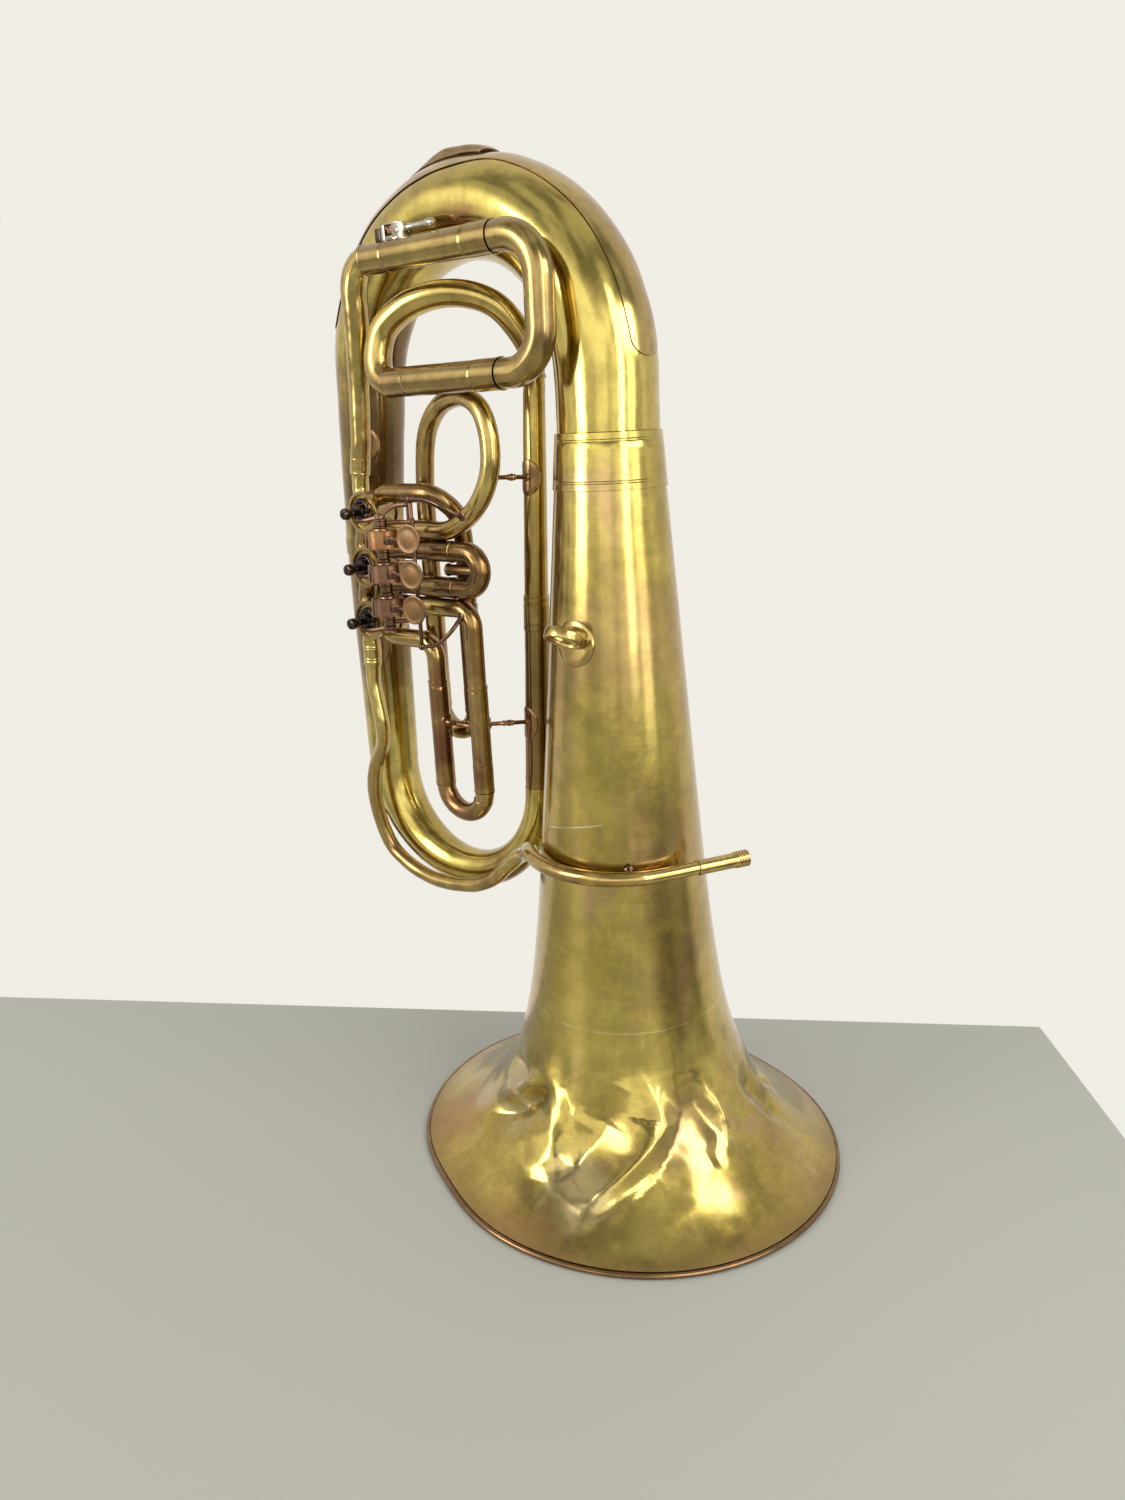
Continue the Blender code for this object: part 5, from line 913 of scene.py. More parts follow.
def fold_depth(angle, up_meridian, radius, fold):
    """How far in the sheet is pushed by one fold, with a sharp bottom and soft sides."""
    line, depth, before, after, rounded = fold
    best = np.full(len(angle), 1e9)
    side = np.zeros(len(angle))
    fade = np.ones(len(angle))
    count = len(line) - 1
    for index, ((a0, w0), (a1, w1)) in enumerate(zip(line, line[1:])):
        s0, s1 = along_meridian(w0), along_meridian(w1)
        x = np.radians(degrees_between(angle, a0)) * radius
        y = up_meridian - s0
        mid = bell_radius((w0 + w1) / 2)
        ex, ey = radians(degrees_between(a1, a0)) * mid, s1 - s0
        length = sqrt(ex * ex + ey * ey)
        t = np.clip((x * ex + y * ey) / length ** 2, 0, 1)
        away = np.hypot(x - t * ex, y - t * ey)
        nearer = away < best
        best = np.where(nearer, away, best)
        side = np.where(nearer, np.sign(ex * y - ey * x), side)
        place = (index + t) / count
        fade = np.where(nearer, np.clip(np.minimum(place, 1 - place) * 3.4 + 0.12, 0, 1), fade)
    width = np.where(side > 0, before, after)
    best = np.hypot(best, rounded)
    share = 1 - np.clip(best / width, 0, 1)
    return depth * fade * 1.12 * share * share / (share + 0.12)


def crushed(places):
    """Push the folds and dents into the upright bell, and press its rim."""
    angle = np.degrees(np.arctan2(places[:, 1], places[:, 0]))
    w = places[:, 2]
    radius = np.hypot(places[:, 0], places[:, 1])
    up_meridian = along_meridian(w)
    depth = np.zeros(len(places))
    for fold in FOLDS:
        depth += fold_depth(angle, up_meridian, radius, fold)
    for at, level, deep, half, half_up in DENTS:
        x = np.radians(degrees_between(angle, at)) * radius
        y = up_meridian - along_meridian(level)
        depth += deep * np.exp(-((x / half) ** 2 + (y / half_up) ** 2))
    slope = (bell_radius(w + 0.0005) - bell_radius(w - 0.0005)) / 0.001
    size = np.sqrt(1 + slope ** 2)
    uneven = np.array([noise.noise(Vector(place) * 22.0) + 0.4 * noise.noise(Vector(place) * 60.0) for place in places])
    near_flare = np.exp(-(np.maximum(w - 0.075, 0) / 0.05) ** 2) * np.clip((w - BELL_FOOT_W) / 0.012, 0, 1)
    depth = depth * np.clip((w - BELL_FOOT_W) / 0.010, 0, 1) + uneven * (0.00022 + 0.0006 * near_flare)
    outward = np.stack([places[:, 0] / radius / size, places[:, 1] / radius / size, -slope / size], 1)
    moved = places - outward * depth[:, None]
    pressed = np.zeros(len(places))
    for at, deep, half in RIM_PRESSED:
        pressed += deep * np.exp(-(degrees_between(angle, at) / half) ** 2)
    pressed *= np.exp(-(np.maximum(w - BELL_FOOT_W, 0) / 0.035))
    factor = 1 - pressed / radius
    moved[:, 0] *= factor
    moved[:, 1] *= factor
    return moved


def leaning_above_flare(places):
    """The rim stays level; the bell leans from the flare upwards. Ends in the tuba's place."""
    share = np.clip(places[:, 2] / SETTLES_BELOW, 0, 1)
    share = (share * share * (3 - 2 * share))[:, None]
    leaned = places @ np.array(LEAN).T
    return places + (leaned - places) * share + np.array(STAND)


def make_bell():
    flare_top = 0.150
    rows = list(np.interp(np.linspace(0, along_meridian(flare_top), 92), MERIDIAN, HEIGHTS))
    rows += list(np.linspace(flare_top, BELL_TOP_W, 30))[1:]
    bell = turned("bell_sheet", [(bell_radius(w), w) for w in rows], steps=336)
    bpy.ops.object.mode_set(mode="EDIT")
    bpy.ops.mesh.select_all(action="SELECT")
    bpy.ops.mesh.normals_make_consistent(inside=False)
    bpy.ops.object.mode_set(mode="OBJECT")
    reshaped(bell, crushed)
    reshaped(bell, leaning_above_flare)
    middle = bell.data.polygons[len(bell.data.polygons) // 2]
    inwards = middle.normal.dot(Vector((middle.center.x - STAND.x, middle.center.y - STAND.y, 0))) < 0
    walled(bell, SHEET, 1.0 if inwards else -1.0)
    finished(bell, BELL_BRASS, nodes=["bell"], sharp=60)

    # Rolled wire of the rim, with the sheet's edge lapped over it
    centre = EDGE_RADIUS + RIM_WIRE - SHEET
    section = []
    for step in range(20):
        angle = radians(90 - 18 * step)
        section.append((centre + RIM_WIRE * cos(angle), RIM_WIRE * (1 + sin(angle))))
    rim = turned("rim_bead", section, steps=256, ring=True)
    reshaped(rim, crushed_rim)
    rim = lay(rim, UPRIGHT)
    finished(rim, RIM_BRASS, nodes=["rim_wire"], sharp=60)

    # Garland: a ferrule with turned lines near both edges
    foot = BELL_TOP_W - GARLAND_LENGTH
    levels = [foot, foot + 0.0003]
    profile = [(0.0005, 0.0), (0.0010, 0.0003), (0.0010, 0.0048), (0.00075, 0.0052), (0.0010, 0.0056),
               (0.0010, 0.0066), (0.00075, 0.0070), (0.0010, 0.0074), (0.0011, 0.0180), (0.0011, 0.0300),
               (0.0010, 0.0356), (0.00075, 0.0360), (0.0010, 0.0364), (0.0010, 0.0374), (0.00075, 0.0378),
               (0.0010, 0.0382), (0.0010, 0.0427), (0.0006, 0.0430)]
    outside = [(bell_radius(foot + up) + lift, foot + up) for lift, up in profile]
    inside = [(bell_radius(foot + up) + 0.0001, foot + up) for lift, up in (profile[-1], profile[0])]
    garland = turned("garland", outside + inside, steps=128, ring=True)
    lay(garland)
    hand_worked(garland, 0.00012, 0.05, 4.0)
    finished(garland, BELL_BRASS, nodes=["bell_ferrule"], sharp=30)


def crushed_rim(places):
    angle = np.degrees(np.arctan2(places[:, 1], places[:, 0]))
    pressed = np.zeros(len(places))
    for at, deep, half in RIM_PRESSED:
        pressed += deep * np.exp(-(degrees_between(angle, at) / half) ** 2)
    factor = 1 - pressed / np.hypot(places[:, 0], places[:, 1])
    return places * np.stack([factor, factor, np.ones(len(places))], 1)


# Big bow with its guard and foot plate

def bow_section(degrees, section, lift):
    """A point on the big bow: round the bow, then round its section from the outermost line."""
    angle = radians(degrees)
    out = Vector((cos(angle), 0, sin(angle)))
    centre = Vector((-BOW_RADIUS, 0, BOW_CENTRE_W)) + out * BOW_RADIUS
    return centre + (out * cos(section) + FRONT * sin(section)) * (taper_at(BOW_TAPER, degrees, 9) + lift)


def make_big_bow():
    turn = 180 - BOW_LEG_LEAN * 180 / pi
    stations = np.linspace(0, turn, 110)
    line = straight((0, 0, BELL_TOP_W + GAP), (0, 0, BOW_CENTRE_W), 0.006)
    radii = [taper_at(BOW_TAPER, 0)] * len(line)
    centre = Vector((-BOW_RADIUS, 0, BOW_CENTRE_W))
    line = line[:-1] + bent(centre, BOW_RADIUS, 0, radians(turn), 109)
    radii = radii[:-1] + [taper_at(BOW_TAPER, at, 9) for at in stations]
    leg = straight(line[-1], (OUTER_U, 0, BOW_END_W + END_STRAIGHT), 0.006) + [Vector((OUTER_U, 0, BOW_END_W))]
    ends = (BOW_END_W, BOW_END_RADIUS), (BOW_LEG_W, radii[-1])
    line += leg[1:]
    radii += [taper_at(ends, point.z) for point in leg[1:]]
    bow = drawn("big_bow", line, radii, SHEET, 64)
    lay(bow)
    hand_worked(bow, 0.00075, 0.060, 1.0)
    walled(bow, SHEET)
    finished(bow, BOW_BRASS, nodes=["bottom_bow"], sharp=60)
    make_bow_guard()
    make_bow_foot()


GUARD_ENDS = (3.5, 161.0)
GUARD_FRONT = ((0, 23), (15, 26), (40, 26), (70, 30), (77, 35), (87, 46), (100, 53), (161, 56))


def make_bow_guard():
    bpy.ops.mesh.primitive_grid_add(x_subdivisions=220, y_subdivisions=44, size=1.0)
    guard = bpy.context.object
    guard.name = "big_bow_guard"

    def rule(places):
        made = []
        for x, y, z in places:
            share = x + 0.5
            share = 0.5 - 0.5 * cos(pi * share) if share < 0.5 else share
            degrees = GUARD_ENDS[0] + (GUARD_ENDS[1] - GUARD_ENDS[0]) * share
            half = taper_at(GUARD_FRONT, degrees, 5) + 0.5 * noise.noise(Vector((degrees * 0.13, y, 2.0)))
            reach = radians(half) * 0.041
            from_end = radians(min(degrees - GUARD_ENDS[0], (GUARD_ENDS[1] - degrees) * 2)) * (BOW_RADIUS + 0.04)
            tongue = min(max(from_end / (reach * 0.8), 0.0), 1.0)
            half *= max(1 - (1 - tongue) ** 2.4, 0.0) ** (1 / 2.4)
            made.append(tuple(bow_section(degrees, radians(half) * 2 * y, 0.00030)))
        return np.array(made)
    reshaped(guard, rule)
    bpy.ops.object.mode_set(mode="EDIT")
    closed_up()
    lay(guard)
    hand_worked(guard, 0.00075, 0.060, 1.0)
    face = guard.data.polygons[len(guard.data.polygons) // 2]
    middle = LEANING @ Vector((-BOW_RADIUS, 0, BOW_CENTRE_W))
    outwards = face.normal.dot(face.center - middle) > 0
    guard.data.materials.append(BOW_GUARD_BRASS)
    guard.data.materials.append(FRAME_BROWN)
    worked_with(guard, "SOLIDIFY", thickness=0.0006, offset=1.0 if outwards else -1.0, material_offset_rim=1)
    rim = [face.index for face in guard.data.polygons if face.material_index == 1]
    finished(guard, BOW_GUARD_BRASS, nodes=["bow_guard"], sharp=35)
    guard.data.materials.append(FRAME_BROWN)
    for face in guard.data.polygons:
        face.material_index = 0
    for index in rim:
        guard.data.polygons[index].material_index = 1


FOOT_ALONG = ((80.0, 0.0), (81.2, 0.0026), (84.0, 0.0036), (93.5, 0.0056), (100.5, 0.0027), (108.0, 0.0))


def make_bow_foot():
    bpy.ops.mesh.primitive_grid_add(x_subdivisions=60, y_subdivisions=32, size=1.0)
    foot = bpy.context.object
    foot.name = "foot_plate"

    def rule(places):
        made = []
        for x, y, z in places:
            degrees = 80.0 + 28.0 * (x + 0.5)
            height = taper_at(FOOT_ALONG, degrees, 0.9)
            across = abs(2 * y)
            flank = 1.0 if across < 0.62 else 0.5 + 0.5 * cos(pi * min((across - 0.62) / 0.38, 1))
            narrow = 1 - 0.35 * max(0.0, (degrees - 96) / 12) ** 2
            section = 2 * y * 0.0150 * narrow / 0.0400
            made.append(tuple(bow_section(degrees, section, 0.0016 + height * flank)))
        return np.array(made)
    reshaped(foot, rule)
    lay(foot)
    hand_worked(foot, 0.0005, 0.018, 6.0)
    walled(foot, 0.0009, 1.0)
    eased_edges(foot, 0.0003)
    finished(foot, FOOT_BRASS, nodes=["bow_foot"], sharp=40)


# Branches and small bow

def small_bow_place():
    left = OUTER_U - BRANCH_DRIFT
    centre = Vector(((left + INNER_FOOT_U) / 2, 0, SMALL_BOW_END_W - SMALL_BOW_STUB))
    return centre, (INNER_FOOT_U - left) / 2


def squared(line):
    """Straight ends, so that a slanting pipe meets its neighbours squarely."""
    first, last = line[0], line[-1]
    step = UP * END_STRAIGHT * (1 if first.z < last.z else -1)
    inner = [point for point in line[1:-1] if END_STRAIGHT < abs(point.z - first.z) < abs(last.z - first.z) - END_STRAIGHT]
    return [first, first + step] + inner + [last - step, last]


def make_branches():
    head, foot = Vector((OUTER_U, 0, BOW_END_W - GAP)), Vector((OUTER_U - BRANCH_DRIFT, 0, SMALL_BOW_END_W + GAP))
    line = squared(straight(head, foot, 0.006))
    total = reach_of(line)[-1]
    profile = [(share * total, radius) for share, radius in OUTER_TAPER]
    branch = tube("outer_branch_tube", line, profile, SHEET, 56, 0.0003, 0.06, 2.0)
    finished(branch, BRANCH_BRASS, nodes=["outer_branch"], sharp=60)
    joint = BOW_END_W
    radius = BOW_END_RADIUS
    ring = [(radius - 0.0001, joint - 0.008), (radius + 0.0007, joint - 0.0075), (radius + 0.0007, joint + 0.0075),
            (radius + 0.0001, joint + 0.008)]
    band = turned("outer_branch_band", [(r, z - joint) for r, z in ring] + [(radius - 0.0003, 0.008), (radius - 0.0003, -0.008)],
                  (OUTER_U, 0, joint), UP, 64, ring=True)
    finished(lay(band), BRANCH_BRASS)

    centre, reach = small_bow_place()
    stations = np.linspace(180, 360, 90)
    line = bent(centre, reach, pi, 2 * pi, 89)
    line = [line[0] + UP * SMALL_BOW_STUB] + line + [line[-1] + UP * SMALL_BOW_STUB]
    radii = [taper_at(SMALL_BOW_TAPER, at, 14) for at in [180, *stations, 360]]
    bow = drawn("small_bow", line, radii, SHEET, 48)
    lay(bow)
    hand_worked(bow, 0.0003, 0.05, 3.0)
    walled(bow, SHEET)
    finished(bow, BRANCH_BRASS, nodes=["top_bow"], sharp=60)
    make_small_guard(centre, reach)

    line = squared(straight(INNER_FOOT, INNER_HEAD, 0.006))
    total = reach_of(line)[-1]
    profile = [(share * total, radius) for share, radius in INNER_TAPER]
    branch = tube("inner_branch_tube", line, profile, TUBE_WALL, 40, 0.00018, 0.045, 5.0)
    finished(branch, BROWN_BRASS, nodes=["inner_branch"], sharp=60)
    run = INNER_HEAD - INNER_FOOT
    start = INNER_FOOT.lerp(INNER_HEAD, 0.41)
    radius = taper_at(INNER_TAPER, 0.41 + 0.0155 / run.length)
    profile = [(0.0, radius + 0.0003), (0.0003, radius + 0.0009), (0.031, radius + 0.0008), (0.0313, radius + 0.0003)]
    profile = scribed(profile, (0.0014, 0.0060, 0.0076, 0.0240, 0.0256, 0.0300), 0.0003, 0.0005)
    ferrule = [(r, at) for at, r in profile] + [(radius - 0.0002, 0.0313), (radius - 0.0002, 0.0)]
    ferrule = turned("inner_branch_collar", ferrule, start, run, 48, ring=True)
    finished(lay(ferrule), BROWN_BRASS, nodes=["inner_branch_ferrule"], sharp=30)


def make_small_guard(centre, reach):
    bpy.ops.mesh.primitive_grid_add(x_subdivisions=110, y_subdivisions=40, size=1.0)
    guard = bpy.context.object
    guard.name = "small_bow_guard"

    def rule(places):
        made = []
        for x, y, z in places:
            share = 0.5 - 0.5 * cos(pi * (x + 0.5))
            degrees = 204 + 132 * share
            half = radians(66)
            from_end = radians(min(degrees - 204, 336 - degrees)) * (reach + 0.02)
            tongue = min(max(from_end / 0.014, 0.0), 1.0)
            half *= max(1 - (1 - tongue) ** 2.2, 0.0) ** (1 / 2.2)
            section, angle = half * 2 * y, radians(degrees)
            out = Vector((cos(angle), 0, sin(angle)))
            radius = taper_at(SMALL_BOW_TAPER, degrees, 14) + 0.0004
            made.append(tuple(centre + out * reach + (out * cos(section) + FRONT * sin(section)) * radius))
        return np.array(made)
    reshaped(guard, rule)
    bpy.ops.object.mode_set(mode="EDIT")
    closed_up()
    lay(guard)
    hand_worked(guard, 0.0003, 0.05, 3.0)
    face = guard.data.polygons[len(guard.data.polygons) // 2]
    outwards = face.normal.dot(face.center - LEANING @ centre) > 0
    walled(guard, 0.0007, 1.0 if outwards else -1.0)
    finished(guard, GUARD_BRASS, nodes=["top_bow_guard"], sharp=35)


# Main tuning slide

def make_main_slide():
    for name, node, start, level in (("upper_sleeve", "main_slide_upper_sleeve", MAIN_UPPER_U, MAIN_UPPER_W),
                                     ("lower_sleeve", "main_slide_lower_sleeve", MAIN_LOWER_U, MAIN_LOWER_W)):
        line = straight((start, MAIN_V, level), (MAIN_END_U, MAIN_V, level))
        total = MAIN_END_U - start
        ferrule = total - 0.0238
        profile = ring_marks((0, ferrule, SLEEVE_WIDE), (ferrule, total - 0.0016, 0.0122), (total - 0.0016, total, 0.0125))
        profile = scribed(profile, (CLAMP_U - start - 0.010 if "upper" in name else 0.024, ferrule - 0.0007))
        sleeve = tube(name, line, profile, TUBE_WALL, 40, 0.0001, 0.03, 7.0)
        finished(sleeve, SLIDE_BRASS, nodes=[node], sharp=30)

    inner = MAIN_END_U - 0.095
    line = cornered([(inner, MAIN_V, MAIN_UPPER_W), (MAIN_CROOK_U, MAIN_V, MAIN_UPPER_W),
                     (MAIN_CROOK_U, MAIN_V, MAIN_LOWER_W), (inner, MAIN_V, MAIN_LOWER_W)], [MAIN_BEND] * 2, 22)
    total = reach_of(line)[-1]
    wide = 0.0960
    profile = ring_marks((0, wide, MAIN_LEG), (wide, wide + 0.0014, 0.0117), (wide + 0.0014, wide + 0.0085, 0.0114),
                         (wide + 0.0085, total - wide - 0.0085, 0.0117),
                         (total - wide - 0.0085, total - wide - 0.0014, 0.0114),
                         (total - wide - 0.0014, total - wide, 0.0117), (total - wide, total, MAIN_LEG))
    crook = tube("main_crook", line, profile, TUBE_WALL, 40, 0.00012, 0.03, 8.0)
    finished(crook, SLIDE_BRASS, "main_slide", ["main_slide_crook"], sharp=30)

    start = Vector((MAIN_LOWER_U, MAIN_V, MAIN_LOWER_W))
    across = INNER_HEAD - start
    bends = [start + Vector((0.006, 0, 0)), start]
    bends += [start + Vector(bend) for bend in ((-0.0105, 0.0010, 0.0065), (-0.0145, 0.0030, 0.0210), (-0.0090, 0.0070, 0.0420))]
    for u, v, rise in ((0.098, 0.203, 0.0570), (0.351, 0.344, 0.0650), (0.605, 0.531, 0.0640), (0.800, 0.719, 0.0545),
                       (0.927, 0.891, 0.0350)):
        bends.append(start + Vector((across.x * u, across.y * v, rise)))
    bends += [INNER_HEAD + UP * above for above in (0.016, 0.006, GAP)]
    line = flowing(bends)
    total = reach_of(line)[-1]
    arch = tube("tuning_arch", line, [(0, 0.0110), (0.015, 0.0118), (total * 0.3, 0.0117), (total * 0.6, 0.0106), (total, 0.0096)], TUBE_WALL, 40,
                0.00025, 0.035, 9.0)
    finished(arch, BROWN_BRASS, nodes=["tuning_arc"], sharp=60)
    for name, at, axis, radius in (("arch_ring", start + Vector((0.0008, 0, 0)), ACROSS, 0.0112),
                                   ("arch_foot_ring", INNER_HEAD + UP * 0.001, UP, 0.0098)):
        ring = turned(name, [(radius, -0.0016), (radius + 0.0006, -0.0012), (radius + 0.0006, 0.0012), (radius, 0.0016),
                             (radius - 0.0008, 0.0016), (radius - 0.0008, -0.0016)], at, axis, 40, ring=True)
        finished(lay(ring), BROWN_BRASS)


EXIT_BENDS = ((0.023, 0.0, 0.061), (0.090, 0.050, 0.140), (0.162, 0.125, 0.210), (0.235, 0.215, 0.350), (0.317, 0.310, 0.500),
              (0.433, 0.560, 0.657), (0.520, 0.810, 0.790), (0.562, 1.0, 0.885), (0.680, 1.0, 0.955), (0.900, 1.0, 0.994))


def make_exit_tube():
    lead = port_lead(3, -1, 1, "w")
    port = lead[-1]
    way = Vector((MAIN_UPPER_U, MAIN_V, MAIN_UPPER_W)) - port
    bends = [port + Vector((way.x * u, way.y * v, way.z * w)) for u, v, w in EXIT_BENDS]
    line = lead[:-1] + flowing([port] + bends + [Vector((MAIN_UPPER_U + 0.006, MAIN_V, MAIN_UPPER_W))])
    runs = reach_of(line)
    ferrule = runs[len(lead) - 1] + 0.012
    profile = ring_marks((0, ferrule, KNUCKLE), (ferrule, ferrule + 0.0175, 0.0090),
                         (ferrule + 0.0175, runs[-1] - 0.030, 0.0086))
    profile[-1] = (runs[-1] - 0.110, 0.0090)
    profile += [(runs[-1] - 0.060, 0.0106), (runs[-1] - 0.030, 0.0113), (runs[-1], 0.0113)]
    profile = scribed(profile, (ferrule + 0.0025, ferrule + 0.015))
    pipe = tube("exit_pipe", line, profile, TUBE_WALL, 36, 0.00055, 0.022, 11.0)
    finished(pipe, TUBE_BRASS, nodes=["exit_tube"], sharp=30)
    ring = turned("exit_ring", [(0.0114, -0.0015), (0.0121, -0.0011), (0.0121, 0.0011), (0.0114, 0.0015),
                                (0.0100, 0.0015), (0.0100, -0.0015)], (MAIN_UPPER_U, MAIN_V, MAIN_UPPER_W), ACROSS, 40, ring=True)
    finished(lay(ring), SLIDE_BRASS)


# Leadpipe and receiver

LEAD_DOWN = ((0.0, 0.0, -0.0100), (-0.0010, 0.0, -0.0260), (-0.0020, 0.0, -0.0419), (0.0015, 0.0, -0.0658),
             (0.0041, 0.0, -0.0849), (-0.0049, 0.0060, -0.1064))
LEAD_BESIDE = ((0.0241, -0.045, 0.0070), (0.0175, -0.045, -0.0180), (0.0155, -0.040, -0.0520))
LEAD_UNDER = ((-0.744, 0.0167), (-0.492, 0.0019), (-0.179, -0.0057), (0.147, -0.0047), (0.449, 0.0017), (0.677, 0.0135),
              (0.865, 0.0298))
LEAD_TO_RING = ((-158.3, 0.0157, -0.0213), (-151.8, 0.0051, -0.0123), (-141.3, 0.0003, -0.0030))


def make_leadpipe():
    lead = port_lead(1, -1, -1, "w")
    centre, reach = small_bow_place()
    under = centre.z - reach
    level = under + 0.0643
    ring_radius = float(bell_radius(level)) + 0.0109
    side = OUTER_U - BRANCH_DRIFT
    bends = [lead[-1]] + [lead[-1] + Vector(bend) for bend in LEAD_DOWN]
    bends += [Vector((side + u, v, SMALL_BOW_END_W + w)) for u, v, w in LEAD_BESIDE]
    bends += [Vector((centre.x + share * reach, -0.035, under + rise)) for share, rise in LEAD_UNDER]
    for angle, outside, rise in LEAD_TO_RING:
        away = ring_radius + outside
        bends.append(Vector((away * cos(radians(angle)), away * sin(radians(angle)), level + rise)))
    ring = bent((0, 0, level), ring_radius, radians(-128), radians(-30), 24, "uv")
    leave = Vector((-sin(radians(-30)), cos(radians(-30)), 0))
    line = lead[:-1] + flowing(bends + ring[::2])
    line += straight(ring[-1], ring[-1] + leave * (0.078 - 0.047 + 0.008))[1:]
    runs = reach_of(line)
    total = runs[-1]
    ferrule = runs[len(lead) - 1] + 0.002
    profile = ring_marks((0, ferrule, KNUCKLE), (ferrule, ferrule + 0.024, 0.0082), (ferrule + 0.024, total * 0.75, 0.0069))
    profile += [(total, 0.0054)]
    profile = scribed(profile, (ferrule + 0.005, ferrule + 0.0075, ferrule + 0.0165, ferrule + 0.019))
    pipe = tube("lead_pipe", line, profile, TUBE_WALL, 32, 0.00035, 0.024, 12.0)
    finished(pipe, TUBE_BRASS, nodes=["leadpipe"], sharp=30)

    length = 0.047
    outline = [(0.0057, length), (0.0062, length), (0.0070, length - 0.0004), (0.0071, length - 0.0010)]
    for step in range(4):
        at = length - 0.0016 - 0.0026 * step
        outline += [(0.0070, at), (0.0065, at - 0.0004), (0.0065, at - 0.0007), (0.0070, at - 0.0011), (0.0070, at - 0.0022)]
    outline += [(0.0065, length - 0.0130), (0.0064, length - 0.0150), (0.0063, 0.004), (0.0066, 0.0036), (0.0066, 0.0006),
                (0.0062, 0.0), (0.0056, 0.0)]
    cup = turned("receiver_tube", outline, ring[-1] + leave * (0.078 - length), leave, 40, ring=True)
    finished(lay(cup), TUBE_BRASS, nodes=["receiver"], sharp=30)
    peg_foot = Vector((ring_radius * cos(radians(-50)), ring_radius * sin(radians(-50)), level + 0.006))
    inward = Vector((-cos(radians(-50)), -sin(radians(-50)), 0))
    saddle_peg = turned("leadpipe_stay", [(0, 0.0), (0.0040, 0.0), (0.0042, 0.0008), (0.0030, 0.0018), (0.0026, 0.0062), (0, 0.0066)],
                        peg_foot + inward * 0.0080 - UP * 0.002, -inward, 20)
    finished(lay(saddle_peg), FRAME_BROWN)


# Valves

def front(pairs):
    return [(radius, -v) for radius, v in pairs]


def make_valve(number):
    centre = valve_centre(number)
    foot = (centre.x, 0, centre.z)
    bore = CASING_BORE
    casing = turned("casing_%d" % number, front([
        (0.0034, -0.0701), (0.0054, -0.0701), (0.0058, -0.0711), (0.0112, -0.0711), (0.0116, -0.0704), (0.0120, -0.0686),
        (0.0146, -0.0686), (0.0149, -0.0708), (0.0153, -0.0713), (0.0176, -0.0713), (0.0181, -0.0707), (0.0181, -0.0668),
        (0.0176, -0.0664), (0.0175, -0.0662), (0.0175, CASING_REAR_V), (bore, CASING_REAR_V), (bore, -0.0645),
        (0.0034, -0.0645)]), foot, FRONT, 72, ring=True)
    lay(casing)
    finished(casing, PLATE_BRASS, nodes=["valve_casing_%d" % number], sharp=30)
    core = bore * cos(pi / 16) - GAP
    rotor = turned("rotor_core_%d" % number, front([
        (0, STOP_V - 0.0010), (0.0030, STOP_V - 0.0010), (0.0030, -0.0642), (core - 0.0004, -0.0642), (core, -0.0638),
        (core, -0.0482), (core - 0.0004, -0.0478), (0.0035, -0.0478), (0.0035, -0.0448), (0, -0.0448)]), foot, FRONT, 48)
    for side in (-1, 1):
        bpy.ops.mesh.primitive_torus_add(major_segments=28, minor_segments=12, major_radius=CASING * 0.92, minor_radius=0.0062,
                                         location=centre + Vector((side * CASING * 1.34, 0, 0)), rotation=(radians(90), 0, 0))
        cutter = bpy.context.object
        worked_with(rotor, "BOOLEAN", operation="DIFFERENCE", solver="EXACT", object=cutter)
        bpy.data.objects.remove(cutter)
    lay(rotor)
    body = "rotor_%d" % number
    finished(rotor, DARK_STEEL, body, ["rotor_%d" % number], sharp=40)

    cap = turned("rear_cap_%d" % number, front([
        (0.0030, -0.0398), (0.0030, -0.0378), (0.0068, -0.0378), (0.0072, -0.0384), (0.0110, -0.0384), (0.0114, -0.0378),
        (0.0172, -0.0378), (0.0186, -0.0386), (0.0190, -0.0396), (0.0190, -0.0462), (0.0186, -0.0466), (0.0181, -0.0466),
        (0.0181, -0.0398)]), foot, FRONT, 72, ring=True)
    finished(lay(cap), PLATE_BRASS, nodes=["valve_cap_%d" % number], sharp=30)
    make_stop(number, centre)


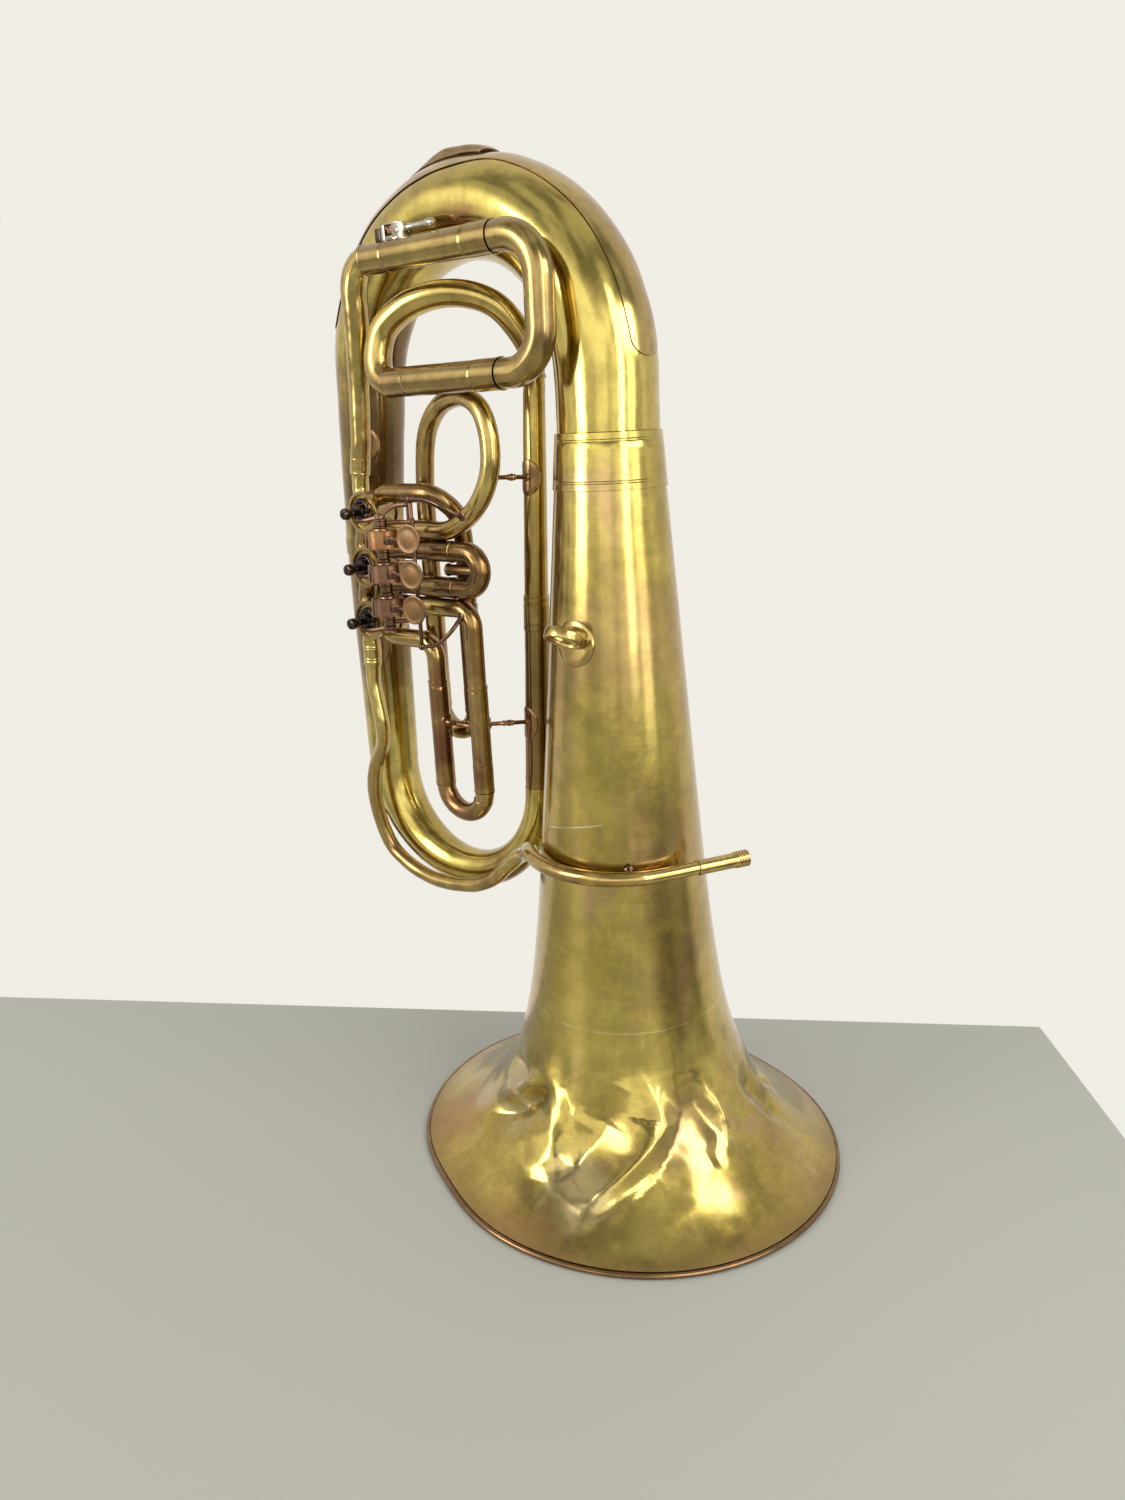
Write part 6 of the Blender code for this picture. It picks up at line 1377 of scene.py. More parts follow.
def make_stop(number, centre):
    """Front of a valve: hub and arm on the stem, the dark stop bridge behind them, corks and screws."""
    foot, body = (centre.x, 0, centre.z), "rotor_%d" % number
    stem = turned("stem_%d" % number, front([
        (0, HEAD_V - 0.0004), (0.0026, HEAD_V - 0.0004), (0.0044, HEAD_V + 0.0002), (0.0050, HEAD_V + 0.0014),
        (0.0050, HEAD_V + 0.0050), (0.0045, HEAD_V + 0.0058), (0.0032, HEAD_V + 0.0060), (0.0030, HEAD_V + 0.0064),
        (0.0030, HEAD_V + 0.0084), (0.0034, HEAD_V + 0.0086), (0.0037, HEAD_V + 0.0090), (0.0037, HEAD_V + 0.0114),
        (0.0034, HEAD_V + 0.0118), (0.0031, HEAD_V + 0.0120), (0.0031, STOP_V - 0.0032), (0.0064, STOP_V - 0.0030),
        (0.0067, STOP_V - 0.0026), (0.0067, STOP_V + 0.0012), (0, STOP_V + 0.0012)]), foot, FRONT, 40)
    slot = block("slot_%d" % number, (centre.x, HEAD_V - 0.0002, centre.z), (0.0120, 0.0020, 0.0011),
                 Matrix.Rotation(radians(25 + 40 * number), 4, "Y"), 0)
    worked_with(stem, "BOOLEAN", operation="DIFFERENCE", solver="EXACT", object=slot)
    bpy.data.objects.remove(slot)
    pin = centre + Vector((cos(PIN_ANGLE), 0, sin(PIN_ANGLE))) * PIN_REACH
    hub = Vector((centre.x, STOP_V - 0.0010, centre.z))
    past = hub + (Vector((pin.x, hub.y, pin.z)) - hub) * 1.24
    arm = bar("arm_%d" % number, hub, past, (0.0064, 0.0040), 0.0026, FRONT, 0.0007)
    peg = turned("peg_%d" % number, front([(0, PIN_TIP_V), (0.0015, PIN_TIP_V), (0.0019, PIN_TIP_V + 0.0004),
                                          (0.0019, STOP_V - 0.0024), (0.0026, STOP_V - 0.0022), (0.0026, STOP_V), (0, STOP_V)]),
                 (pin.x, 0, pin.z), FRONT, 20)
    stem = joined(stem, arm, peg)
    finished(lay(stem), DARK_STEEL, body)

    # Dark bridge on the face plate, over the top from one cork to the other
    bridge = []
    for angle in np.linspace(radians(10), radians(170), 26):
        bridge.append(Vector((centre.x + 0.0096 * cos(angle), -0.0719, centre.z + 0.0096 * sin(angle))))
    pieces = [drawn("bridge_%d" % number, bridge, [0.0017] * len(bridge), sides=12, flat=((0, 1, 0), 0.7))]
    for angle, top in ((10, -0.0762), (170, -0.0762), (90, -0.0752)):
        at = Vector((centre.x + 0.0096 * cos(radians(angle)), 0, centre.z + 0.0096 * sin(radians(angle))))
        pieces.append(turned("post_%d_%d" % (number, angle), front([
            (0, top), (0.0013, top), (0.0019, top + 0.0005), (0.0021, top + 0.0014), (0.0021, -0.0738), (0.0026, -0.0734),
            (0.0026, -0.0710), (0, -0.0710)]), at, FRONT, 20))
    stops = joined(*pieces)
    finished(lay(stops), DARK_STEEL)
    for angle in (-12, 192):
        at = Vector((centre.x + 0.0100 * cos(radians(angle)), 0, centre.z + 0.0100 * sin(radians(angle))))
        cork = turned("cork_%d_%d" % (number, angle), front([
            (0, -0.0762), (0.0013, -0.0762), (0.0016, -0.0757), (0.0016, -0.0712), (0, -0.0712)]), at, FRONT, 16)
        finished(lay(cork), DARK_CORK)
    for turn in range(4):
        angle = radians(45 + 90 * turn + 12 * number)
        at = Vector((centre.x + 0.0160 * cos(angle), 0, centre.z + 0.0160 * sin(angle)))
        screw = turned("plate_screw_%d_%d" % (number, turn), front([
            (0, -0.0713), (0.0006, -0.0713), (0.0011, -0.0710), (0.0012, -0.0704), (0, -0.0704)]), at, FRONT, 14)
        finished(lay(screw), FRAME_BROWN)


def make_link_tubes():
    for lower, upper in ((1, 2), (2, 3)):
        line = port_lead(lower, -1, 1, "w")
        end = port_lead(upper, -1, -1, "w")
        line = line + straight(line[-1], end[-1], 0.003)[1:-1] + list(reversed(end))
        total = reach_of(line)[-1]
        middle = total / 2
        profile = ring_marks((0, middle - 0.0070, KNUCKLE), (middle - 0.0070, middle - 0.0050, 0.0082),
                             (middle - 0.0050, middle + 0.0050, 0.0079), (middle + 0.0050, middle + 0.0070, 0.0082),
                             (middle + 0.0070, total, KNUCKLE))
        link = tube("link_pipe_%d%d" % (lower, upper), line, profile, TUBE_WALL, 32, 0.0001, 0.02, 13.0)
        finished(link, VALVE_BRASS, nodes=["link_tube_%d%d" % (lower, upper)], sharp=30)


# Valve slides

def leg(name, line, sleeve_at, ferrule_at, finish, node, seed, wide=SLEEVE):
    """A knuckle tube with a collar where its sleeve begins and a ferrule at its mouth."""
    total = reach_of(line)[-1]
    profile = [(0, KNUCKLE), (0.006, KNUCKLE), (0.030, 0.0081), (sleeve_at - 0.0009, 0.0081)]
    profile += ring_marks((sleeve_at - 0.0009, sleeve_at + 0.0009, wide + 0.0003), (sleeve_at + 0.0009, ferrule_at, wide),
                          (ferrule_at, total - 0.0013, wide + 0.0002), (total - 0.0013, total, wide + 0.0005))
    profile = scribed(profile, (sleeve_at + 0.0040, ferrule_at - 0.0004), 0.0003, 0.0005)
    piece = tube(name, line, profile, TUBE_WALL, 36, 0.00014, 0.025, seed)
    return finished(piece, finish, nodes=[node], sharp=30)


def crook_radii(total, inside, wide=0.0086):
    return ring_marks((0, inside, SLIDE_LEG), (inside, inside + 0.0012, wide + 0.0003), (inside + 0.0012, inside + 0.009, wide - 0.0002),
                      (inside + 0.009, total - inside - 0.009, wide), (total - inside - 0.009, total - inside - 0.0012, wide - 0.0002),
                      (total - inside - 0.0012, total - inside, wide + 0.0003), (total - inside, total, SLIDE_LEG))


def make_slide_1():
    for name, level, leg_u in (("slide_1_lower_leg", -1, SLIDE_1_LEFT_U), ("slide_1_upper_leg", 1, SLIDE_1_RIGHT_U)):
        lead = port_lead(1, 1, level, "u")
        down = cornered([lead[-1], (leg_u, TUBE_V, lead[-1].z), (leg_u, TUBE_V, SLIDE_1_END_W)], [SLIDE_BEND], 16)
        line = lead + down[1:]
        total = reach_of(line)[-1]
        sleeve = total - (VALVE_W - 0.0518 - SLIDE_1_END_W)
        leg(name + "_tube", line, sleeve, total - 0.0240, RED_BRASS, name, 14.0 + level)
    hanging_crook("slide_1_bow", "slide_crook_1", "slide_1", SLIDE_1_LEFT_U, SLIDE_1_RIGHT_U, TUBE_V, SLIDE_1_END_W, RED_BRASS)


def hanging_crook(name, node, body, left, right, v, mouth, finish):
    radius = (right - left) / 2
    centre = Vector(((left + right) / 2, v, mouth - GAP))
    line = straight((left, v, mouth + 0.060), centre - ACROSS * radius)[:-1] + bent(centre, radius, pi, 2 * pi, 40)
    line += straight(centre + ACROSS * radius, (right, v, mouth + 0.060))[1:]
    total = reach_of(line)[-1]
    crook = tube(name, line, crook_radii(total, 0.0606), TUBE_WALL, 36, 0.00014, 0.025, 15.0)
    finished(crook, finish, body, [node], sharp=30)


def make_slide_2():
    heights = []
    for name, level in (("slide_2_lower_leg", -1), ("slide_2_upper_leg", 1)):
        lead = port_lead(2, 1, level, "u")
        heights.append(lead[-1].z)
        line = lead + straight(lead[-1], (SLIDE_2_END_U, TUBE_V, lead[-1].z))[1:]
        total = reach_of(line)[-1]
        leg(name + "_tube", line, 0.016, total - 0.0240, VALVE_BRASS, name, 17.0 + level)
    low, high = heights
    radius = (high - low) / 2
    centre = Vector((VALVE_U + 0.1133, TUBE_V, (low + high) / 2))
    inner = SLIDE_2_END_U - 0.040
    line = straight((inner, TUBE_V, low), centre - UP * radius)[:-1] + bent(centre, radius, -pi / 2, pi / 2, 36)
    line += straight(centre + UP * radius, (inner, TUBE_V, high))[1:]
    total = reach_of(line)[-1]
    crook = tube("slide_2_bow", line, crook_radii(total, 0.0403, 0.0088), TUBE_WALL, 36, 0.00014, 0.025, 19.0)
    finished(crook, VALVE_BRASS, "slide_2", ["slide_crook_2"], sharp=30)
    stub = turned("slide_2_stub", [(0, 0.0008), (0.0030, 0.0006), (0.0048, 0), (0.0055, 0.0006), (0.0056, 0.0016), (0.0048, 0.0024),
                                   (0.0046, 0.0285), (0.0044, 0.0295), (0, 0.0295)],
                  (centre.x + radius - 0.0375, TUBE_V, centre.z), ACROSS, 24)
    finished(lay(stub), VALVE_BRASS, "slide_2")


LOOP_BENDS = ((0.0435, 0.0, 0.0), (0.0705, 0.0, 0.004), (0.1005, 0.0, 0.137), (0.1190, 0.0, 0.357), (0.1220, 0.0005, 0.590),
              (0.1135, 0.0020, 0.786), (0.0905, 0.0080, 0.881), (0.0585, 0.0140, 0.840), (0.0355, 0.0190, 0.673),
              (0.0245, 0.0220, 0.333))


def loop_bends():
    port = port_lead(3, 1, -1, "u")[-1]
    return [port + Vector((u, v, (MAIN_LOWER_W - port.z) * share)) for u, v, share in LOOP_BENDS]


def make_slide_3():
    lead = port_lead(3, 1, -1, "u")
    top = Vector((SLIDE_3_LEFT_U, SLIDE_3_V, SLIDE_3_TOP_W))
    flow = flowing([lead[-1]] + loop_bends() + [top + UP * 0.030, top])
    line = lead[:-1] + flow + straight(top, (top.x, top.y, SLIDE_3_END_W))[1:]
    total = reach_of(line)[-1]
    sleeve = total - (SLIDE_3_TOP_W - SLIDE_3_END_W)
    leg("third_loop_tube", line, sleeve, total - 0.0210, TUBE_BRASS, "third_loop", 21.0)
    lead = port_lead(3, 1, 1, "u")
    port = lead[-1]
    bends = [port + Vector(bend) for bend in ((0.0200, 0.0, 0.0), (0.0345, 0.0, 0.0), (0.0485, 0.0020, -0.0008),
                                              (0.0585, 0.0085, -0.0075), (0.0640, 0.0175, -0.0190))]
    flow = flowing([port] + bends + [Vector((SLIDE_3_RIGHT_U, SLIDE_3_V, port.z - 0.035)),
                                     Vector((SLIDE_3_RIGHT_U, SLIDE_3_V, SLIDE_3_TOP_W))])
    line = lead[:-1] + flow + straight((SLIDE_3_RIGHT_U, SLIDE_3_V, SLIDE_3_TOP_W), (SLIDE_3_RIGHT_U, SLIDE_3_V, SLIDE_3_END_W))[1:]
    total = reach_of(line)[-1]
    leg("third_return_tube", line, total - (SLIDE_3_TOP_W - SLIDE_3_END_W), total - 0.0210, VALVE_BRASS, "third_return", 22.0)
    hanging_crook("slide_3_bow", "slide_crook_3", "slide_3", SLIDE_3_LEFT_U, SLIDE_3_RIGHT_U, SLIDE_3_V, SLIDE_3_END_W, BROWN_BRASS)


# Key machine

def drum_level(number):
    return valve_centre(2).z + 0.0016 + DRUM_PITCH * (number - 2)


def make_key(number):
    level = drum_level(number)
    axle = Vector((AXLE_U, AXLE_V, level))
    half, out_r = DRUM_HALF, DRUM_RADIUS
    drum = turned("drum_%d" % number, [
        (out_r, half - 0.0010), (out_r + 0.0003, half - 0.0008), (out_r + 0.0003, half), (out_r - 0.0006, half + 0.0002),
        (0.0070, half + 0.0002), (0.0066, half + 0.0012), (0.0036, half + 0.0012), (0.0036, -half), (0.0052, -half), (0.0052, half - 0.0014),
        (out_r - 0.0014, half - 0.0014), (out_r - 0.0014, -half), (out_r + 0.0003, -half), (out_r + 0.0003, -half + 0.0008),
        (out_r, -half + 0.0010)], axle, UP, 64, ring=True)
    lay(drum)
    body = "key_%d" % number
    finished(drum, ORANGE_COPPER if number == 3 else DRUM_COPPER, body, ["key_%d" % number], sharp=32)

    coil = []
    for step in range(0, 150):
        turn = 2 * pi * step / 26
        radius = 0.0060 + 0.0052 * step / 149
        coil.append(Vector((AXLE_U + radius * cos(turn), AXLE_V + radius * sin(turn), level - 0.0008)))
    spring = drawn("clock_spring_%d" % number, coil, [0.00022] * len(coil), sides=4)
    reshaped(spring, lambda places: np.stack([places[:, 0], places[:, 1], level - 0.0008 + (places[:, 2] - level + 0.0008) * 22], 1))
    finished(lay(spring), DARK_STEEL, body)

    touch = axle + TOUCH_AT
    reach = Vector((TOUCH_AT.x, TOUCH_AT.y, 0)).normalized()
    lever_start = axle + reach * (out_r - 0.0008) + UP * 0.0004
    lever = bar("lever_%d" % number, lever_start, touch + BACK * 0.0010, (0.0046, 0.0036), 0.0026, UP, 0.0008)
    socket = bar("socket_%d" % number, axle + reach * (out_r - 0.0006), axle + reach * (out_r + 0.0060), (0.0080, 0.0056), 0.0070, UP, 0.0010)
    out = Vector((cos(CRANK_ANGLE), sin(CRANK_ANGLE), 0))
    pin = Vector((AXLE_U, AXLE_V, link_level(number))) + out * CRANK_REACH
    heel = Vector((pin.x, pin.y, level))
    crank = bar("crank_%d" % number, axle + out * (out_r - 0.0008), heel + out * 0.0024, (0.0060, 0.0040), 0.0026, UP, 0.0008)
    rise = 1 if pin.z > level else -1
    post = turned("crank_pin_%d" % number, [(0, 0), (0.0021, 0), (0.0024, 0.0004), (0.0024, 0.0012), (0.0016, 0.0016),
                                            (0.0016, abs(pin.z - level) - 0.0006), (0, abs(pin.z - level) - 0.0006)],
                  heel - UP * rise * 0.0010, UP * rise, 20)
    tab = block("drum_tab_%d" % number, axle + Vector((-0.4, -0.91, 0)) * (out_r + 0.0004), (0.0026, 0.0012, 2 * half - 0.0012),
                Matrix.Rotation(radians(-24), 4, "Z"), 0.0003)
    arms = joined(lever, socket, crank, post, tab)
    finished(lay(arms), FRAME_BROWN, body)
    plate = turned("touch_plate_%d" % number, [(0, -0.0008), (0.0104, -0.0008), (0.0113, -0.0004), (0.0116, 0.0002), (0.0114, 0.0008),
                                               (0.0108, 0.0010), (0.0100, 0.0008), (0.0060, 0.0011), (0, 0.0012)],
                   touch, (0.14, -0.99, 0.02), 56)
    finished(lay(plate), TOUCH_BRASS, body, sharp=50)


def link_level(number):
    return valve_centre(number).z + PIN_REACH * sin(PIN_ANGLE) + LINK_RISE


def make_link(number):
    pin = Vector((AXLE_U, AXLE_V, link_level(number))) + Vector((cos(CRANK_ANGLE), sin(CRANK_ANGLE), 0)) * CRANK_REACH
    centre = valve_centre(number)
    stop = Vector((centre.x + cos(PIN_ANGLE) * PIN_REACH, PIN_TIP_V - 0.0023, centre.z + sin(PIN_ANGLE) * PIN_REACH))
    line = flowing([stop - ACROSS * 0.0015, stop + ACROSS * 0.0080, stop.lerp(pin, 0.45) - UP * 0.0022,
                    stop.lerp(pin, 0.72) + UP * 0.0022, pin + ACROSS * 0.0015], 0.0018)
    strip = drawn("link_strip_%d" % number, line, [0.0020] * len(line), sides=16, flat=((0, 1, 0), 0.38))
    rings = []
    for name, at, axis in (("stop_eye", stop, FRONT), ("pin_eye", pin, UP)):
        rings.append(turned("%s_%d" % (name, number), [(0, -0.0012), (0.0027, -0.0012), (0.0031, -0.0006), (0.0031, 0.0006),
                                                       (0.0027, 0.0012), (0.0016, 0.0014), (0, 0.0014)], at, axis, 24))
    strip = joined(strip, *rings)
    finished(lay(strip), FRAME_BROWN, "link_%d" % number, ["link_%d" % number])


def make_key_frame():
    bottom, top = drum_level(1) - 0.0225, drum_level(3) + 0.0200
    axle = turned("axle_rod", [(0, top + 0.0002), (0.0034, top + 0.0002), (0.0046, top - 0.0006), (0.0046, top - 0.0023), (0.0030, top - 0.0026),
                               (0.0030, bottom + 0.0026), (0.0046, bottom + 0.0023), (0.0046, bottom + 0.0006),
                               (0.0034, bottom - 0.0002), (0, bottom - 0.0002)], (AXLE_U, AXLE_V, 0), UP, 28)
    finished(lay(axle), DRUM_COPPER, nodes=["key_axle"])

    rail_bottom, rail_top = Vector((RAIL_U, RAIL_V, bottom - 0.0145)), Vector((RAIL_U, RAIL_V, top + 0.0110))
    length = (rail_top - rail_bottom).length
    profile = [(0, -0.0034)]
    for step in range(1, 8):
        angle = radians(-90 + 22 * step)
        profile.append((0.0034 * cos(angle), 0.0034 * sin(angle)))
    profile = profile + [(0.0018, 0.0036)] + [(radius, length - z) for radius, z in reversed(profile + [(0.0018, 0.0036)])]
    pieces = [turned("rail", profile, rail_bottom, UP, 20)]
    half = DRUM_HALF + 0.0004
    levels = [drum_level(number) for number in (1, 2, 3)]
    spans = [(bottom + 0.0032, levels[0] - half - GAP)]
    spans += [(low + half + 0.0012, high - half - GAP) for low, high in zip(levels, levels[1:])]
    spans.append((levels[-1] + half + 0.0012, top - 0.0032))
    axle_at, rail_at = Vector((AXLE_U, AXLE_V, 0)), Vector((RAIL_U, RAIL_V, 0))
    out = (rail_at - axle_at).normalized()
    for index, (low, high) in enumerate(spans):
        tall = high - low
        pieces.append(turned("bearing_%d" % index, [
            (0.0034, high), (0.0048, high), (0.0056, high - 0.0006), (0.0056, high - tall * 0.22), (0.0046, high - tall * 0.30),
            (0.0046, low + tall * 0.30), (0.0056, low + tall * 0.22), (0.0056, low + 0.0006), (0.0048, low), (0.0034, low)],
            axle_at, UP, 28, ring=True))
        middle = UP * (low + high) / 2
        pieces.append(bar("frame_arm_%d" % index, axle_at + out * 0.0045 + middle, rail_at + middle, (0.0036, 0.0024), 0.0042, UP.cross(out), 0.0008))
        pieces.append(turned("arm_boss_%d" % index, [(0, -0.0026), (0.0022, -0.0026), (0.0027, -0.0020), (0.0027, 0.0020), (0.0022, 0.0026), (0, 0.0026)],
                             rail_at + middle, UP, 18))
    frame_piece = joined(*pieces)
    finished(lay(frame_piece), FRAME_BROWN, nodes=["key_frame"])
    make_stays(rail_bottom, rail_top)


def make_stays(rail_bottom, rail_top):
    seat_v = TUBE_V - KNUCKLE - 0.0006
    loop = loop_bends()
    above = loop[1].lerp(loop[2], 0.77)
    corner = port_lead(1, 1, 1, "u")[-1].z
    below = Vector((SLIDE_1_RIGHT_U, TUBE_V, corner)) - Vector((1, 0, 1)) * SLIDE_BEND * 0.35
    for name, end, held, bends in (
        ("stay_upper", rail_top, above, ((0.45, 0.0, 0.08), (0.81, 0.14, 0.43), (0.976, 0.70, 0.89))),
        ("stay_lower", rail_bottom, below, ((0.50, 0.0, 0.12), (0.97, 0.28, 0.61))),
    ):
        start = end + Vector((0.0030, 0, 0))
        finish = Vector((held.x, seat_v, held.z))
        way = finish - start
        points = [start] + [start + Vector((way.x * u, way.y * v, way.z * w)) for u, v, w in bends] + [finish]
        line = flowing(points, 0.002)
        wire = drawn(name + "_wire", line, [0.0018] * len(line), sides=16)
        plate = turned(name + "_foot", [(0, 0), (0.0040, 0), (0.0040, 0.0005), (0.0030, 0.0011), (0, 0.0012)], finish + BACK * 0.0008, FRONT, 24)
        wire = joined(wire, plate)
        finished(lay(wire), FRAME_BROWN, nodes=[name])


# Braces

def baluster(name, start, end, finish, node, flanges=(), beads=3):
    """A turned strut between two tubes, with an oval plate on each tube."""
    start, end = Vector(start), Vector(end)
    length = (end - start).length
    slim, knob = 0.0019, 0.0031
    profile = [(0, 0), (0.0036, 0), (0.0034, 0.0008), (slim, 0.0018)]
    middle, pitch = length / 2, 0.0030
    for bead in range(beads):
        at = middle + (bead - (beads - 1) / 2) * pitch
        tall = knob if bead == beads // 2 else knob * 0.86
        profile += [(slim, at - 0.0014), (tall * 0.86, at - 0.0009), (tall, at), (tall * 0.86, at + 0.0009), (slim, at + 0.0014)]
    profile += [(slim, length - 0.0018), (0.0034, length - 0.0008), (0.0036, length), (0, length)]
    profile = [profile[0]] + [station for station in profile[1:-1] if 0 <= station[1] <= length] + [profile[-1]]
    strut = turned(name, profile, start, end - start, 24)
    pieces = [strut] + list(flanges)
    strut = joined(*pieces)
    finished(lay(strut), finish, nodes=[node])


def inner_branch_at(w):
    share = (w - INNER_FOOT.z) / (INNER_HEAD.z - INNER_FOOT.z)
    return INNER_FOOT.lerp(INNER_HEAD, share), taper_at(INNER_TAPER, share)


def make_braces():
    inner_run = INNER_HEAD - INNER_FOOT
    start = loop_bends()[3]
    branch, radius = inner_branch_at(start.z - 0.003)
    run = (branch - start).normalized()
    plate = saddle("flange_upper", branch, inner_run, start - branch, radius, 0.0150, 0.0120)
    baluster("strut_upper", start + run * 0.0080, branch - run * (radius + 0.0004), COPPER_BRASS, "brace_upper", [plate])

    start = Vector((SLIDE_1_RIGHT_U, TUBE_V, SLIDE_1_END_W + 0.061))
    branch, radius = inner_branch_at(start.z - 0.008)
    run = (branch - start).normalized()
    plate = saddle("flange_lower", branch, inner_run, start - branch, radius, 0.0155, 0.0120)
    small = saddle("flange_lower_leg", start, UP, run, SLEEVE, 0.0060, 0.0050)
    baluster("strut_lower", start + run * (SLEEVE + 0.0004), branch - run * (radius + 0.0004), COPPER_BRASS, "brace_lower", [plate, small], 4)

    level = SLIDE_1_END_W + 0.058
    left, right = Vector((SLIDE_1_LEFT_U, TUBE_V, level)), Vector((SLIDE_1_RIGHT_U, TUBE_V, level))
    plates = [saddle("flange_slide_1_left", left, UP, ACROSS, SLEEVE, 0.0080, 0.0070),
              saddle("flange_slide_1_right", right, UP, -ACROSS, SLEEVE, 0.0080, 0.0070)]
    baluster("strut_slide_1", left + ACROSS * (SLEEVE + 0.0004), right - ACROSS * (SLEEVE + 0.0004), COPPER_BRASS, "brace_slide_1", plates)

    brace_u = MAIN_END_U - 0.013
    arm = Vector((brace_u + BOW_RADIUS, 0, MAIN_UPPER_W - BOW_CENTRE_W))
    degrees = atan2(arm.z, arm.x) * 180 / pi
    off = arm.length - BOW_RADIUS
    depth = sqrt(taper_at(BOW_TAPER, degrees) ** 2 - off ** 2)
    start = Vector((brace_u, MAIN_V + 0.0121, MAIN_UPPER_W))
    end = Vector((brace_u, -depth + 0.0006, MAIN_UPPER_W))
    plate = saddle("flange_main", (brace_u, MAIN_V, MAIN_UPPER_W), ACROSS, BACK, 0.0122, 0.0080, 0.0070)
    baluster("strut_main", start, end, COPPER_BRASS, "brace_main_slide", [plate], 1)

    port = port_lead(3, -1, 1, "w")[-1]
    way = Vector((MAIN_UPPER_U, MAIN_V, MAIN_UPPER_W)) - port
    start = port + Vector((way.x * 0.162, way.y * 0.125, way.z * 0.210))
    leg_u = np.interp(start.z, [BOW_END_W + END_STRAIGHT, BOW_LEG_W], [OUTER_U, BOW_LEG_U])
    leg_radius = np.interp(start.z, [BOW_END_W, BOW_LEG_W], [BOW_END_RADIUS, 0.0306])
    target = Vector((leg_u, 0, start.z))
    run = (target - start).normalized()
    plates = [saddle("flange_outer_upper", target, Vector((BOW_LEG_U - OUTER_U, 0, BOW_LEG_W - BOW_END_W)), start - target, leg_radius, 0.0150, 0.0110),
              saddle("flange_exit", start, UP, run, 0.0087, 0.0090, 0.0080)]
    baluster("strut_outer_upper", start + run * 0.0088, target - run * leg_radius, COPPER_BRASS, "brace_outer_upper", plates, 1)

    port = port_lead(1, -1, -1, "w")[-1]
    start = port - UP * 0.018
    share = (BOW_END_W - start.z) / (BOW_END_W - SMALL_BOW_END_W)
    radius = taper_at(OUTER_TAPER, share)
    target = Vector((OUTER_U - BRANCH_DRIFT * share, 0, start.z))
    run = (target - start).normalized()
    plates = [saddle("flange_outer_lower", target, UP, start - target, radius, 0.0150, 0.0110),
              saddle("flange_lead", start, UP, run, 0.0083, 0.0080, 0.0070)]
    baluster("strut_outer_lower", start + run * 0.0084, target - run * radius, COPPER_BRASS, "brace_outer_lower", plates, 1)


# Small fittings

def make_strap_ring():
    surface = float(bell_radius(STRAP_W))
    foot = Vector((0, -surface, STRAP_W))
    plate = saddle("strap_plate", (0, 0, STRAP_W - BELL_TAPER * surface), (0, BELL_TAPER, 1), FRONT, surface + 0.0005, 0.0190, 0.0180, 0.0014)
    out = Vector((0, -cos(radians(30)), sin(radians(30))))
    axis = Vector((0, sin(radians(30)), cos(radians(30))))
    middle = foot + out * (0.0160 - 0.0013)
    ring = turned("strap_loop", [(0.0160, 0.0036), (0.0162, 0.0020), (0.0163, 0), (0.0162, -0.0020), (0.0160, -0.0036), (0.0154, -0.0045), (0.0142, -0.0045),
                                 (0.0135, -0.0036), (0.0134, 0), (0.0135, 0.0036), (0.0142, 0.0045), (0.0154, 0.0045)], middle, axis, 64, ring=True)
    lay(plate)
    finished(plate, PLATE_OF_RING, nodes=["strap_ring"])
    finished(lay(ring), PLATE_OF_RING)
    pieces = []
    for index, (across, up) in enumerate(((-0.0125, 0.004), (0.0125, 0.004), (0.0, -0.0135))):
        seat = Vector((across, -sqrt(surface ** 2 - across ** 2) - 0.0012 - up * BELL_TAPER * 0, STRAP_W + up))
        pieces.append(turned("strap_screw_%d" % index, [(0, 0.0010), (0.0012, 0.0009), (0.0019, 0.0004), (0.0021, -0.0004), (0, -0.0004)],
                             seat, Vector((across, seat.y, 0)), 18))
    finished(lay(joined(*pieces)), PLATE_OF_RING)


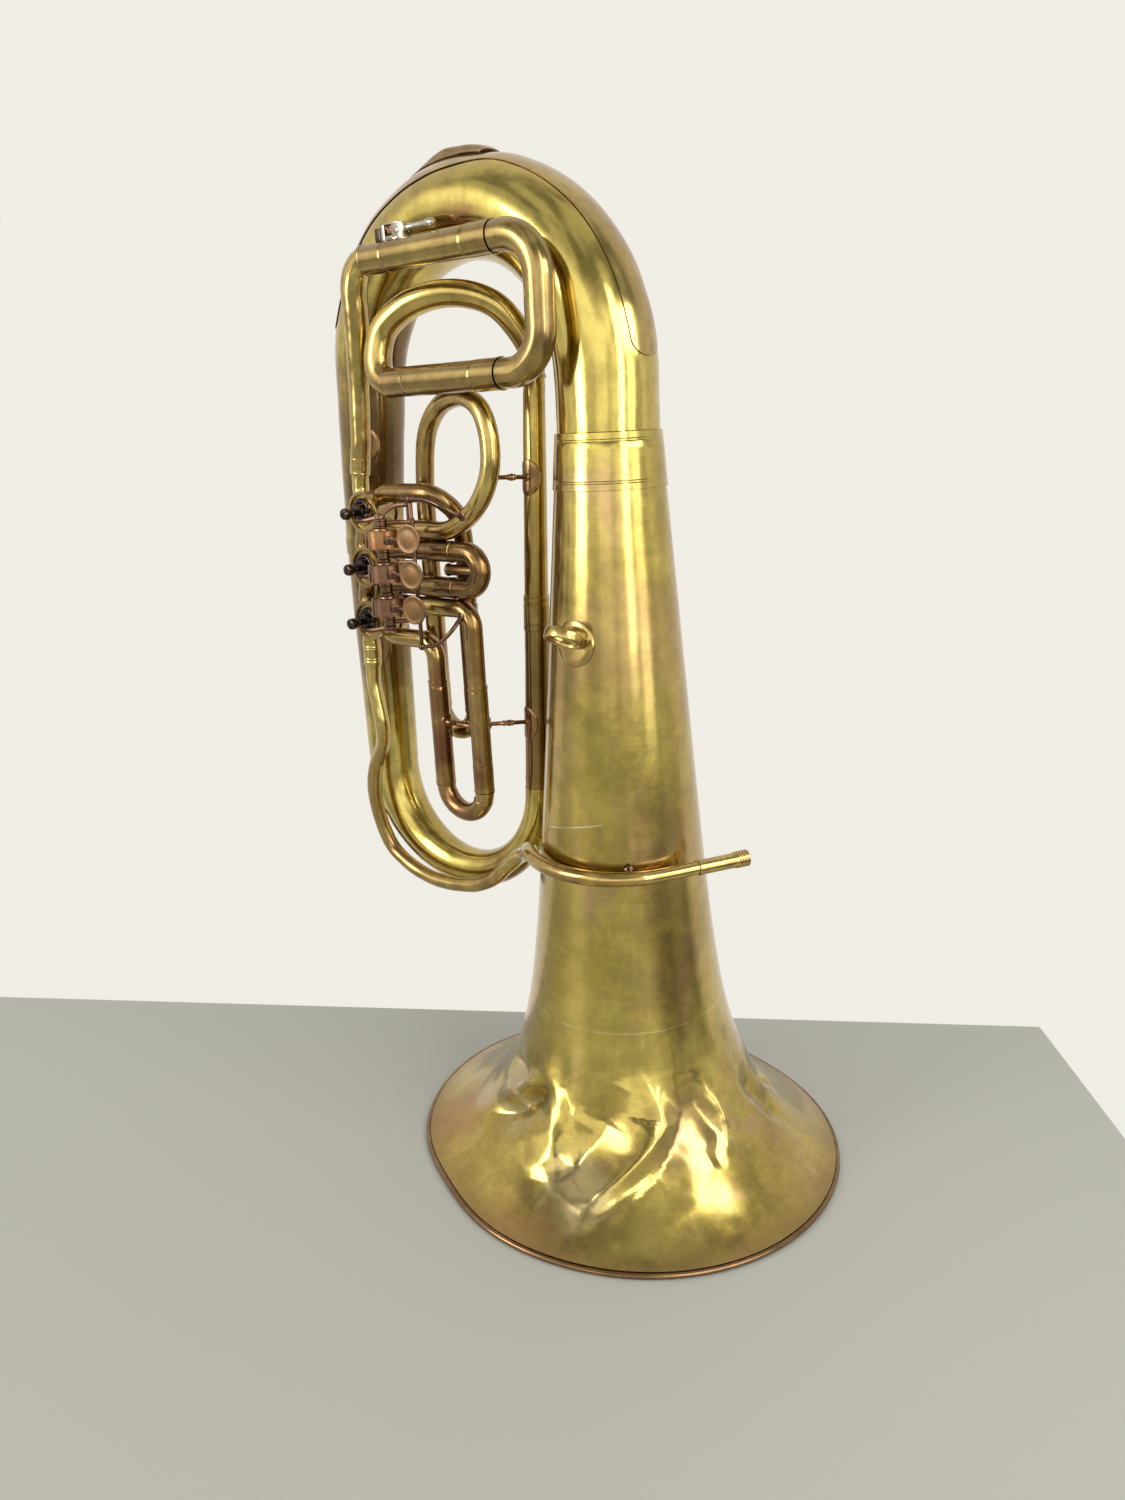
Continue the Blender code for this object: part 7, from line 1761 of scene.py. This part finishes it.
def make_lyre_clamp():
    top = MAIN_UPPER_W + SLEEVE_WIDE
    centre = Vector((CLAMP_U, MAIN_V, top + 0.0035))
    socket = centre + Vector((-0.0040, 0, 0.0025))
    frame_piece = block("clamp_block", centre + Vector((0.0060, 0, 0.0006)), (0.0118, 0.0118, 0.0120), edge=0.0007)
    left = block("clamp_jaw", centre + Vector((-0.0098, 0, 0.0006)), (0.0042, 0.0118, 0.0120), edge=0.0006)
    saddle_piece = saddle("clamp_saddle", (CLAMP_U, MAIN_V, MAIN_UPPER_W), ACROSS, UP, SLEEVE_WIDE, 0.0120, 0.0075, 0.0012)
    bridge = block("clamp_bridge", centre + Vector((-0.0015, 0.0, -0.0034)), (0.0200, 0.0100, 0.0030), edge=0.0005)
    cap = block("clamp_bridge_top", centre + Vector((-0.0015, 0.0, 0.0066)), (0.0190, 0.0108, 0.0016), edge=0.0005)
    clamp = joined(frame_piece, left, saddle_piece, bridge, cap)
    for cutter_at, size in ((socket, (0.0064, 0.0300, 0.0064)),):
        tool = block("socket_cut", cutter_at, size, edge=0)
        bpy.data.objects.remove(tool)
    finished(lay(clamp), SILVER, nodes=["lyre_clamp"])
    spring = bar("clamp_spring", socket + Vector((-0.0026, -0.0050, 0.0022)), socket + Vector((0.0022, -0.0050, -0.0026)), (0.0020, 0.0030), 0.0008, FRONT, 0.0002)
    leaf = bar("clamp_leaf", socket + Vector((0.0022, -0.0050, -0.0026)), socket + Vector((0.0028, -0.0050, 0.0024)), (0.0026, 0.0016), 0.0008, FRONT, 0.0002)
    finished(lay(joined(spring, leaf)), COPPER_BRASS)
    slide = block("clamp_slide", centre + Vector((-0.0155, -0.0012, -0.0002)), (0.0064, 0.0098, 0.0096), edge=0.0006)
    finished(lay(slide), DARK_STEEL)
    head = turned("clamp_screw_head", [(0, 0.0009), (0.0018, 0.0009), (0.0024, 0.0005), (0.0025, -0.0004), (0, -0.0004)],
                  centre + Vector((0.0062, -0.0060, 0.0008)), FRONT, 24)
    finished(lay(head), SILVER)

    start = socket + ACROSS * 0.0042
    end = centre + ACROSS * 0.0420 + UP * 0.0025
    length = (end - start).length
    profile = [(0, 0), (0.0022, 0), (0.0025, 0.0004), (0.0025, 0.0105), (0.0031, 0.0112), (0.0034, 0.0120), (0.0034, 0.0128), (0.0026, 0.0136),
               (0.0023, 0.0150), (0.0022, length - 0.0110), (0.0028, length - 0.0090), (0.0034, length - 0.0050), (0.0032, length - 0.0016),
               (0.0022, length - 0.0002), (0, length)]
    screw = turned("lyre_thumb_screw", profile, start, end - start, 28)
    finished(lay(screw), SILVER, "lyre_screw", ["lyre_screw"])


# Stage, light and camera

def plain(name, colour, roughness):
    material = bpy.data.materials.new(name)
    material.use_nodes = True
    shader = material.node_tree.nodes["Principled BSDF"]
    shader.inputs["Base Color"].default_value = (*colour, 1.0)
    shader.inputs["Roughness"].default_value = roughness
    return material


TABLE_CORNER = STAND + Vector((0.2508, 0.4539, 0))
TABLE_TURN = radians(37.48)


def make_table():
    along = Vector((cos(TABLE_TURN), sin(TABLE_TURN), 0))
    away = Vector((-sin(TABLE_TURN), cos(TABLE_TURN), 0))
    size, thick = 5.0, 0.04
    middle = TABLE_CORNER - along * size / 2 - away * size / 2 - UP * (thick / 2 + 0.0002)
    table = block("table_top", middle, (size, size, thick), Matrix.Rotation(TABLE_TURN, 4, "Z"), 0.002)
    table.data.materials.append(plain("table_grey", (0.350, 0.347, 0.305), 0.5))


def softbox(name, at, aim, width, height, level):
    light = bpy.data.lights.new(name, "AREA")
    light.shape = "RECTANGLE"
    light.size, light.size_y = width, height
    light.energy = level * pi * width * height
    lamp = bpy.data.objects.new(name, light)
    lamp.location = at
    lamp.rotation_euler = (Vector(aim) - Vector(at)).to_track_quat("-Z", "Y").to_euler()
    bpy.context.scene.collection.objects.link(lamp)


WALL_SIDE = Vector((-sin(TABLE_TURN), cos(TABLE_TURN), 0))


def make_light():
    world = bpy.data.worlds.new("room")
    bpy.context.scene.world = world
    world.use_nodes = True
    tree = world.node_tree
    direction = tree.nodes.new("ShaderNodeTexCoord").outputs["Generated"]
    split = tree.nodes.new("ShaderNodeSeparateXYZ")
    feed(tree, split.inputs[0], direction)
    facing = tree.nodes.new("ShaderNodeVectorMath")
    facing.operation = "DOT_PRODUCT"
    feed(tree, facing.inputs[0], direction)
    feed(tree, facing.inputs[1], tuple(WALL_SIDE))
    shapes = eased(tree, clouds(tree, direction, 2.6, 1.0, 0.5), 0.42, 0.58)
    low_room = blended(tree, shapes, (0.20, 0.185, 0.15), (0.34, 0.32, 0.27))
    high_room = blended(tree, shapes, (0.66, 0.65, 0.60), (1.00, 0.98, 0.92))
    high_room = blended(tree, eased(tree, split.outputs["X"], -0.2, -0.9), high_room, (1.15, 1.12, 1.02))
    front_room = blended(tree, shapes, (1.10, 1.08, 1.00), (1.75, 1.72, 1.62))
    high_room = blended(tree, eased(tree, split.outputs["Y"], -0.25, -0.65), high_room, front_room)
    room = blended(tree, eased(tree, split.outputs["Z"], -0.22, 0.06), low_room, high_room)
    ceiling = blended(tree, shapes, (0.28, 0.27, 0.24), (0.66, 0.65, 0.60))
    room = blended(tree, eased(tree, split.outputs["Z"], 0.40, 0.60), room, ceiling)
    room = blended(tree, eased(tree, facing.outputs["Value"], -0.05, 0.25), room, (0.80, 0.75, 0.72))
    path = tree.nodes.new("ShaderNodeLightPath")
    seen = blended(tree, path.outputs["Is Glossy Ray"], (0.86, 0.86, 0.82), room)
    seen = blended(tree, path.outputs["Is Camera Ray"], seen, (0.87, 0.85, 0.78))
    feed(tree, tree.nodes["Background"].inputs["Color"], seen)
    tree.nodes["Background"].inputs["Strength"].default_value = 1.0
    softbox("window_left", (-0.78 + STAND.x, -1.70, 0.95), (0, 0, 0.45), 0.70, 1.15, 6.6)
    softbox("window_right", (1.55 + STAND.x, -0.72, 1.20), (0, 0, 0.55), 0.36, 1.6, 5.5)
    softbox("glass_door", (STAND.x + 1.80, -0.08, 0.66), (0.1, -0.05, 0.40), 0.55, 0.8, 2.0)
    softbox("fanlight", (1.66, 0.03, 1.42), (0.18, -0.06, 0.05), 1.05, 0.62, 6.2)


CAMERA_AT = Vector((0.5624, -0.7483, 0.6440))
CAMERA_LOOK = Vector((-0.5897, 0.7545, -0.2881)).normalized()
CAMERA_RIGHT = Vector((0.7834, 0.6211, 0.0230))
FOCAL_PIXELS = 1083.0
IMAGE_HEIGHT = 1500.0
SENSOR = 36.0


def make_camera():
    back = -CAMERA_LOOK
    right = (CAMERA_RIGHT - back * CAMERA_RIGHT.dot(back)).normalized()
    lens = bpy.data.cameras.new("camera")
    lens.sensor_width = SENSOR
    lens.lens = SENSOR * FOCAL_PIXELS / IMAGE_HEIGHT
    camera = bpy.data.objects.new("camera", lens)
    camera.matrix_world = Matrix.Translation(CAMERA_AT) @ Matrix((right, back.cross(right), back)).transposed().to_4x4()
    bpy.context.scene.collection.objects.link(camera)
    bpy.context.scene.camera = camera
    bpy.context.scene.view_settings.view_transform = "Standard"


for part in frame["record"]["subparts"]:
    carried = NODES[part["node"]]
    carried.data.materials.clear()
    carried.data.materials.append(PLATE_BRASS if part["material_slot"] == "yellow_brass" else FRAME_BROWN)

make_camera()
make_light()
make_table()
make_bell()
make_big_bow()
make_branches()
make_main_slide()
make_exit_tube()
make_leadpipe()
for valve in (1, 2, 3):
    make_valve(valve)
    make_key(valve)
    make_link(valve)
make_link_tubes()
make_slide_1()
make_slide_2()
make_slide_3()
make_key_frame()
make_braces()
make_strap_ring()
make_lyre_clamp()
bpy.ops.object.select_all(action="DESELECT")
